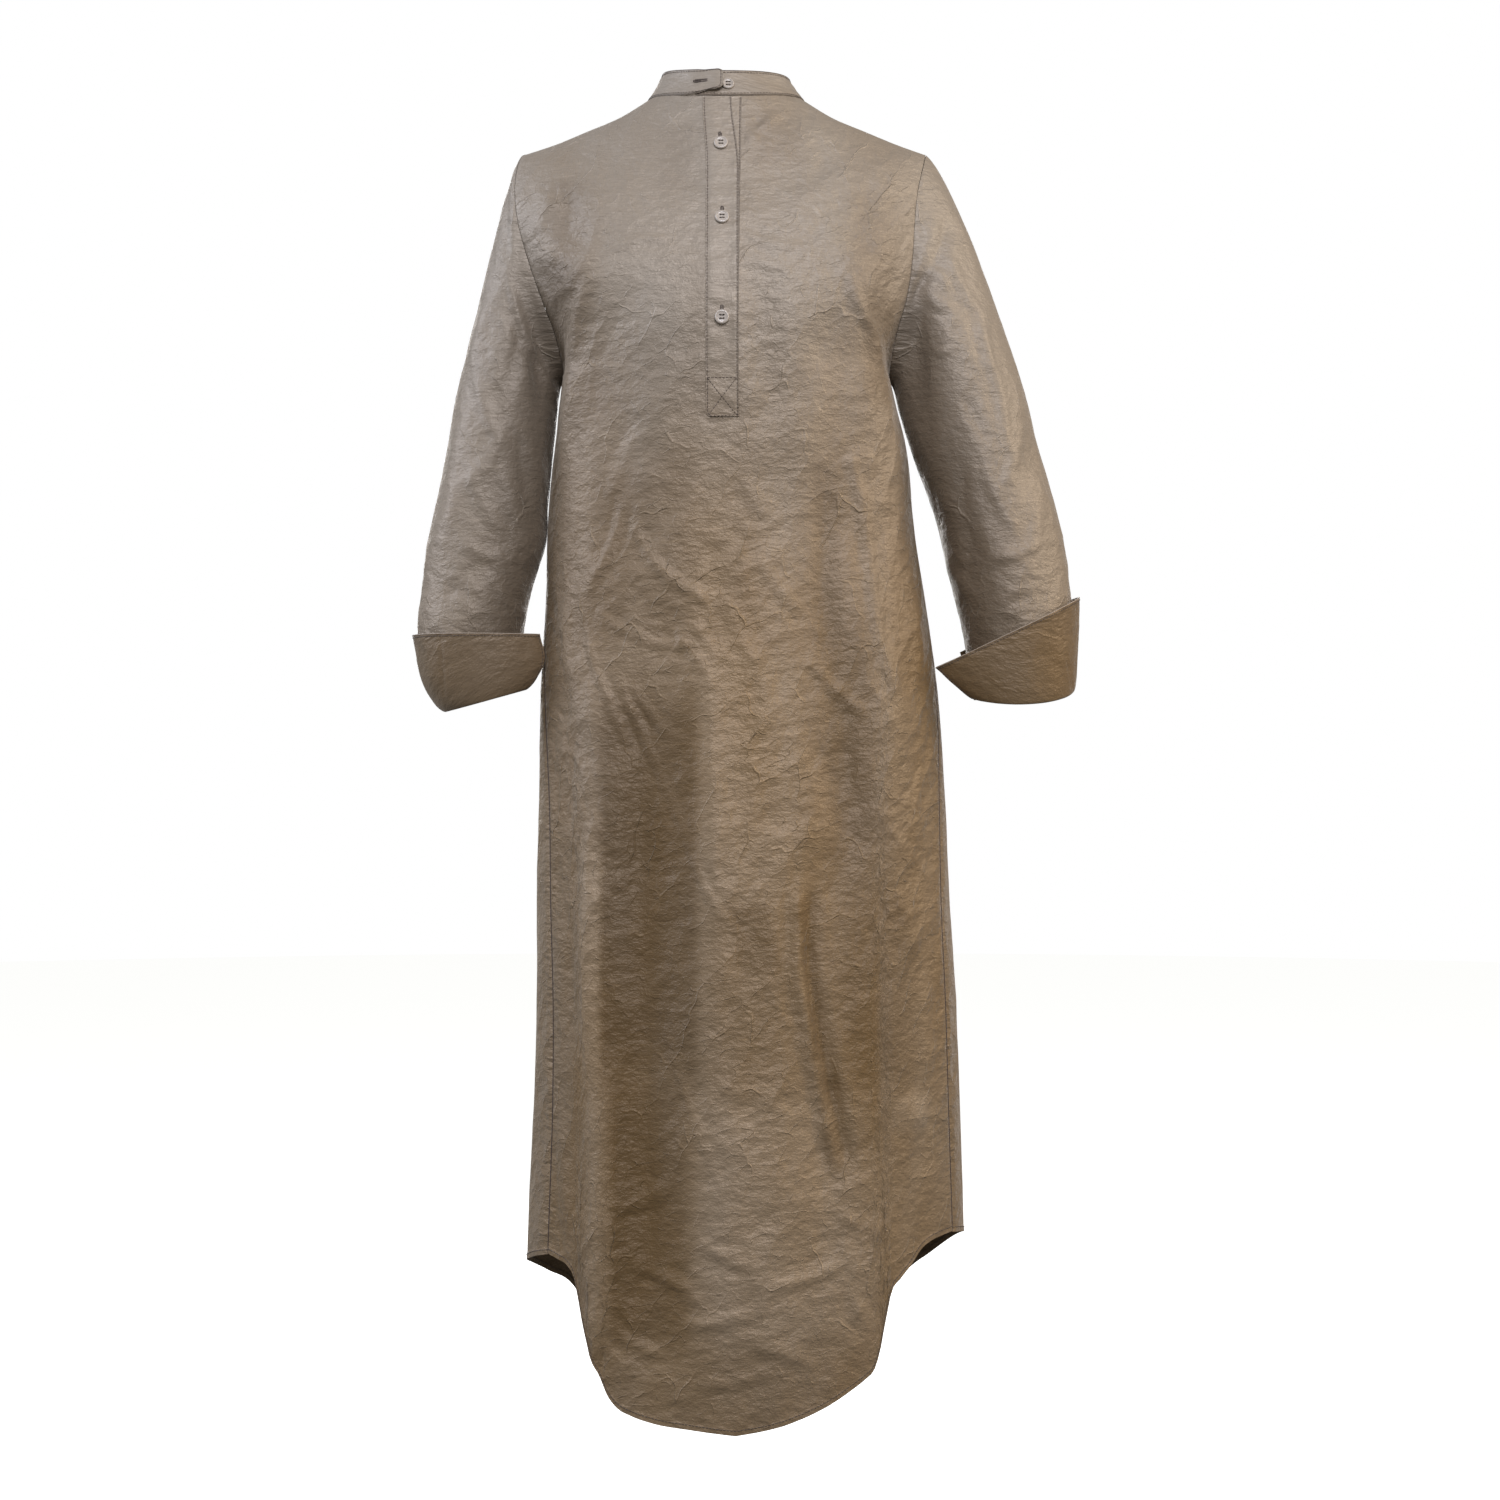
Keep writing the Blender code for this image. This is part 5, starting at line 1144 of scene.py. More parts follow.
def lathe(name, profile, sides):
    """Closed solid turned from a profile of radius and height."""
    points, faces = [], []
    turns = [2 * math.pi * k / sides for k in range(sides)]
    rings = []
    for radius, height in profile:
        if radius == 0.0:
            rings.append([len(points)])
            points.append((0.0, 0.0, height * MM))
            continue
        rings.append([len(points) + k for k in range(sides)])
        ring = [(radius * math.cos(a), radius * math.sin(a), height) for a in turns]
        points += [tuple(at * MM for at in point) for point in ring]
    for low, high in zip(rings, rings[1:]):
        for k in range(sides):
            j = (k + 1) % sides
            if len(low) == 1:
                faces.append((low[0], high[j], high[k]))
            elif len(high) == 1:
                faces.append((low[k], low[j], high[0]))
            else:
                faces.append((low[k], low[j], high[j], high[k]))
    return link_mesh(name, points, faces)


def holes(name):
    """Four drills of a button in one mesh, kept out of the render."""
    points, faces = [], []
    radius = HOLE_DIAMETER / 2
    half = HOLE_SPACING / 2
    for cx, cy in ((half, half), (-half, half), (-half, -half), (half, -half)):
        first = len(points)
        for height in (-1.0, BUTTON_THICKNESS + 1.0):
            for k in range(HOLE_SIDES):
                a = 2 * math.pi * (k + 0.5) / HOLE_SIDES
                x, y = cx + radius * math.cos(a), cy + radius * math.sin(a)
                points.append((x * MM, y * MM, height * MM))
        low = [first + k for k in range(HOLE_SIDES)]
        high = [first + HOLE_SIDES + k for k in range(HOLE_SIDES)]
        faces.append(tuple(reversed(low)))
        faces.append(tuple(high))
        for k in range(HOLE_SIDES):
            j = (k + 1) % HOLE_SIDES
            faces.append((low[k], low[j], high[j], high[k]))
    item = link_mesh(name, points, faces)
    item.hide_render = True
    item.display_type = "WIRE"
    return item


def soft_noise(points, seed):
    """Smooth random field from -1 to 1 in space, its features about one unit across."""
    table = np.random.RandomState(seed).rand(32, 32, 32) * 2 - 1
    cell = np.floor(points).astype(int)
    part = points - cell
    part = part**3 * (part * (part * 6 - 15) + 10)
    total = 0.0
    for corner in np.ndindex(2, 2, 2):
        weights = [part[..., k] if c else 1 - part[..., k] for k, c in enumerate(corner)]
        weight = np.prod(weights, axis=0)
        at = [(cell[..., k] + c) % 32 for k, c in enumerate(corner)]
        total = total + weight * table[at[0], at[1], at[2]]
    return total


def crests(points, seed):
    """Field from 0 to 1 with sharp winding crests, like the ridges of crumpled cloth."""
    warp = soft_noise(points * 0.8 + 7.3, seed + 1)[..., None] * np.array([0.7, 0.4, -0.5])
    return (1 - np.abs(soft_noise(points + warp, seed))) ** 2


def crease_rise(creases, x, z):
    """Sum of the single creases at places seen from the front: crests with troughs beside them."""
    total = np.zeros_like(x)
    for crease in creases:
        t, off = along_line(crease, x, z)
        near = (off - crease.bow * (1 - (2 * t - 1) ** 2)) / (crease.half_width * CREASE_WIDTH)
        lasts = ease(*CREASE_BEGINS, t) * (1 - ease(*CREASE_ENDS, t))
        crest = np.exp(-np.abs(near) ** CREST_SHARPNESS)
        troughs = sum(depth * bell(near - at, wide) for at, wide, depth in CREASE_TROUGHS)
        total += crease.rise * lasts * (crest - troughs)
    return total


def painted_shading_change(tones, x, z):
    """Painted shade and painted sheen of the folds: change of brightness at places seen from the
    front.
    """
    total = np.zeros_like(x)
    for patch in tones:
        dx, dz = x - patch.x, z - patch.z
        across = np.abs(dx - patch.slant * dz) / patch.half_width
        along = np.abs(dz) / patch.half_height
        inside = 1 - ease(1 - patch.soft, 1 + patch.soft, across)
        total += patch.change * inside * (1 - ease(0.75, 1.15, along))
    return total


def crumple_rise(crumples, points):
    """Sum of the crumpled patches at points of a surface."""
    total = np.zeros(points.shape[:-1])
    for patch in crumples:
        turned = math.radians(patch.turn)
        dx, dz = points[..., 0] - patch.x, points[..., 2] - patch.z
        away = (dx / patch.half_width) ** 2 + (dz / patch.half_height) ** 2
        u = (dx * math.cos(turned) + dz * math.sin(turned)) / patch.across
        v = (dz * math.cos(turned) - dx * math.sin(turned)) / patch.along
        place = np.stack([u, v, points[..., 1] / patch.across], axis=-1)
        field = 0.62 * crests(place, patch.seed) + 0.38 * crests(place * 2.1, patch.seed + 50)
        total += CRUMPLE_DEPTH * patch.rise * np.exp(-(away**1.5)) * (field - 0.5) * 2
    return total


def path_lengths(grid, axis):
    """Length along each row or column of a grid, from its start to each point."""
    steps = np.linalg.norm(np.diff(grid, axis=axis), axis=-1)
    start = np.zeros_like(np.take(steps, [0], axis=axis))
    return np.concatenate([start, np.cumsum(steps, axis=axis)], axis=axis)


def join_normals(front, back):
    """Normals of both panels, made one where they are sewn together at sides and shoulders."""
    normals = [grid_normals(front), grid_normals(back)]
    joined = np.ones(len(front), bool)
    joined[SKIRT_ROWS + 1 : SKIRT_ROWS + ARMHOLE_ROWS] = False
    for front_edge, back_edge in ((0, -1), (-1, 0)):
        mean = unit(normals[0][:, front_edge] + normals[1][:, back_edge])
        normals[0][joined, front_edge] = mean[joined]
        normals[1][joined, back_edge] = mean[joined]
    return normals


def from_sides(across):
    """Distance in mm from the nearer side edge."""
    return np.minimum(across, across[:, -1:] - across)


def flat_beside_placket(grid):
    """Share from 0 to 1 by which the cloth of the front lies flat beside its placket."""
    beside = np.abs(grid[..., 0] - CHEST_CENTRE)
    above = ease(FLAT_DOWN_TO - 40, FLAT_DOWN_TO, grid[..., 2])
    return (1 - ease(*FLAT_BESIDE_PLACKET, beside)) * above


@functools.lru_cache(maxsize=None)
def panels(strength):
    """Front and back as surfaces with every fold and crease, sewn at sides and shoulders."""
    grids = [panel_grid(False), panel_grid(True)]
    normals = join_normals(*grids)
    creased = []
    for back, (grid, normal) in enumerate(zip(grids, normals)):
        across, up = path_lengths(grid, 1), path_lengths(grid, 0)
        side = from_sides(across)
        rise = crease_rise(BACK_CREASES if back else FRONT_CREASES, grid[..., 0], grid[..., 2])
        rise += crumple_rise(BACK_CRUMPLES if back else FRONT_CRUMPLES, grid)
        fade = ease(0.0, SIDE_FADE, side) * ease(0.0, TOP_FADE, up[-1:] - up)
        rise *= CREASE_DEPTH * strength * fade
        if not back:
            rise *= 1 - flat_beside_placket(grid)
        low = (stages() <= UNDERARM)[:, None] | (stages() >= TIP)[:, None]
        rise -= SEAM_SINK * bell(side, SEAM_REACH) * low
        creased.append(grid + normal * rise[..., None])
    normals = join_normals(*creased)
    surfaces = []
    for back, (grid, normal) in enumerate(zip(creased, normals)):
        across, up = path_lengths(grid, 1), path_lengths(grid, 0)
        side = from_sides(across)
        middle = grid.shape[1] // 2
        weft = np.interp(grid[..., 2], grid[:, middle, 2], up[:, middle])
        weave = np.stack([across - across[:, middle : middle + 1], weft], axis=-1)
        crinkle = 1.0 + CRINKLE_MORE * ease(*CRINKLE_MORE_BELOW, grid[..., 2])
        if not back:
            crinkle = crinkle * (1 - CRINKLE_LESS_FLAT * flat_beside_placket(grid))
        pucker = bell(side, PUCKER_REACH) * (1 - 0.7 * ease(1.0, 1.2, stages()))[:, None]
        detail = np.stack([up, crinkle, pucker], axis=-1)
        # Painted shade and painted sheen bands of the folds.
        tone = painted_shading_change(BACK_PAINTED_SHADING if back else FRONT_PAINTED_SHADING, grid[..., 0], grid[..., 2])
        surfaces.append(Surface(draw_in(grid), normal, weave, detail, tone[..., None]))
    return surfaces


def front_faces():
    """Faces of the front, parted at the neck slit, and the numbers of the slit's points."""
    rows, count = len(stages()), 2 * FRONT_COLUMNS + 1
    middle = FRONT_COLUMNS
    first = SKIRT_ROWS - PLACKET_END_ROW + 1
    slit = np.arange(first, rows) * count + middle
    faces = grid_faces(rows, count)
    renumber = np.arange(rows * count)
    renumber[slit] = rows * count + np.arange(len(slit))
    right_of_slit = faces[:, 0] % count >= middle
    faces[right_of_slit] = renumber[faces[right_of_slit]]
    return faces, slit


def part_slit(surface, slit):
    """The front's surface with its slit points doubled and drawn a little apart."""
    flat = [values.reshape(-1, values.shape[-1]).copy() for values in surface]
    across = unit(flat[0][slit + 1] - flat[0][slit - 1])
    right = [values[slit].copy() for values in flat]
    right[0] += across * SLIT_GAP / 2
    flat[0][slit] -= across * SLIT_GAP / 2
    return Surface(*[np.concatenate(pair) for pair in zip(flat, right)])


def sleeve_surface(side, strength):
    """Fine surface of a sleeve from the armhole loop to its end."""
    front, back = panels(strength)
    low, high = SKIRT_ROWS, SKIRT_ROWS + ARMHOLE_ROWS
    front_edge, back_edge = (0, -1) if side == "left" else (-1, 0)
    up = front.points[low : high + 1, front_edge]
    down = back.points[low + 1 : high, back_edge][::-1]
    grid = sleeve_grid(side, np.concatenate([up, down]))
    normal = ring_normals(grid)
    angle = np.radians(np.arange(grid.shape[1]) * 360.0 / grid.shape[1])
    facing = np.sin(angle)[None, :]
    middle = grid[..., 0].mean(axis=1, keepdims=True)
    creases = LEFT_SLEEVE_CREASES if side == "left" else RIGHT_SLEEVE_CREASES
    rise = crease_rise(creases, grid[..., 0], grid[..., 2]) * ease(0.0, 0.3, facing)
    behind = crease_rise(SLEEVE_BACK_CREASES, grid[..., 0] - middle, grid[..., 2])
    rise += behind * ease(0.0, 0.3, -facing)
    rise += crumple_rise(SLEEVE_CRUMPLES, grid - np.array([float(middle.mean()), 0.0, 0.0]))
    along = path_lengths(grid, 0)
    left_over = along[-1:] - along
    fade = ease(0.0, SLEEVE_FADE, along) * ease(0.0, SLEEVE_FADE, left_over)
    rise *= CREASE_DEPTH * strength * fade
    rise -= SEAM_SINK * bell(left_over, SEAM_REACH)
    grid = grid + normal * rise[..., None]
    round_about = np.abs((angle + math.pi) % (2 * math.pi) - math.pi) * SLEEVE_RADIUS
    weave = np.stack([round_about + 0 * along, grid[..., 2]], axis=-1)
    # Painted shade: the side of the sleeve that faces the body is painted darker.
    inner = ease(-0.4, 0.7, np.cos(angle))[None, :] + 0 * along
    pucker = bell(np.minimum(along, left_over), SLEEVE_PUCKER_REACH)
    detail = np.stack([along, SLEEVE_CRINKLE + 0 * along, pucker], axis=-1)
    return Surface(grid, ring_normals(grid), weave, detail, SLEEVE_INNER_PAINTED_SHADE * inner[..., None])


def faced_surface(grid, normals, across, along, edge, finish):
    """Surface of a faced layer: how much it crumples, how it puckers at its stitches, and its tone,
    which is painted shade on the cuffs.
    """
    pucker = finish.pucker * np.exp(-edge / finish.reach)
    weave = np.stack([across, along], axis=-1)
    detail = np.stack([edge, finish.crinkle + 0 * edge, pucker], axis=-1)
    return Surface(grid, normals, weave, detail, finish.tone + 0 * edge[..., None])


def cuff_surface(side, strength):
    """Fine surface of a turned-back cuff from its seam round the fold to its free edge."""
    table = LEFT_CUFF if side == "left" else RIGHT_CUFF
    sign = 1.0 if side == "left" else -1.0
    angle = np.linspace(CUFF_FRONT_END, CUFF_BACK_END, CUFF_AROUND + 1)[None, :]
    turned = np.radians(angle)
    at = np.concatenate([np.linspace(*steps) for steps in CUFF_STEPS])
    knots = np.arange(len(table))
    ring = {n: spline(knots, [getattr(r, n) for r in table], at)[:, None] for n in CuffRing._fields}
    opened = np.clip((at - 2) / (len(table) - 3), 0.0, 1.0)[:, None]
    spread = ring["flare"] * (1 - ease(CUFF_FRONT_END, CUFF_FLARE_START, angle))
    spread = spread + CUFF_BACK_FLARE * opened * ease(CUFF_BACK_FLARE_START, CUFF_BACK_END, angle)
    x = ring["x"] + sign * (ring["half_width"] * np.cos(turned) + spread)
    y = ring["y"] - ring["half_depth"] * np.sin(turned)
    z = ring["height"] + ring["slope_x"] * (x - ring["x"]) + ring["slope_y"] * (y - ring["y"])
    grid = np.stack([x, y, z], axis=-1)
    normal = outward(grid)
    along, across = path_lengths(grid, 0), path_lengths(grid, 1)
    end = from_sides(across)
    edge = np.minimum(end, along[-1:] - along)
    rise = crumple_rise([CUFF_CRUMPLE], grid - np.array([ring["x"].mean(), 0.0, 0.0]))
    rise *= strength * ease(0.0, 8.0, along) * opened
    seams = LEFT_CUFF_SEAMS if side == "left" else RIGHT_CUFF_SEAMS
    in_front = ease(2.6, 3.0, at)[:, None] * (turned < math.pi)
    rise += CUFF_SEAM_DEPTH * crease_rise(seams, x, z) * in_front
    rise -= TOPSTITCH_SINK * bell(edge - EDGE_STITCH, CUFF_GROOVE) * opened
    grid = grid + normal * rise[..., None]
    return faced_surface(grid, outward(grid), across, along, edge, CUFF_FINISH)


def outward(grid):
    """Normals of an open ring of cloth, pointing away from its middle."""
    normal = grid_normals(grid)
    row, column_at = len(grid) - 1, grid.shape[1] // 2
    outside = grid[row, column_at] - grid[row].mean(axis=0)
    return normal if float(normal[row, column_at] @ outside) > 0 else -normal


def collar_surface():
    """Fine surface of the band collar, its end on top rounded, its edges stitched."""
    turned = collar_path()
    rows = []
    for share in np.linspace(0.0, 1.0, COLLAR_ROWS + 1):
        top = corner_cut(COLLAR_TOP_CORNER, COLLAR_RISE_FRONT * (1 - share))
        low = corner_cut(COLLAR_LOW_CORNER, COLLAR_RISE_FRONT * share)
        fade = 1 - ease(0.0, COLLAR_END_TURN, turned - turned[0])
        trimmed = turned + math.degrees(max(top, low) / -CHEST_FRONT[-1].depth) * fade
        raised = COLLAR_END_RAISE * fade
        rows.append(collar_point(trimmed, raised + (1 - raised) * share))
    grid = np.array(rows)
    normal = outward(grid)
    along, across = path_lengths(grid, 0), path_lengths(grid, 1)
    end = from_sides(across)
    edge = np.minimum(np.minimum(along, along[-1:] - along), end)
    rise = crumple_rise(COLLAR_CRUMPLES, grid) * ease(0.0, 6.0, edge)
    rise -= TOPSTITCH_SINK * bell(edge - EDGE_STITCH, COLLAR_GROOVE)
    grid = grid + normal * rise[..., None]
    return faced_surface(grid, outward(grid), across, along, edge, COLLAR_FINISH)


def across_front(points, normals, places):
    """Points and normals along a row of the front at distances in mm from its middle."""
    along = path_lengths(points[None], 1)[0]
    along -= along[FRONT_COLUMNS]
    return read_line(places, along, points), unit(read_line(places, along, normals))


def strip_surface(end_row, edges_at, shares, height_at, strength):
    """A placket strip laid on the front. edges_at gives its edges at a distance from its end."""
    front = panels(strength)[0]
    first = SKIRT_ROWS - end_row
    points, normals = front.points[first:].copy(), front.normals[first:]
    middle = points[:, FRONT_COLUMNS]
    run = path_lengths(middle[:, None], 0)[:, 0]
    top = run[-1] - STRIP_TOP_DROP
    at = np.sort(np.concatenate([run[:-1], STRIP_END_ROWS, [top - 1.4, top]]))
    at = at[at <= top + 1e-6]
    rows, outs, sides = [], [], []
    for distance in at:
        k = int(np.clip(np.searchsorted(run, distance) - 1, 0, len(run) - 2))
        t = (distance - run[k]) / (run[k + 1] - run[k])
        left, right = edges_at(distance, run[-1])
        places = left + (right - left) * shares
        between = [v[k] + (v[k + 1] - v[k]) * t for v in (points, normals)]
        point, normal = across_front(*between, places)
        rows.append(point + normal * height_at(distance, places)[:, None])
        outs.append(normal)
        sides.append(np.minimum(places - left, right - places))
    grid = np.array(rows)
    edge = np.minimum(np.array(sides), at[:, None])
    rise = -TOPSTITCH_SINK * bell(edge - PLACKET_STITCH, STRIP_GROOVE)
    rise += crease_rise(PLACKET_CREASES, grid[..., 0], grid[..., 2]) * ease(1.0, 4.0, edge)
    grid = grid + np.array(outs) * rise[..., None]
    across, along = path_lengths(grid, 1), at[:, None] + 0 * edge
    return faced_surface(grid, np.array(outs), across, along, edge, STRIP_FINISH)


def over_edges(distance, length):
    """Edges of the outer strip, its lower left corner rounded, swung a little aside at the neck."""
    swing = float(ease(length - STRIP_SWING_LENGTH, length, np.array(distance)))
    left = PLACKET_LEFT - STRIP_SWING_LEFT * swing
    return left + corner_cut(PLACKET_CORNER, distance), PLACKET_RIGHT - STRIP_SWING_RIGHT * swing


def under_edges(distance, length):
    """Edges of the inner strip, which shows a little past the outer one near the neck."""
    share = distance / length
    return UNDERLAP_LEFT, UNDERLAP_RIGHT_END + (UNDERLAP_RIGHT_TOP - UNDERLAP_RIGHT_END) * share


def over_heights(distance, places):
    """Height of the outer strip over the front: down on it at its sewn edge and its end."""
    low = PANEL_CLOTH / 2 + LAYER_GAP + STRIP_LAYERS / 2
    across = np.interp(places, (PLACKET_LEFT, PLACKET_LEFT / 2, 0.0), (0.0, 0.85, 1.0))
    free = STRIP_LIFT * ease(PLACKET_RIGHT - 9.0, PLACKET_RIGHT, places)
    free = free * (0.75 + 0.25 * math.sin(distance / 9.0)) * float(ease(30.0, 60.0, distance))
    return low + (UNDERLAP_LAYERS + LAYER_GAP) * across * min(1.0, distance / STRIP_SETTLES) + free


def under_heights(_distance, places):
    """Height of the inner strip over the front."""
    return PANEL_CLOTH / 2 + LAYER_GAP + UNDERLAP_LAYERS / 2 + 0 * places


@functools.lru_cache(maxsize=None)
def over_strip(strength):
    """The outer placket strip as a surface, shared by the strip, its sewing and its buttons."""
    shares = np.array(OVER_SHARES)
    return strip_surface(PLACKET_END_ROW, over_edges, shares, over_heights, strength)


@functools.lru_cache(maxsize=None)
def under_strip(strength):
    """The inner placket strip as a surface."""
    shares = np.array(UNDER_SHARES)
    return strip_surface(UNDERLAP_END_ROW, under_edges, shares, under_heights, strength)


def grid_faces(rows, count, closed=False):
    """Quads of a grid as an array of point numbers; closed joins its last column to its first."""
    r = np.arange(rows - 1)[:, None]
    c = np.arange(count if closed else count - 1)[None, :]
    d = (c + 1) % count
    low, high = r * count, (r + 1) * count
    return np.stack([low + c, low + d, high + d, high + c], -1).reshape(-1, 4)


def facing_out(points, normals, faces):
    """The same quads, turned over if they face against the normals."""
    a, b, _, d = points[faces[len(faces) // 2]]
    facing = np.cross(b - a, d - a)
    return faces if float(facing @ normals[faces[len(faces) // 2][0]]) > 0 else faces[:, ::-1]


def smooth_mesh(name, points, faces):
    """Smooth-shaded mesh from points in mm and faces, as arrays."""
    mesh = bpy.data.meshes.new(name)
    mesh.from_pydata((points * MM).tolist(), [], faces.tolist())
    mesh.shade_smooth()
    return mesh


def shell(name, surface, faces, thickness, material, node):
    """Thin closed sheet on both sides of a surface, carrying its weave, standing for a solid."""
    points = surface.points.reshape(-1, 3)
    normals = surface.normals.reshape(-1, 3)
    half = np.broadcast_to(np.asarray(thickness, float) / 2, len(points))[:, None]
    faces = facing_out(points, normals, faces)
    count = len(points)
    starts, ends = faces.ravel(), np.roll(faces, -1, axis=1).ravel()
    alone = ~np.isin(starts * count + ends, ends * count + starts)
    a, b = starts[alone], ends[alone]
    rims = np.stack([b, a, a + count, b + count], axis=-1)
    quads = np.concatenate([faces, faces[:, ::-1] + count, rims])
    both = np.concatenate([points + normals * half, points - normals * half])
    mesh = smooth_mesh(name, both, quads)
    mesh.set_sharp_from_angle(angle=math.radians(SHEET_SHARP))
    side = np.repeat([0.0, 1.0], count)
    weave = np.column_stack([np.tile(surface.weave.reshape(-1, 2), (2, 1)), side])
    detail = np.tile(surface.detail.reshape(-1, 3), (2, 1))
    for label, values in (("weave", weave), ("detail", detail)):
        layer = mesh.attributes.new(label, "FLOAT_VECTOR", "POINT")
        layer.data.foreach_set("vector", values.astype(np.float32).ravel())
    layer = mesh.attributes.new("tone", "FLOAT", "POINT")
    layer.data.foreach_set("value", np.tile(surface.tone.ravel(), 2).astype(np.float32))
    item = place_piece(name, mesh, material)
    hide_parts(node)
    return item


def grid_shell(name, surface, thickness, material, closed=False):
    """Shell over a whole grid, named for the solid that it stands for."""
    faces = grid_faces(*surface.points.shape[:2], closed=closed)
    return shell(name + "_silk", surface, faces, thickness, material, name)


def stitches(name, lines, material):
    """Run of sewing stitches along lines of points and normals in mm, joined into one piece."""
    look = bpy.context.scene.dress_sewing
    pitch, radius = look.pitch / MM, look.thread / MM
    places, ups, heads = [], [], []
    for points, normals in lines:
        run = path_lengths(points[:, None], 0)[:, 0]
        count = max(1, int(run[-1] // pitch))
        base = np.arange(count)[:, None] * run[-1] / count
        at = base + np.array(STITCH_AT)[None, :] * pitch
        place, up = read_line(at, run, points), unit(read_line(at, run, normals))
        places.append(place + up * np.array(STITCH_RISE)[None, :, None] * radius)
        ups.append(up)
        head = place[:, -1] - place[:, 0]
        heads.append(head / (np.linalg.norm(head, axis=-1, keepdims=True) + 1e-9))
    place, up, head = np.concatenate(places), np.concatenate(ups), np.concatenate(heads)
    across = np.cross(head[:, None, :], up)
    turn = np.arange(STITCH_SIDES) * 2 * math.pi / STITCH_SIDES
    ring = np.cos(turn)[:, None] * across[:, :, None, :] + np.sin(turn)[:, None] * up[:, :, None, :]
    points = place[:, :, None, :] + ring * radius
    count, rings = points.shape[:2]
    quads = grid_faces(rings, STITCH_SIDES, closed=True)
    all_quads = quads[None] + (np.arange(count) * rings * STITCH_SIDES)[:, None, None]
    mesh = smooth_mesh(name, points.reshape(-1, 3), all_quads.reshape(-1, 4))
    return place_piece(name, mesh, material)


def place_piece(name, mesh, material):
    """Link a small piece and let it ride with the dress."""
    item = bpy.data.objects.new(name, mesh)
    bpy.context.scene.collection.objects.link(item)
    mesh.materials.append(material)
    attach(item, BODY)
    return item


def middle_of(strip, height):
    """Point and normal on the middle line of a strip at a height in mm."""
    middle = strip.points.shape[1] // 2
    line, facing = strip.points[:, middle], strip.normals[:, middle]
    return [read_line(height, line[:, 2], values) for values in (line, facing)]


def side_seam(front, from_end):
    """Line along a side of the front where it is sewn to the back, from the hem to the underarm."""
    line, ups = line_at(front, 1, 0.0, PANEL_CLOTH / 2, from_end)
    return line[: SKIRT_ROWS + 1], ups[: SKIRT_ROWS + 1]


def line_at(surface, axis, distance, lift, from_end=False):
    """Line over a grid, a distance in mm from its first or last row (axis 0) or column (axis 1)."""
    points, normals = surface.points, surface.normals
    if axis == 1:
        points, normals = points.swapaxes(0, 1), normals.swapaxes(0, 1)
    if from_end:
        points, normals = points[::-1], normals[::-1]
    run = path_lengths(points, 0)
    line, ups = [
        np.array([read_line(distance, run[:, k], values[:, k]) for k in range(run.shape[1])])
        for values in (points, normals)
    ]
    return line + ups * lift, np.sign(lift) * ups


def both_edges(surface, axis, distance, lift):
    """Lines over a grid beside its first and its last row or column."""
    return [line_at(surface, axis, distance, lift, from_end) for from_end in (False, True)]


def buttonhole(centre, along, facing, length):
    """Worked buttonhole: two close rows of thread with a narrow gap between them for the slit, flat
    on the cloth.
    """
    along, facing = unit(along), unit(facing)
    across = np.cross(facing, along)
    sides = np.arange(-length / 2, length / 2 + 0.01, HOLE_STITCH)
    ends = np.arange(-2, 3) * HOLE_STITCH
    lines = []
    for places, on, out, gap, reach in (
        (sides, along, across, 0.25, 1.3),
        (ends, across, along, length / 2 + 0.1, 1.1),
    ):
        for sign in (-1.0, 1.0):
            for at in places:
                start = centre + on * at + out * sign * gap
                points = np.array([start, start + out * sign * reach])
                lines.append((points, np.array([facing, facing])))
    return lines


def turned_button(name, diameter, centre, facing, material, thread):
    """Four-hole shell button with a raised rim, sewn on by two bars of thread."""
    radius = diameter / 2
    well = radius - BUTTON_RIM
    rim = [(radius - inward, height) for inward, height in BUTTON_PROFILE]
    hollow = [(well, 2.2), (well - 0.5, 1.9), (well - 1.1, 1.8), (0.0, 1.78)]
    profile = [(0.0, 0.0), *rim, *hollow]
    disc, cutter = lathe(name + "_shell", profile, BUTTON_SIDES), holes(name + "_drills")
    disc.matrix_world = cutter.matrix_world = placed = frame_of(centre, facing)
    cut = disc.modifiers.new("holes", "BOOLEAN")
    cut.operation = "DIFFERENCE"
    cut.solver = "EXACT"
    cut.object = cutter
    bpy.context.view_layer.update()
    solved = disc.evaluated_get(bpy.context.evaluated_depsgraph_get())
    drilled = bpy.data.meshes.new_from_object(solved)
    drilled.transform(placed)
    for item in (disc, cutter):
        bpy.data.objects.remove(item)
    drilled.materials.clear()
    drilled.shade_smooth()
    drilled.set_sharp_from_angle(angle=math.radians(BUTTON_SHARP))
    item = place_piece(name + "_shell", drilled, material)
    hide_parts(name)
    half = HOLE_SPACING / 2
    frame_matrix = np.array(placed)
    bar_x, bar_z = half * np.array((-1, -0.8, 0, 0.8, 1)), (1.2, 1.95, 2.1, 1.95, 1.2)
    bars = []
    for sign in (-1.0, 1.0):
        for shift in (-0.28, 0.0, 0.28):
            local = np.column_stack([bar_x, np.full(5, sign * half + shift), bar_z])
            world = local @ frame_matrix[:3, :3].T + frame_matrix[:3, 3] / MM
            bars.append((world, np.repeat(frame_matrix[:3, 2][None], 5, axis=0)))
    place_piece(name + "_thread", tubes(bars, BAR_THREAD_RADIUS), thread)


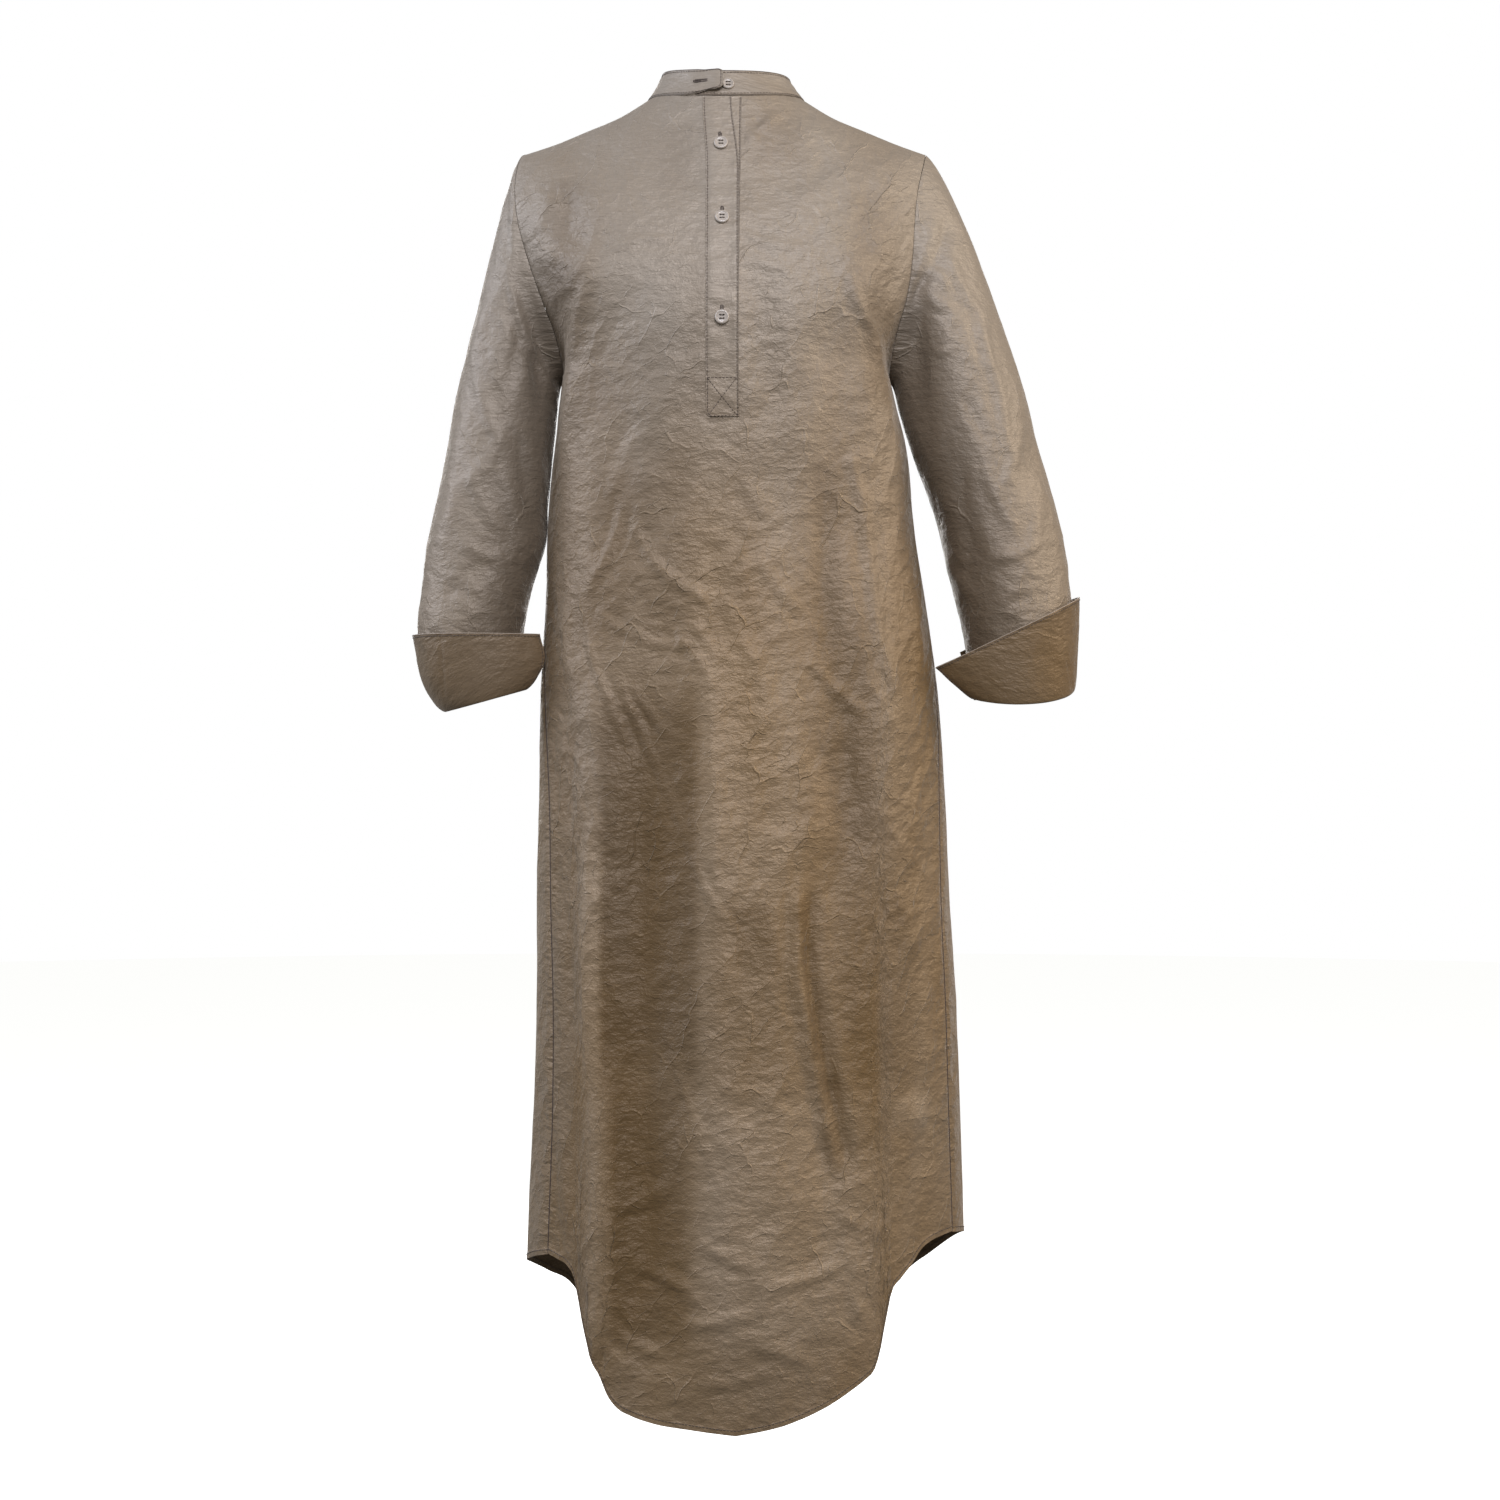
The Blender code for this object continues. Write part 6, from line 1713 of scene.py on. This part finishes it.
def tubes(lines, radius):
    """Mesh of thin round tubes along lines of points and normals in mm."""
    points, faces = [], []
    turn = np.arange(6) * math.pi / 3
    for line, ups in lines:
        head = unit(np.gradient(line, axis=0))
        across = unit(np.cross(head, ups))
        over = np.cross(across, head)
        cosine, sine = np.cos(turn)[None, :, None], np.sin(turn)[None, :, None]
        ring = cosine * across[:, None] + sine * over[:, None]
        first = sum(len(p) for p in points)
        points.append((line[:, None] + ring * radius).reshape(-1, 3))
        faces.append(grid_faces(len(line), 6, closed=True) + first)
    return smooth_mesh("thread", np.concatenate(points), np.concatenate(faces))


class ClothLook(bpy.types.PropertyGroup):
    """Colours and finish of the silk."""

    cool: FloatVectorProperty(
        name="Cool yarn", description="Grey mauve tone of the cloth", subtype="COLOR", size=3,
        min=0, max=1, default=linear("998E80"),
    )
    warm: FloatVectorProperty(
        name="Warm yarn", description="Golden brown tone of the cloth", subtype="COLOR", size=3,
        min=0, max=1, default=linear("836740"),
    )
    inside: FloatProperty(
        name="Inside", description="Brightness of the inside against the outside", subtype="FACTOR",
        min=0.2, max=1, default=0.8,
    )
    slub_contrast: FloatProperty(
        name="Slub contrast", description="How far slubs differ from the ground", subtype="FACTOR",
        min=0, max=0.5, default=0.08,
    )
    roughness: FloatProperty(
        name="Roughness", description="Roughness of the silk's sheen", subtype="FACTOR",
        min=0.1, max=1, default=0.5,
    )
    sheen: FloatProperty(
        name="Sheen", description="Weight of the soft sheen at grazing angles", subtype="FACTOR",
        min=0, max=1, default=0.35,
    )
    creasing: FloatProperty(
        name="Creasing", description="Height of the worn creases against the modelled ones",
        subtype="FACTOR", min=0, max=1.5, default=1.0,
    )


class SewingLook(bpy.types.PropertyGroup):
    """Sizes and colour of the sewing."""

    pitch: FloatProperty(
        name="Stitch length", description="Length of one stitch", unit="LENGTH",
        min=0.001, max=0.01, default=0.003,
    )
    thread: FloatProperty(
        name="Thread radius", description="Half the thickness of the thread", unit="LENGTH",
        min=0.0001, max=0.001, default=0.00034,
    )
    # Dark brown: partly the thread's own colour and partly painted shade along the stitched edges.
    colour: FloatVectorProperty(
        name="Thread colour", description="Colour of the sewing thread", subtype="COLOR", size=3,
        min=0, max=1, default=linear("54463A"),
    )
    button: FloatVectorProperty(
        name="Button colour", description="Colour of the shell buttons", subtype="COLOR", size=3,
        min=0, max=1, default=linear("BDB3A8"),
    )


class StudioLook(bpy.types.PropertyGroup):
    """Floor and lights of the studio."""

    floor: FloatVectorProperty(
        name="Floor colour", description="Colour of the painted floor", subtype="COLOR", size=3,
        min=0, max=1, default=linear("F7F7F5"),
    )
    sides: FloatProperty(
        name="Side lights", description="Power of the two large lights at the sides", unit="POWER",
        min=0, max=500, default=26,
    )
    front: FloatProperty(
        name="Front light", description="Power of the large light in front", unit="POWER",
        min=0, max=500, default=50,
    )
    ambient: FloatProperty(
        name="Room light", description="Light that comes from all over the room",
        min=0, max=3, default=0.2,
    )


class DressOperator:
    """What the operators of the dress share."""

    bl_options = {"REGISTER", "UNDO"}


class DRESS_OT_panels(DressOperator, bpy.types.Operator):
    """Front with its parted neck slit, and back, both with worn creases and a narrow hem"""

    bl_idname = "dress.panels"
    bl_label = "Front and back"

    def execute(self, context):
        front, back = panels(context.scene.dress_cloth.creasing)
        faces, slit = front_faces()
        opened = part_slit(front, slit)
        sheet = shell("front_silk", opened, faces, hem_thickness(opened), silk("body"), "front")
        sheet = grid_shell("back", back, hem_thickness(back), silk("body"))
        return {"FINISHED"}


class DRESS_OT_sleeves(DressOperator, bpy.types.Operator):
    """Both sleeves, set into the armholes and crumpled above the elbow"""

    bl_idname = "dress.sleeves"
    bl_label = "Sleeves"

    def execute(self, context):
        for side in ("left", "right"):
            surface = sleeve_surface(side, context.scene.dress_cloth.creasing)
            sheet = grid_shell(side + "_sleeve", surface, SLEEVE_CLOTH, silk("sleeve"), closed=True)
        return {"FINISHED"}


class DRESS_OT_cuffs(DressOperator, bpy.types.Operator):
    """Both turned-back cuffs, open on the side of the body"""

    bl_idname = "dress.cuffs"
    bl_label = "Cuffs"

    def execute(self, context):
        for side in ("left", "right"):
            surface = cuff_surface(side, context.scene.dress_cloth.creasing)
            sheet = grid_shell(side + "_cuff", surface, CUFF_LAYERS, silk("faced"))
        return {"FINISHED"}


class DRESS_OT_collar(DressOperator, bpy.types.Operator):
    """Band collar, faced and stitched round its edges"""

    bl_idname = "dress.collar"
    bl_label = "Collar"

    def execute(self, context):
        sheet = grid_shell("collar", collar_surface(), COLLAR_LAYERS, silk("faced"))
        return {"FINISHED"}


class DRESS_OT_placket(DressOperator, bpy.types.Operator):
    """Both strips of the half placket, one lapped over the other"""

    bl_idname = "dress.placket"
    bl_label = "Placket"

    def execute(self, context):
        creasing = context.scene.dress_cloth.creasing
        for name, surface, thickness, cut, area in (
            ("placket_under", under_strip(creasing), UNDERLAP_LAYERS, UNDERLAP_CUT, UNDERLAP_AREA),
            ("placket_over", over_strip(creasing), STRIP_LAYERS, PLACKET_CUT, PLACKET_AREA),
        ):
            sheet = grid_shell(name, surface, thickness, silk("faced"))
        return {"FINISHED"}


class DRESS_OT_buttons(DressOperator, bpy.types.Operator):
    """Four shell buttons, each sewn on with two bars of thread"""

    bl_idname = "dress.buttons"
    bl_label = "Buttons"

    def execute(self, context):
        sewing = context.scene.dress_sewing
        shell_look = pearl_shell("trochus_shell_polished", tuple(sewing.button), linear("A59A8D"))
        thread = spun_thread("button_thread_twisted", linear("4E433A"))
        strip = over_strip(context.scene.dress_cloth.creasing)
        looks = (shell_look, thread)
        for n, height in enumerate(PLACKET_BUTTON_HEIGHTS):
            centre, normal = middle_of(strip, height)
            normal = unit(normal)
            centre = centre + normal * (STRIP_LAYERS / 2 + BUTTON_SHANK)
            turned_button(f"button_{n + 1}", BUTTON_DIAMETER, centre, normal, *looks)
        place = collar_button_place()
        turned_button("collar_button", COLLAR_BUTTON_DIAMETER, *place, *looks)
        return {"FINISHED"}


class DRESS_OT_sewing(DressOperator, bpy.types.Operator):
    """Rows of stitches at the hems, placket, collar and cuffs, and the worked buttonholes"""

    bl_idname = "dress.sewing"
    bl_label = "Sewing"

    def execute(self, context):
        creasing = context.scene.dress_cloth.creasing
        thread = spun_thread("sewing_thread_twisted", tuple(context.scene.dress_sewing.colour))
        front, back = panels(creasing)
        lift = (PANEL_CLOTH + HEM_EXTRA) / 2
        for label, surface in (("front", front), ("back", back)):
            lines = [line_at(surface, 0, HEM_STITCH, lift), line_at(surface, 0, HEM_STITCH, -lift)]
            stitches(label + "_hem_stitches", lines, thread)
        strip, under = over_strip(creasing), under_strip(creasing)
        lift = STRIP_LAYERS / 2
        lines = both_edges(strip, 1, PLACKET_STITCH, lift)
        lines += [line_at(strip, 0, PLACKET_STITCH, lift), *box_lines(strip, lift)]
        stitches("placket_over_stitches", lines, thread)
        lines = [line_at(under, 1, UNDERLAP_STITCH, UNDERLAP_LAYERS / 2, from_end=True)]
        stitches("placket_under_stitches", lines, thread)
        # Painted highlight: a pale cord along the free edges of the cuffs.
        edge_highlight = spun_thread("edge_silk_rolled", linear("A39280"))
        collar = collar_surface()
        lift = COLLAR_LAYERS / 2
        lines = [line for axis in (0, 1) for line in both_edges(collar, axis, EDGE_STITCH, lift)]
        stitches("collar_stitches", lines, thread)
        for side in ("left", "right"):
            cuff = cuff_surface(side, creasing)
            outer = Surface(*[values[CUFF_OUTER_ROW:] for values in cuff])
            lift = CUFF_LAYERS / 2
            lines = [line_at(outer, 0, EDGE_STITCH, lift, from_end=True)]
            lines += both_edges(outer, 1, EDGE_STITCH, lift)
            stitches(side + "_cuff_stitches", lines, thread)
            # Painted highlight along the cuff's free edge, where its turned edge catches the light.
            highlight_cord = [line_at(outer, 0, EDGE_HIGHLIGHT_IN, lift - EDGE_HIGHLIGHT_IN, from_end=True)]
            highlight_cord = tubes(highlight_cord, EDGE_HIGHLIGHT_RADIUS)
            place_piece(side + "_cuff_rolled_edge", highlight_cord, edge_highlight)
        # Near-black cord: painted shade of the side seams, and at the collar partly seam thread,
        # partly painted shade.
        seam_thread_and_shade = spun_thread("seam_thread_twisted", linear("3B2A20"))
        # Side seams: a near-black cord as painted shade in their groove.
        seams = [side_seam(front, from_end) for from_end in (False, True)]
        place_piece("side_seam_stitches", tubes(seams, SEAM_SHADE_CORD), seam_thread_and_shade)
        # Collar neck seam and top edge: dark cord, partly seam thread and partly painted shade of
        # the seam line.
        rim = both_edges(collar, 0, COLLAR_SEAM_IN, lift + COLLAR_SEAM_LIFT)[::-1]
        rim = tubes(rim, COLLAR_SEAM_RADIUS)
        place_piece("collar_seam_stitches", rim, seam_thread_and_shade)
        holes_thread = spun_thread("buttonhole_thread_twisted", linear("4A3D33"))
        worked = []
        for height in PLACKET_BUTTON_HEIGHTS:
            centre, normal = middle_of(strip, height + BUTTONHOLE_ABOVE)
            up = middle_of(strip, height + BUTTONHOLE_ABOVE + 2)[0] - centre
            centre = centre + normal * (STRIP_LAYERS / 2)
            worked += buttonhole(centre, up, normal, PLACKET_HOLE_LENGTH)
        worked += collar_buttonhole(collar)
        worked = tubes(worked, HOLE_THREAD_RADIUS)
        place_piece("buttonhole_stitches", worked, holes_thread)
        return {"FINISHED"}


class DRESS_OT_stage(DressOperator, bpy.types.Operator):
    """Pale floor, soft lights and the camera"""

    bl_idname = "dress.stage"
    bl_label = "Stage"

    def execute(self, context):
        look = context.scene.dress_studio
        place = (0, 0, FLOOR)
        bpy.ops.mesh.primitive_circle_add(vertices=96, radius=9.0, fill_type="NGON", location=place)
        floor = context.object
        floor.name = "studio_floor"
        floor.data.materials.append(painted_floor("matt_emulsion_rolled", tuple(look.floor)))
        floor.visible_diffuse = floor.visible_glossy = False
        for name, place, size, power, tint in (
            ("left_light", (-2.1, -0.15, 0.5), (0.8, 1.4), look.sides * LEFT_SHARE, "E4ECFF"),
            ("right_light", (2.1, -0.35, 0.5), (0.8, 1.4), look.sides, "FFF0DC"),
            ("front_light", (0.3, -2.1, 0.85), (1.4, 1.1), look.front, "F2F4FF"),
            ("back_light", (-0.2, 2.3, 0.1), (1.8, 1.2), look.front * BACK_SHARE, "FFFFFF"),
        ):
            soft_light(name, place, size, power, linear(tint))
        world = bpy.data.worlds.new("studio_room")
        context.scene.world = world
        world.use_nodes = True
        background = world.node_tree.nodes["Background"]
        inputs = {"Value": add(world, "LightPath", {}, "Is Camera Ray")}
        inputs.update({"To Min": look.ambient, "To Max": 1.0})
        brightness = add(world, "MapRange", inputs, "Result")
        world.node_tree.links.new(brightness, background.inputs["Strength"])
        background.inputs["Color"].default_value = (1, 1, 1, 1)
        context.scene.view_settings.view_transform = "Standard"
        camera = bpy.data.cameras.new("camera")
        camera.sensor_fit = "HORIZONTAL"
        camera.sensor_width = 36.0
        camera.lens = 36.0 * VIEW_DISTANCE / VIEW_WIDTH
        item = bpy.data.objects.new("camera", camera)
        item.location = (VIEW_CENTRE[0], -VIEW_DISTANCE, VIEW_CENTRE[1])
        item.rotation_euler = (math.pi / 2, 0, 0)
        context.scene.collection.objects.link(item)
        context.scene.camera = item
        return {"FINISHED"}


def soft_light(name, place, size, power, colour):
    """Large soft light aimed at the middle of the dress."""
    light = bpy.data.lights.new(name, "AREA")
    light.shape = "RECTANGLE"
    light.size, light.size_y = size
    light.energy = power
    light.color = colour
    item = bpy.data.objects.new(name, light)
    item.location = place
    aim = Vector((VIEW_CENTRE[0], 0.0, VIEW_CENTRE[1])) - Vector(place)
    item.rotation_euler = aim.to_track_quat("-Z", "Y").to_euler()
    item.visible_camera = False
    bpy.context.scene.collection.objects.link(item)


def hem_thickness(surface):
    """Thickness of a panel: doubled along its narrow hem."""
    up = surface.detail.reshape(-1, 3)[:, 0]
    return PANEL_CLOTH + HEM_EXTRA * (1 - ease(HEM_WIDTH - 0.6, HEM_WIDTH + 0.6, up))


def collar_button_place():
    """Centre and facing of the collar button on the end beneath."""
    right_reach = SHOULDER[-1].right - CHEST_CENTRE
    turned = 360 - math.degrees(math.asin((COLLAR_BUTTON_X - CHEST_CENTRE) / right_reach))
    around = np.array([turned - 1.0, turned, turned + 1.0])
    low = collar_point(around, COLLAR_BUTTON_SHARE - 0.1)
    high = collar_point(around, COLLAR_BUTTON_SHARE + 0.1)
    normal = np.cross(low[2] - low[0], high[1] - low[1])
    normal *= -np.sign(normal[1]) / np.linalg.norm(normal)
    return (low[1] + high[1]) / 2 + normal * (COLLAR_LAYERS / 2 + BUTTON_SHANK), normal


def collar_buttonhole(collar):
    """Level buttonhole near the end on top of the collar, as lines of thread."""
    row = int(COLLAR_ROWS * 0.5)
    run = path_lengths(collar.points[row][:, None], 0)[:, 0]
    around = COLLAR_HOLE_IN + np.array([-1.0, 0.0, 1.0])
    places = read_line(around, run, collar.points[row])
    normal = read_line(COLLAR_HOLE_IN, run, collar.normals[row])
    centre = places[1] + normal * (COLLAR_LAYERS / 2)
    return buttonhole(centre, places[2] - places[0], normal, COLLAR_HOLE_LENGTH)


def box_lines(strip, lift):
    """Sewn box with a cross at the lower end of the placket."""
    inset, height, width = PLACKET_STITCH, BOX_HEIGHT, PLACKET_RIGHT - PLACKET_LEFT
    run = path_lengths(strip.points, 0)[:, strip.points.shape[1] // 2]
    across = path_lengths(strip.points, 1)
    near, far = inset, width - inset
    lines = []
    for x0, y0, x1, y1 in (
        (near, inset, far, height), (far, inset, near, height), (near, height, far, height),
    ):
        points, ups = [], []
        for t in np.linspace(0, 1, 14):
            x, y = x0 + (x1 - x0) * t, y0 + (y1 - y0) * t
            r = np.interp(y, run, np.arange(len(run)))
            k = int(min(r, len(run) - 2))
            for found, values in ((points, strip.points), (ups, strip.normals)):
                low, high = [read_line(x, across[j], values[j]) for j in (k, k + 1)]
                found.append(low * (1 - (r - k)) + high * (r - k))
        points, ups = np.array(points), np.array(ups)
        lines.append((points + ups * lift, ups))
    return lines


OPERATORS = (
    DRESS_OT_panels,
    DRESS_OT_sleeves,
    DRESS_OT_cuffs,
    DRESS_OT_collar,
    DRESS_OT_placket,
    DRESS_OT_buttons,
    DRESS_OT_sewing,
    DRESS_OT_stage,
)
GROUPS = (("dress_cloth", ClothLook), ("dress_sewing", SewingLook), ("dress_studio", StudioLook))


class DRESS_PT_sidebar(bpy.types.Panel):
    """Lists the sizes and colours of the dress and the buttons that make its pieces"""

    bl_idname = "DRESS_PT_sidebar"
    bl_label = "Shirt Dress"
    bl_space_type = "VIEW_3D"
    bl_region_type = "UI"
    bl_category = "Dress"

    def draw(self, context):
        for name, kind in GROUPS:
            box = self.layout.box()
            for field in kind.__annotations__:
                box.prop(getattr(context.scene, name), field)
        for operator in OPERATORS:
            self.layout.operator(operator.bl_idname)


def register():
    for name, kind in GROUPS:
        bpy.utils.register_class(kind)
        setattr(bpy.types.Scene, name, PointerProperty(type=kind))
    for operator in OPERATORS:
        bpy.utils.register_class(operator)
    bpy.utils.register_class(DRESS_PT_sidebar)


def unregister():
    bpy.utils.unregister_class(DRESS_PT_sidebar)
    for operator in reversed(OPERATORS):
        bpy.utils.unregister_class(operator)
    for name, kind in reversed(GROUPS):
        delattr(bpy.types.Scene, name)
        bpy.utils.unregister_class(kind)


def main():
    register()
    bpy.ops.dress.panels()
    bpy.ops.dress.sleeves()
    bpy.ops.dress.cuffs()
    bpy.ops.dress.collar()
    bpy.ops.dress.placket()
    bpy.ops.dress.buttons()
    bpy.ops.dress.sewing()
    bpy.ops.dress.stage()


if __name__ == "__main__":
    main()
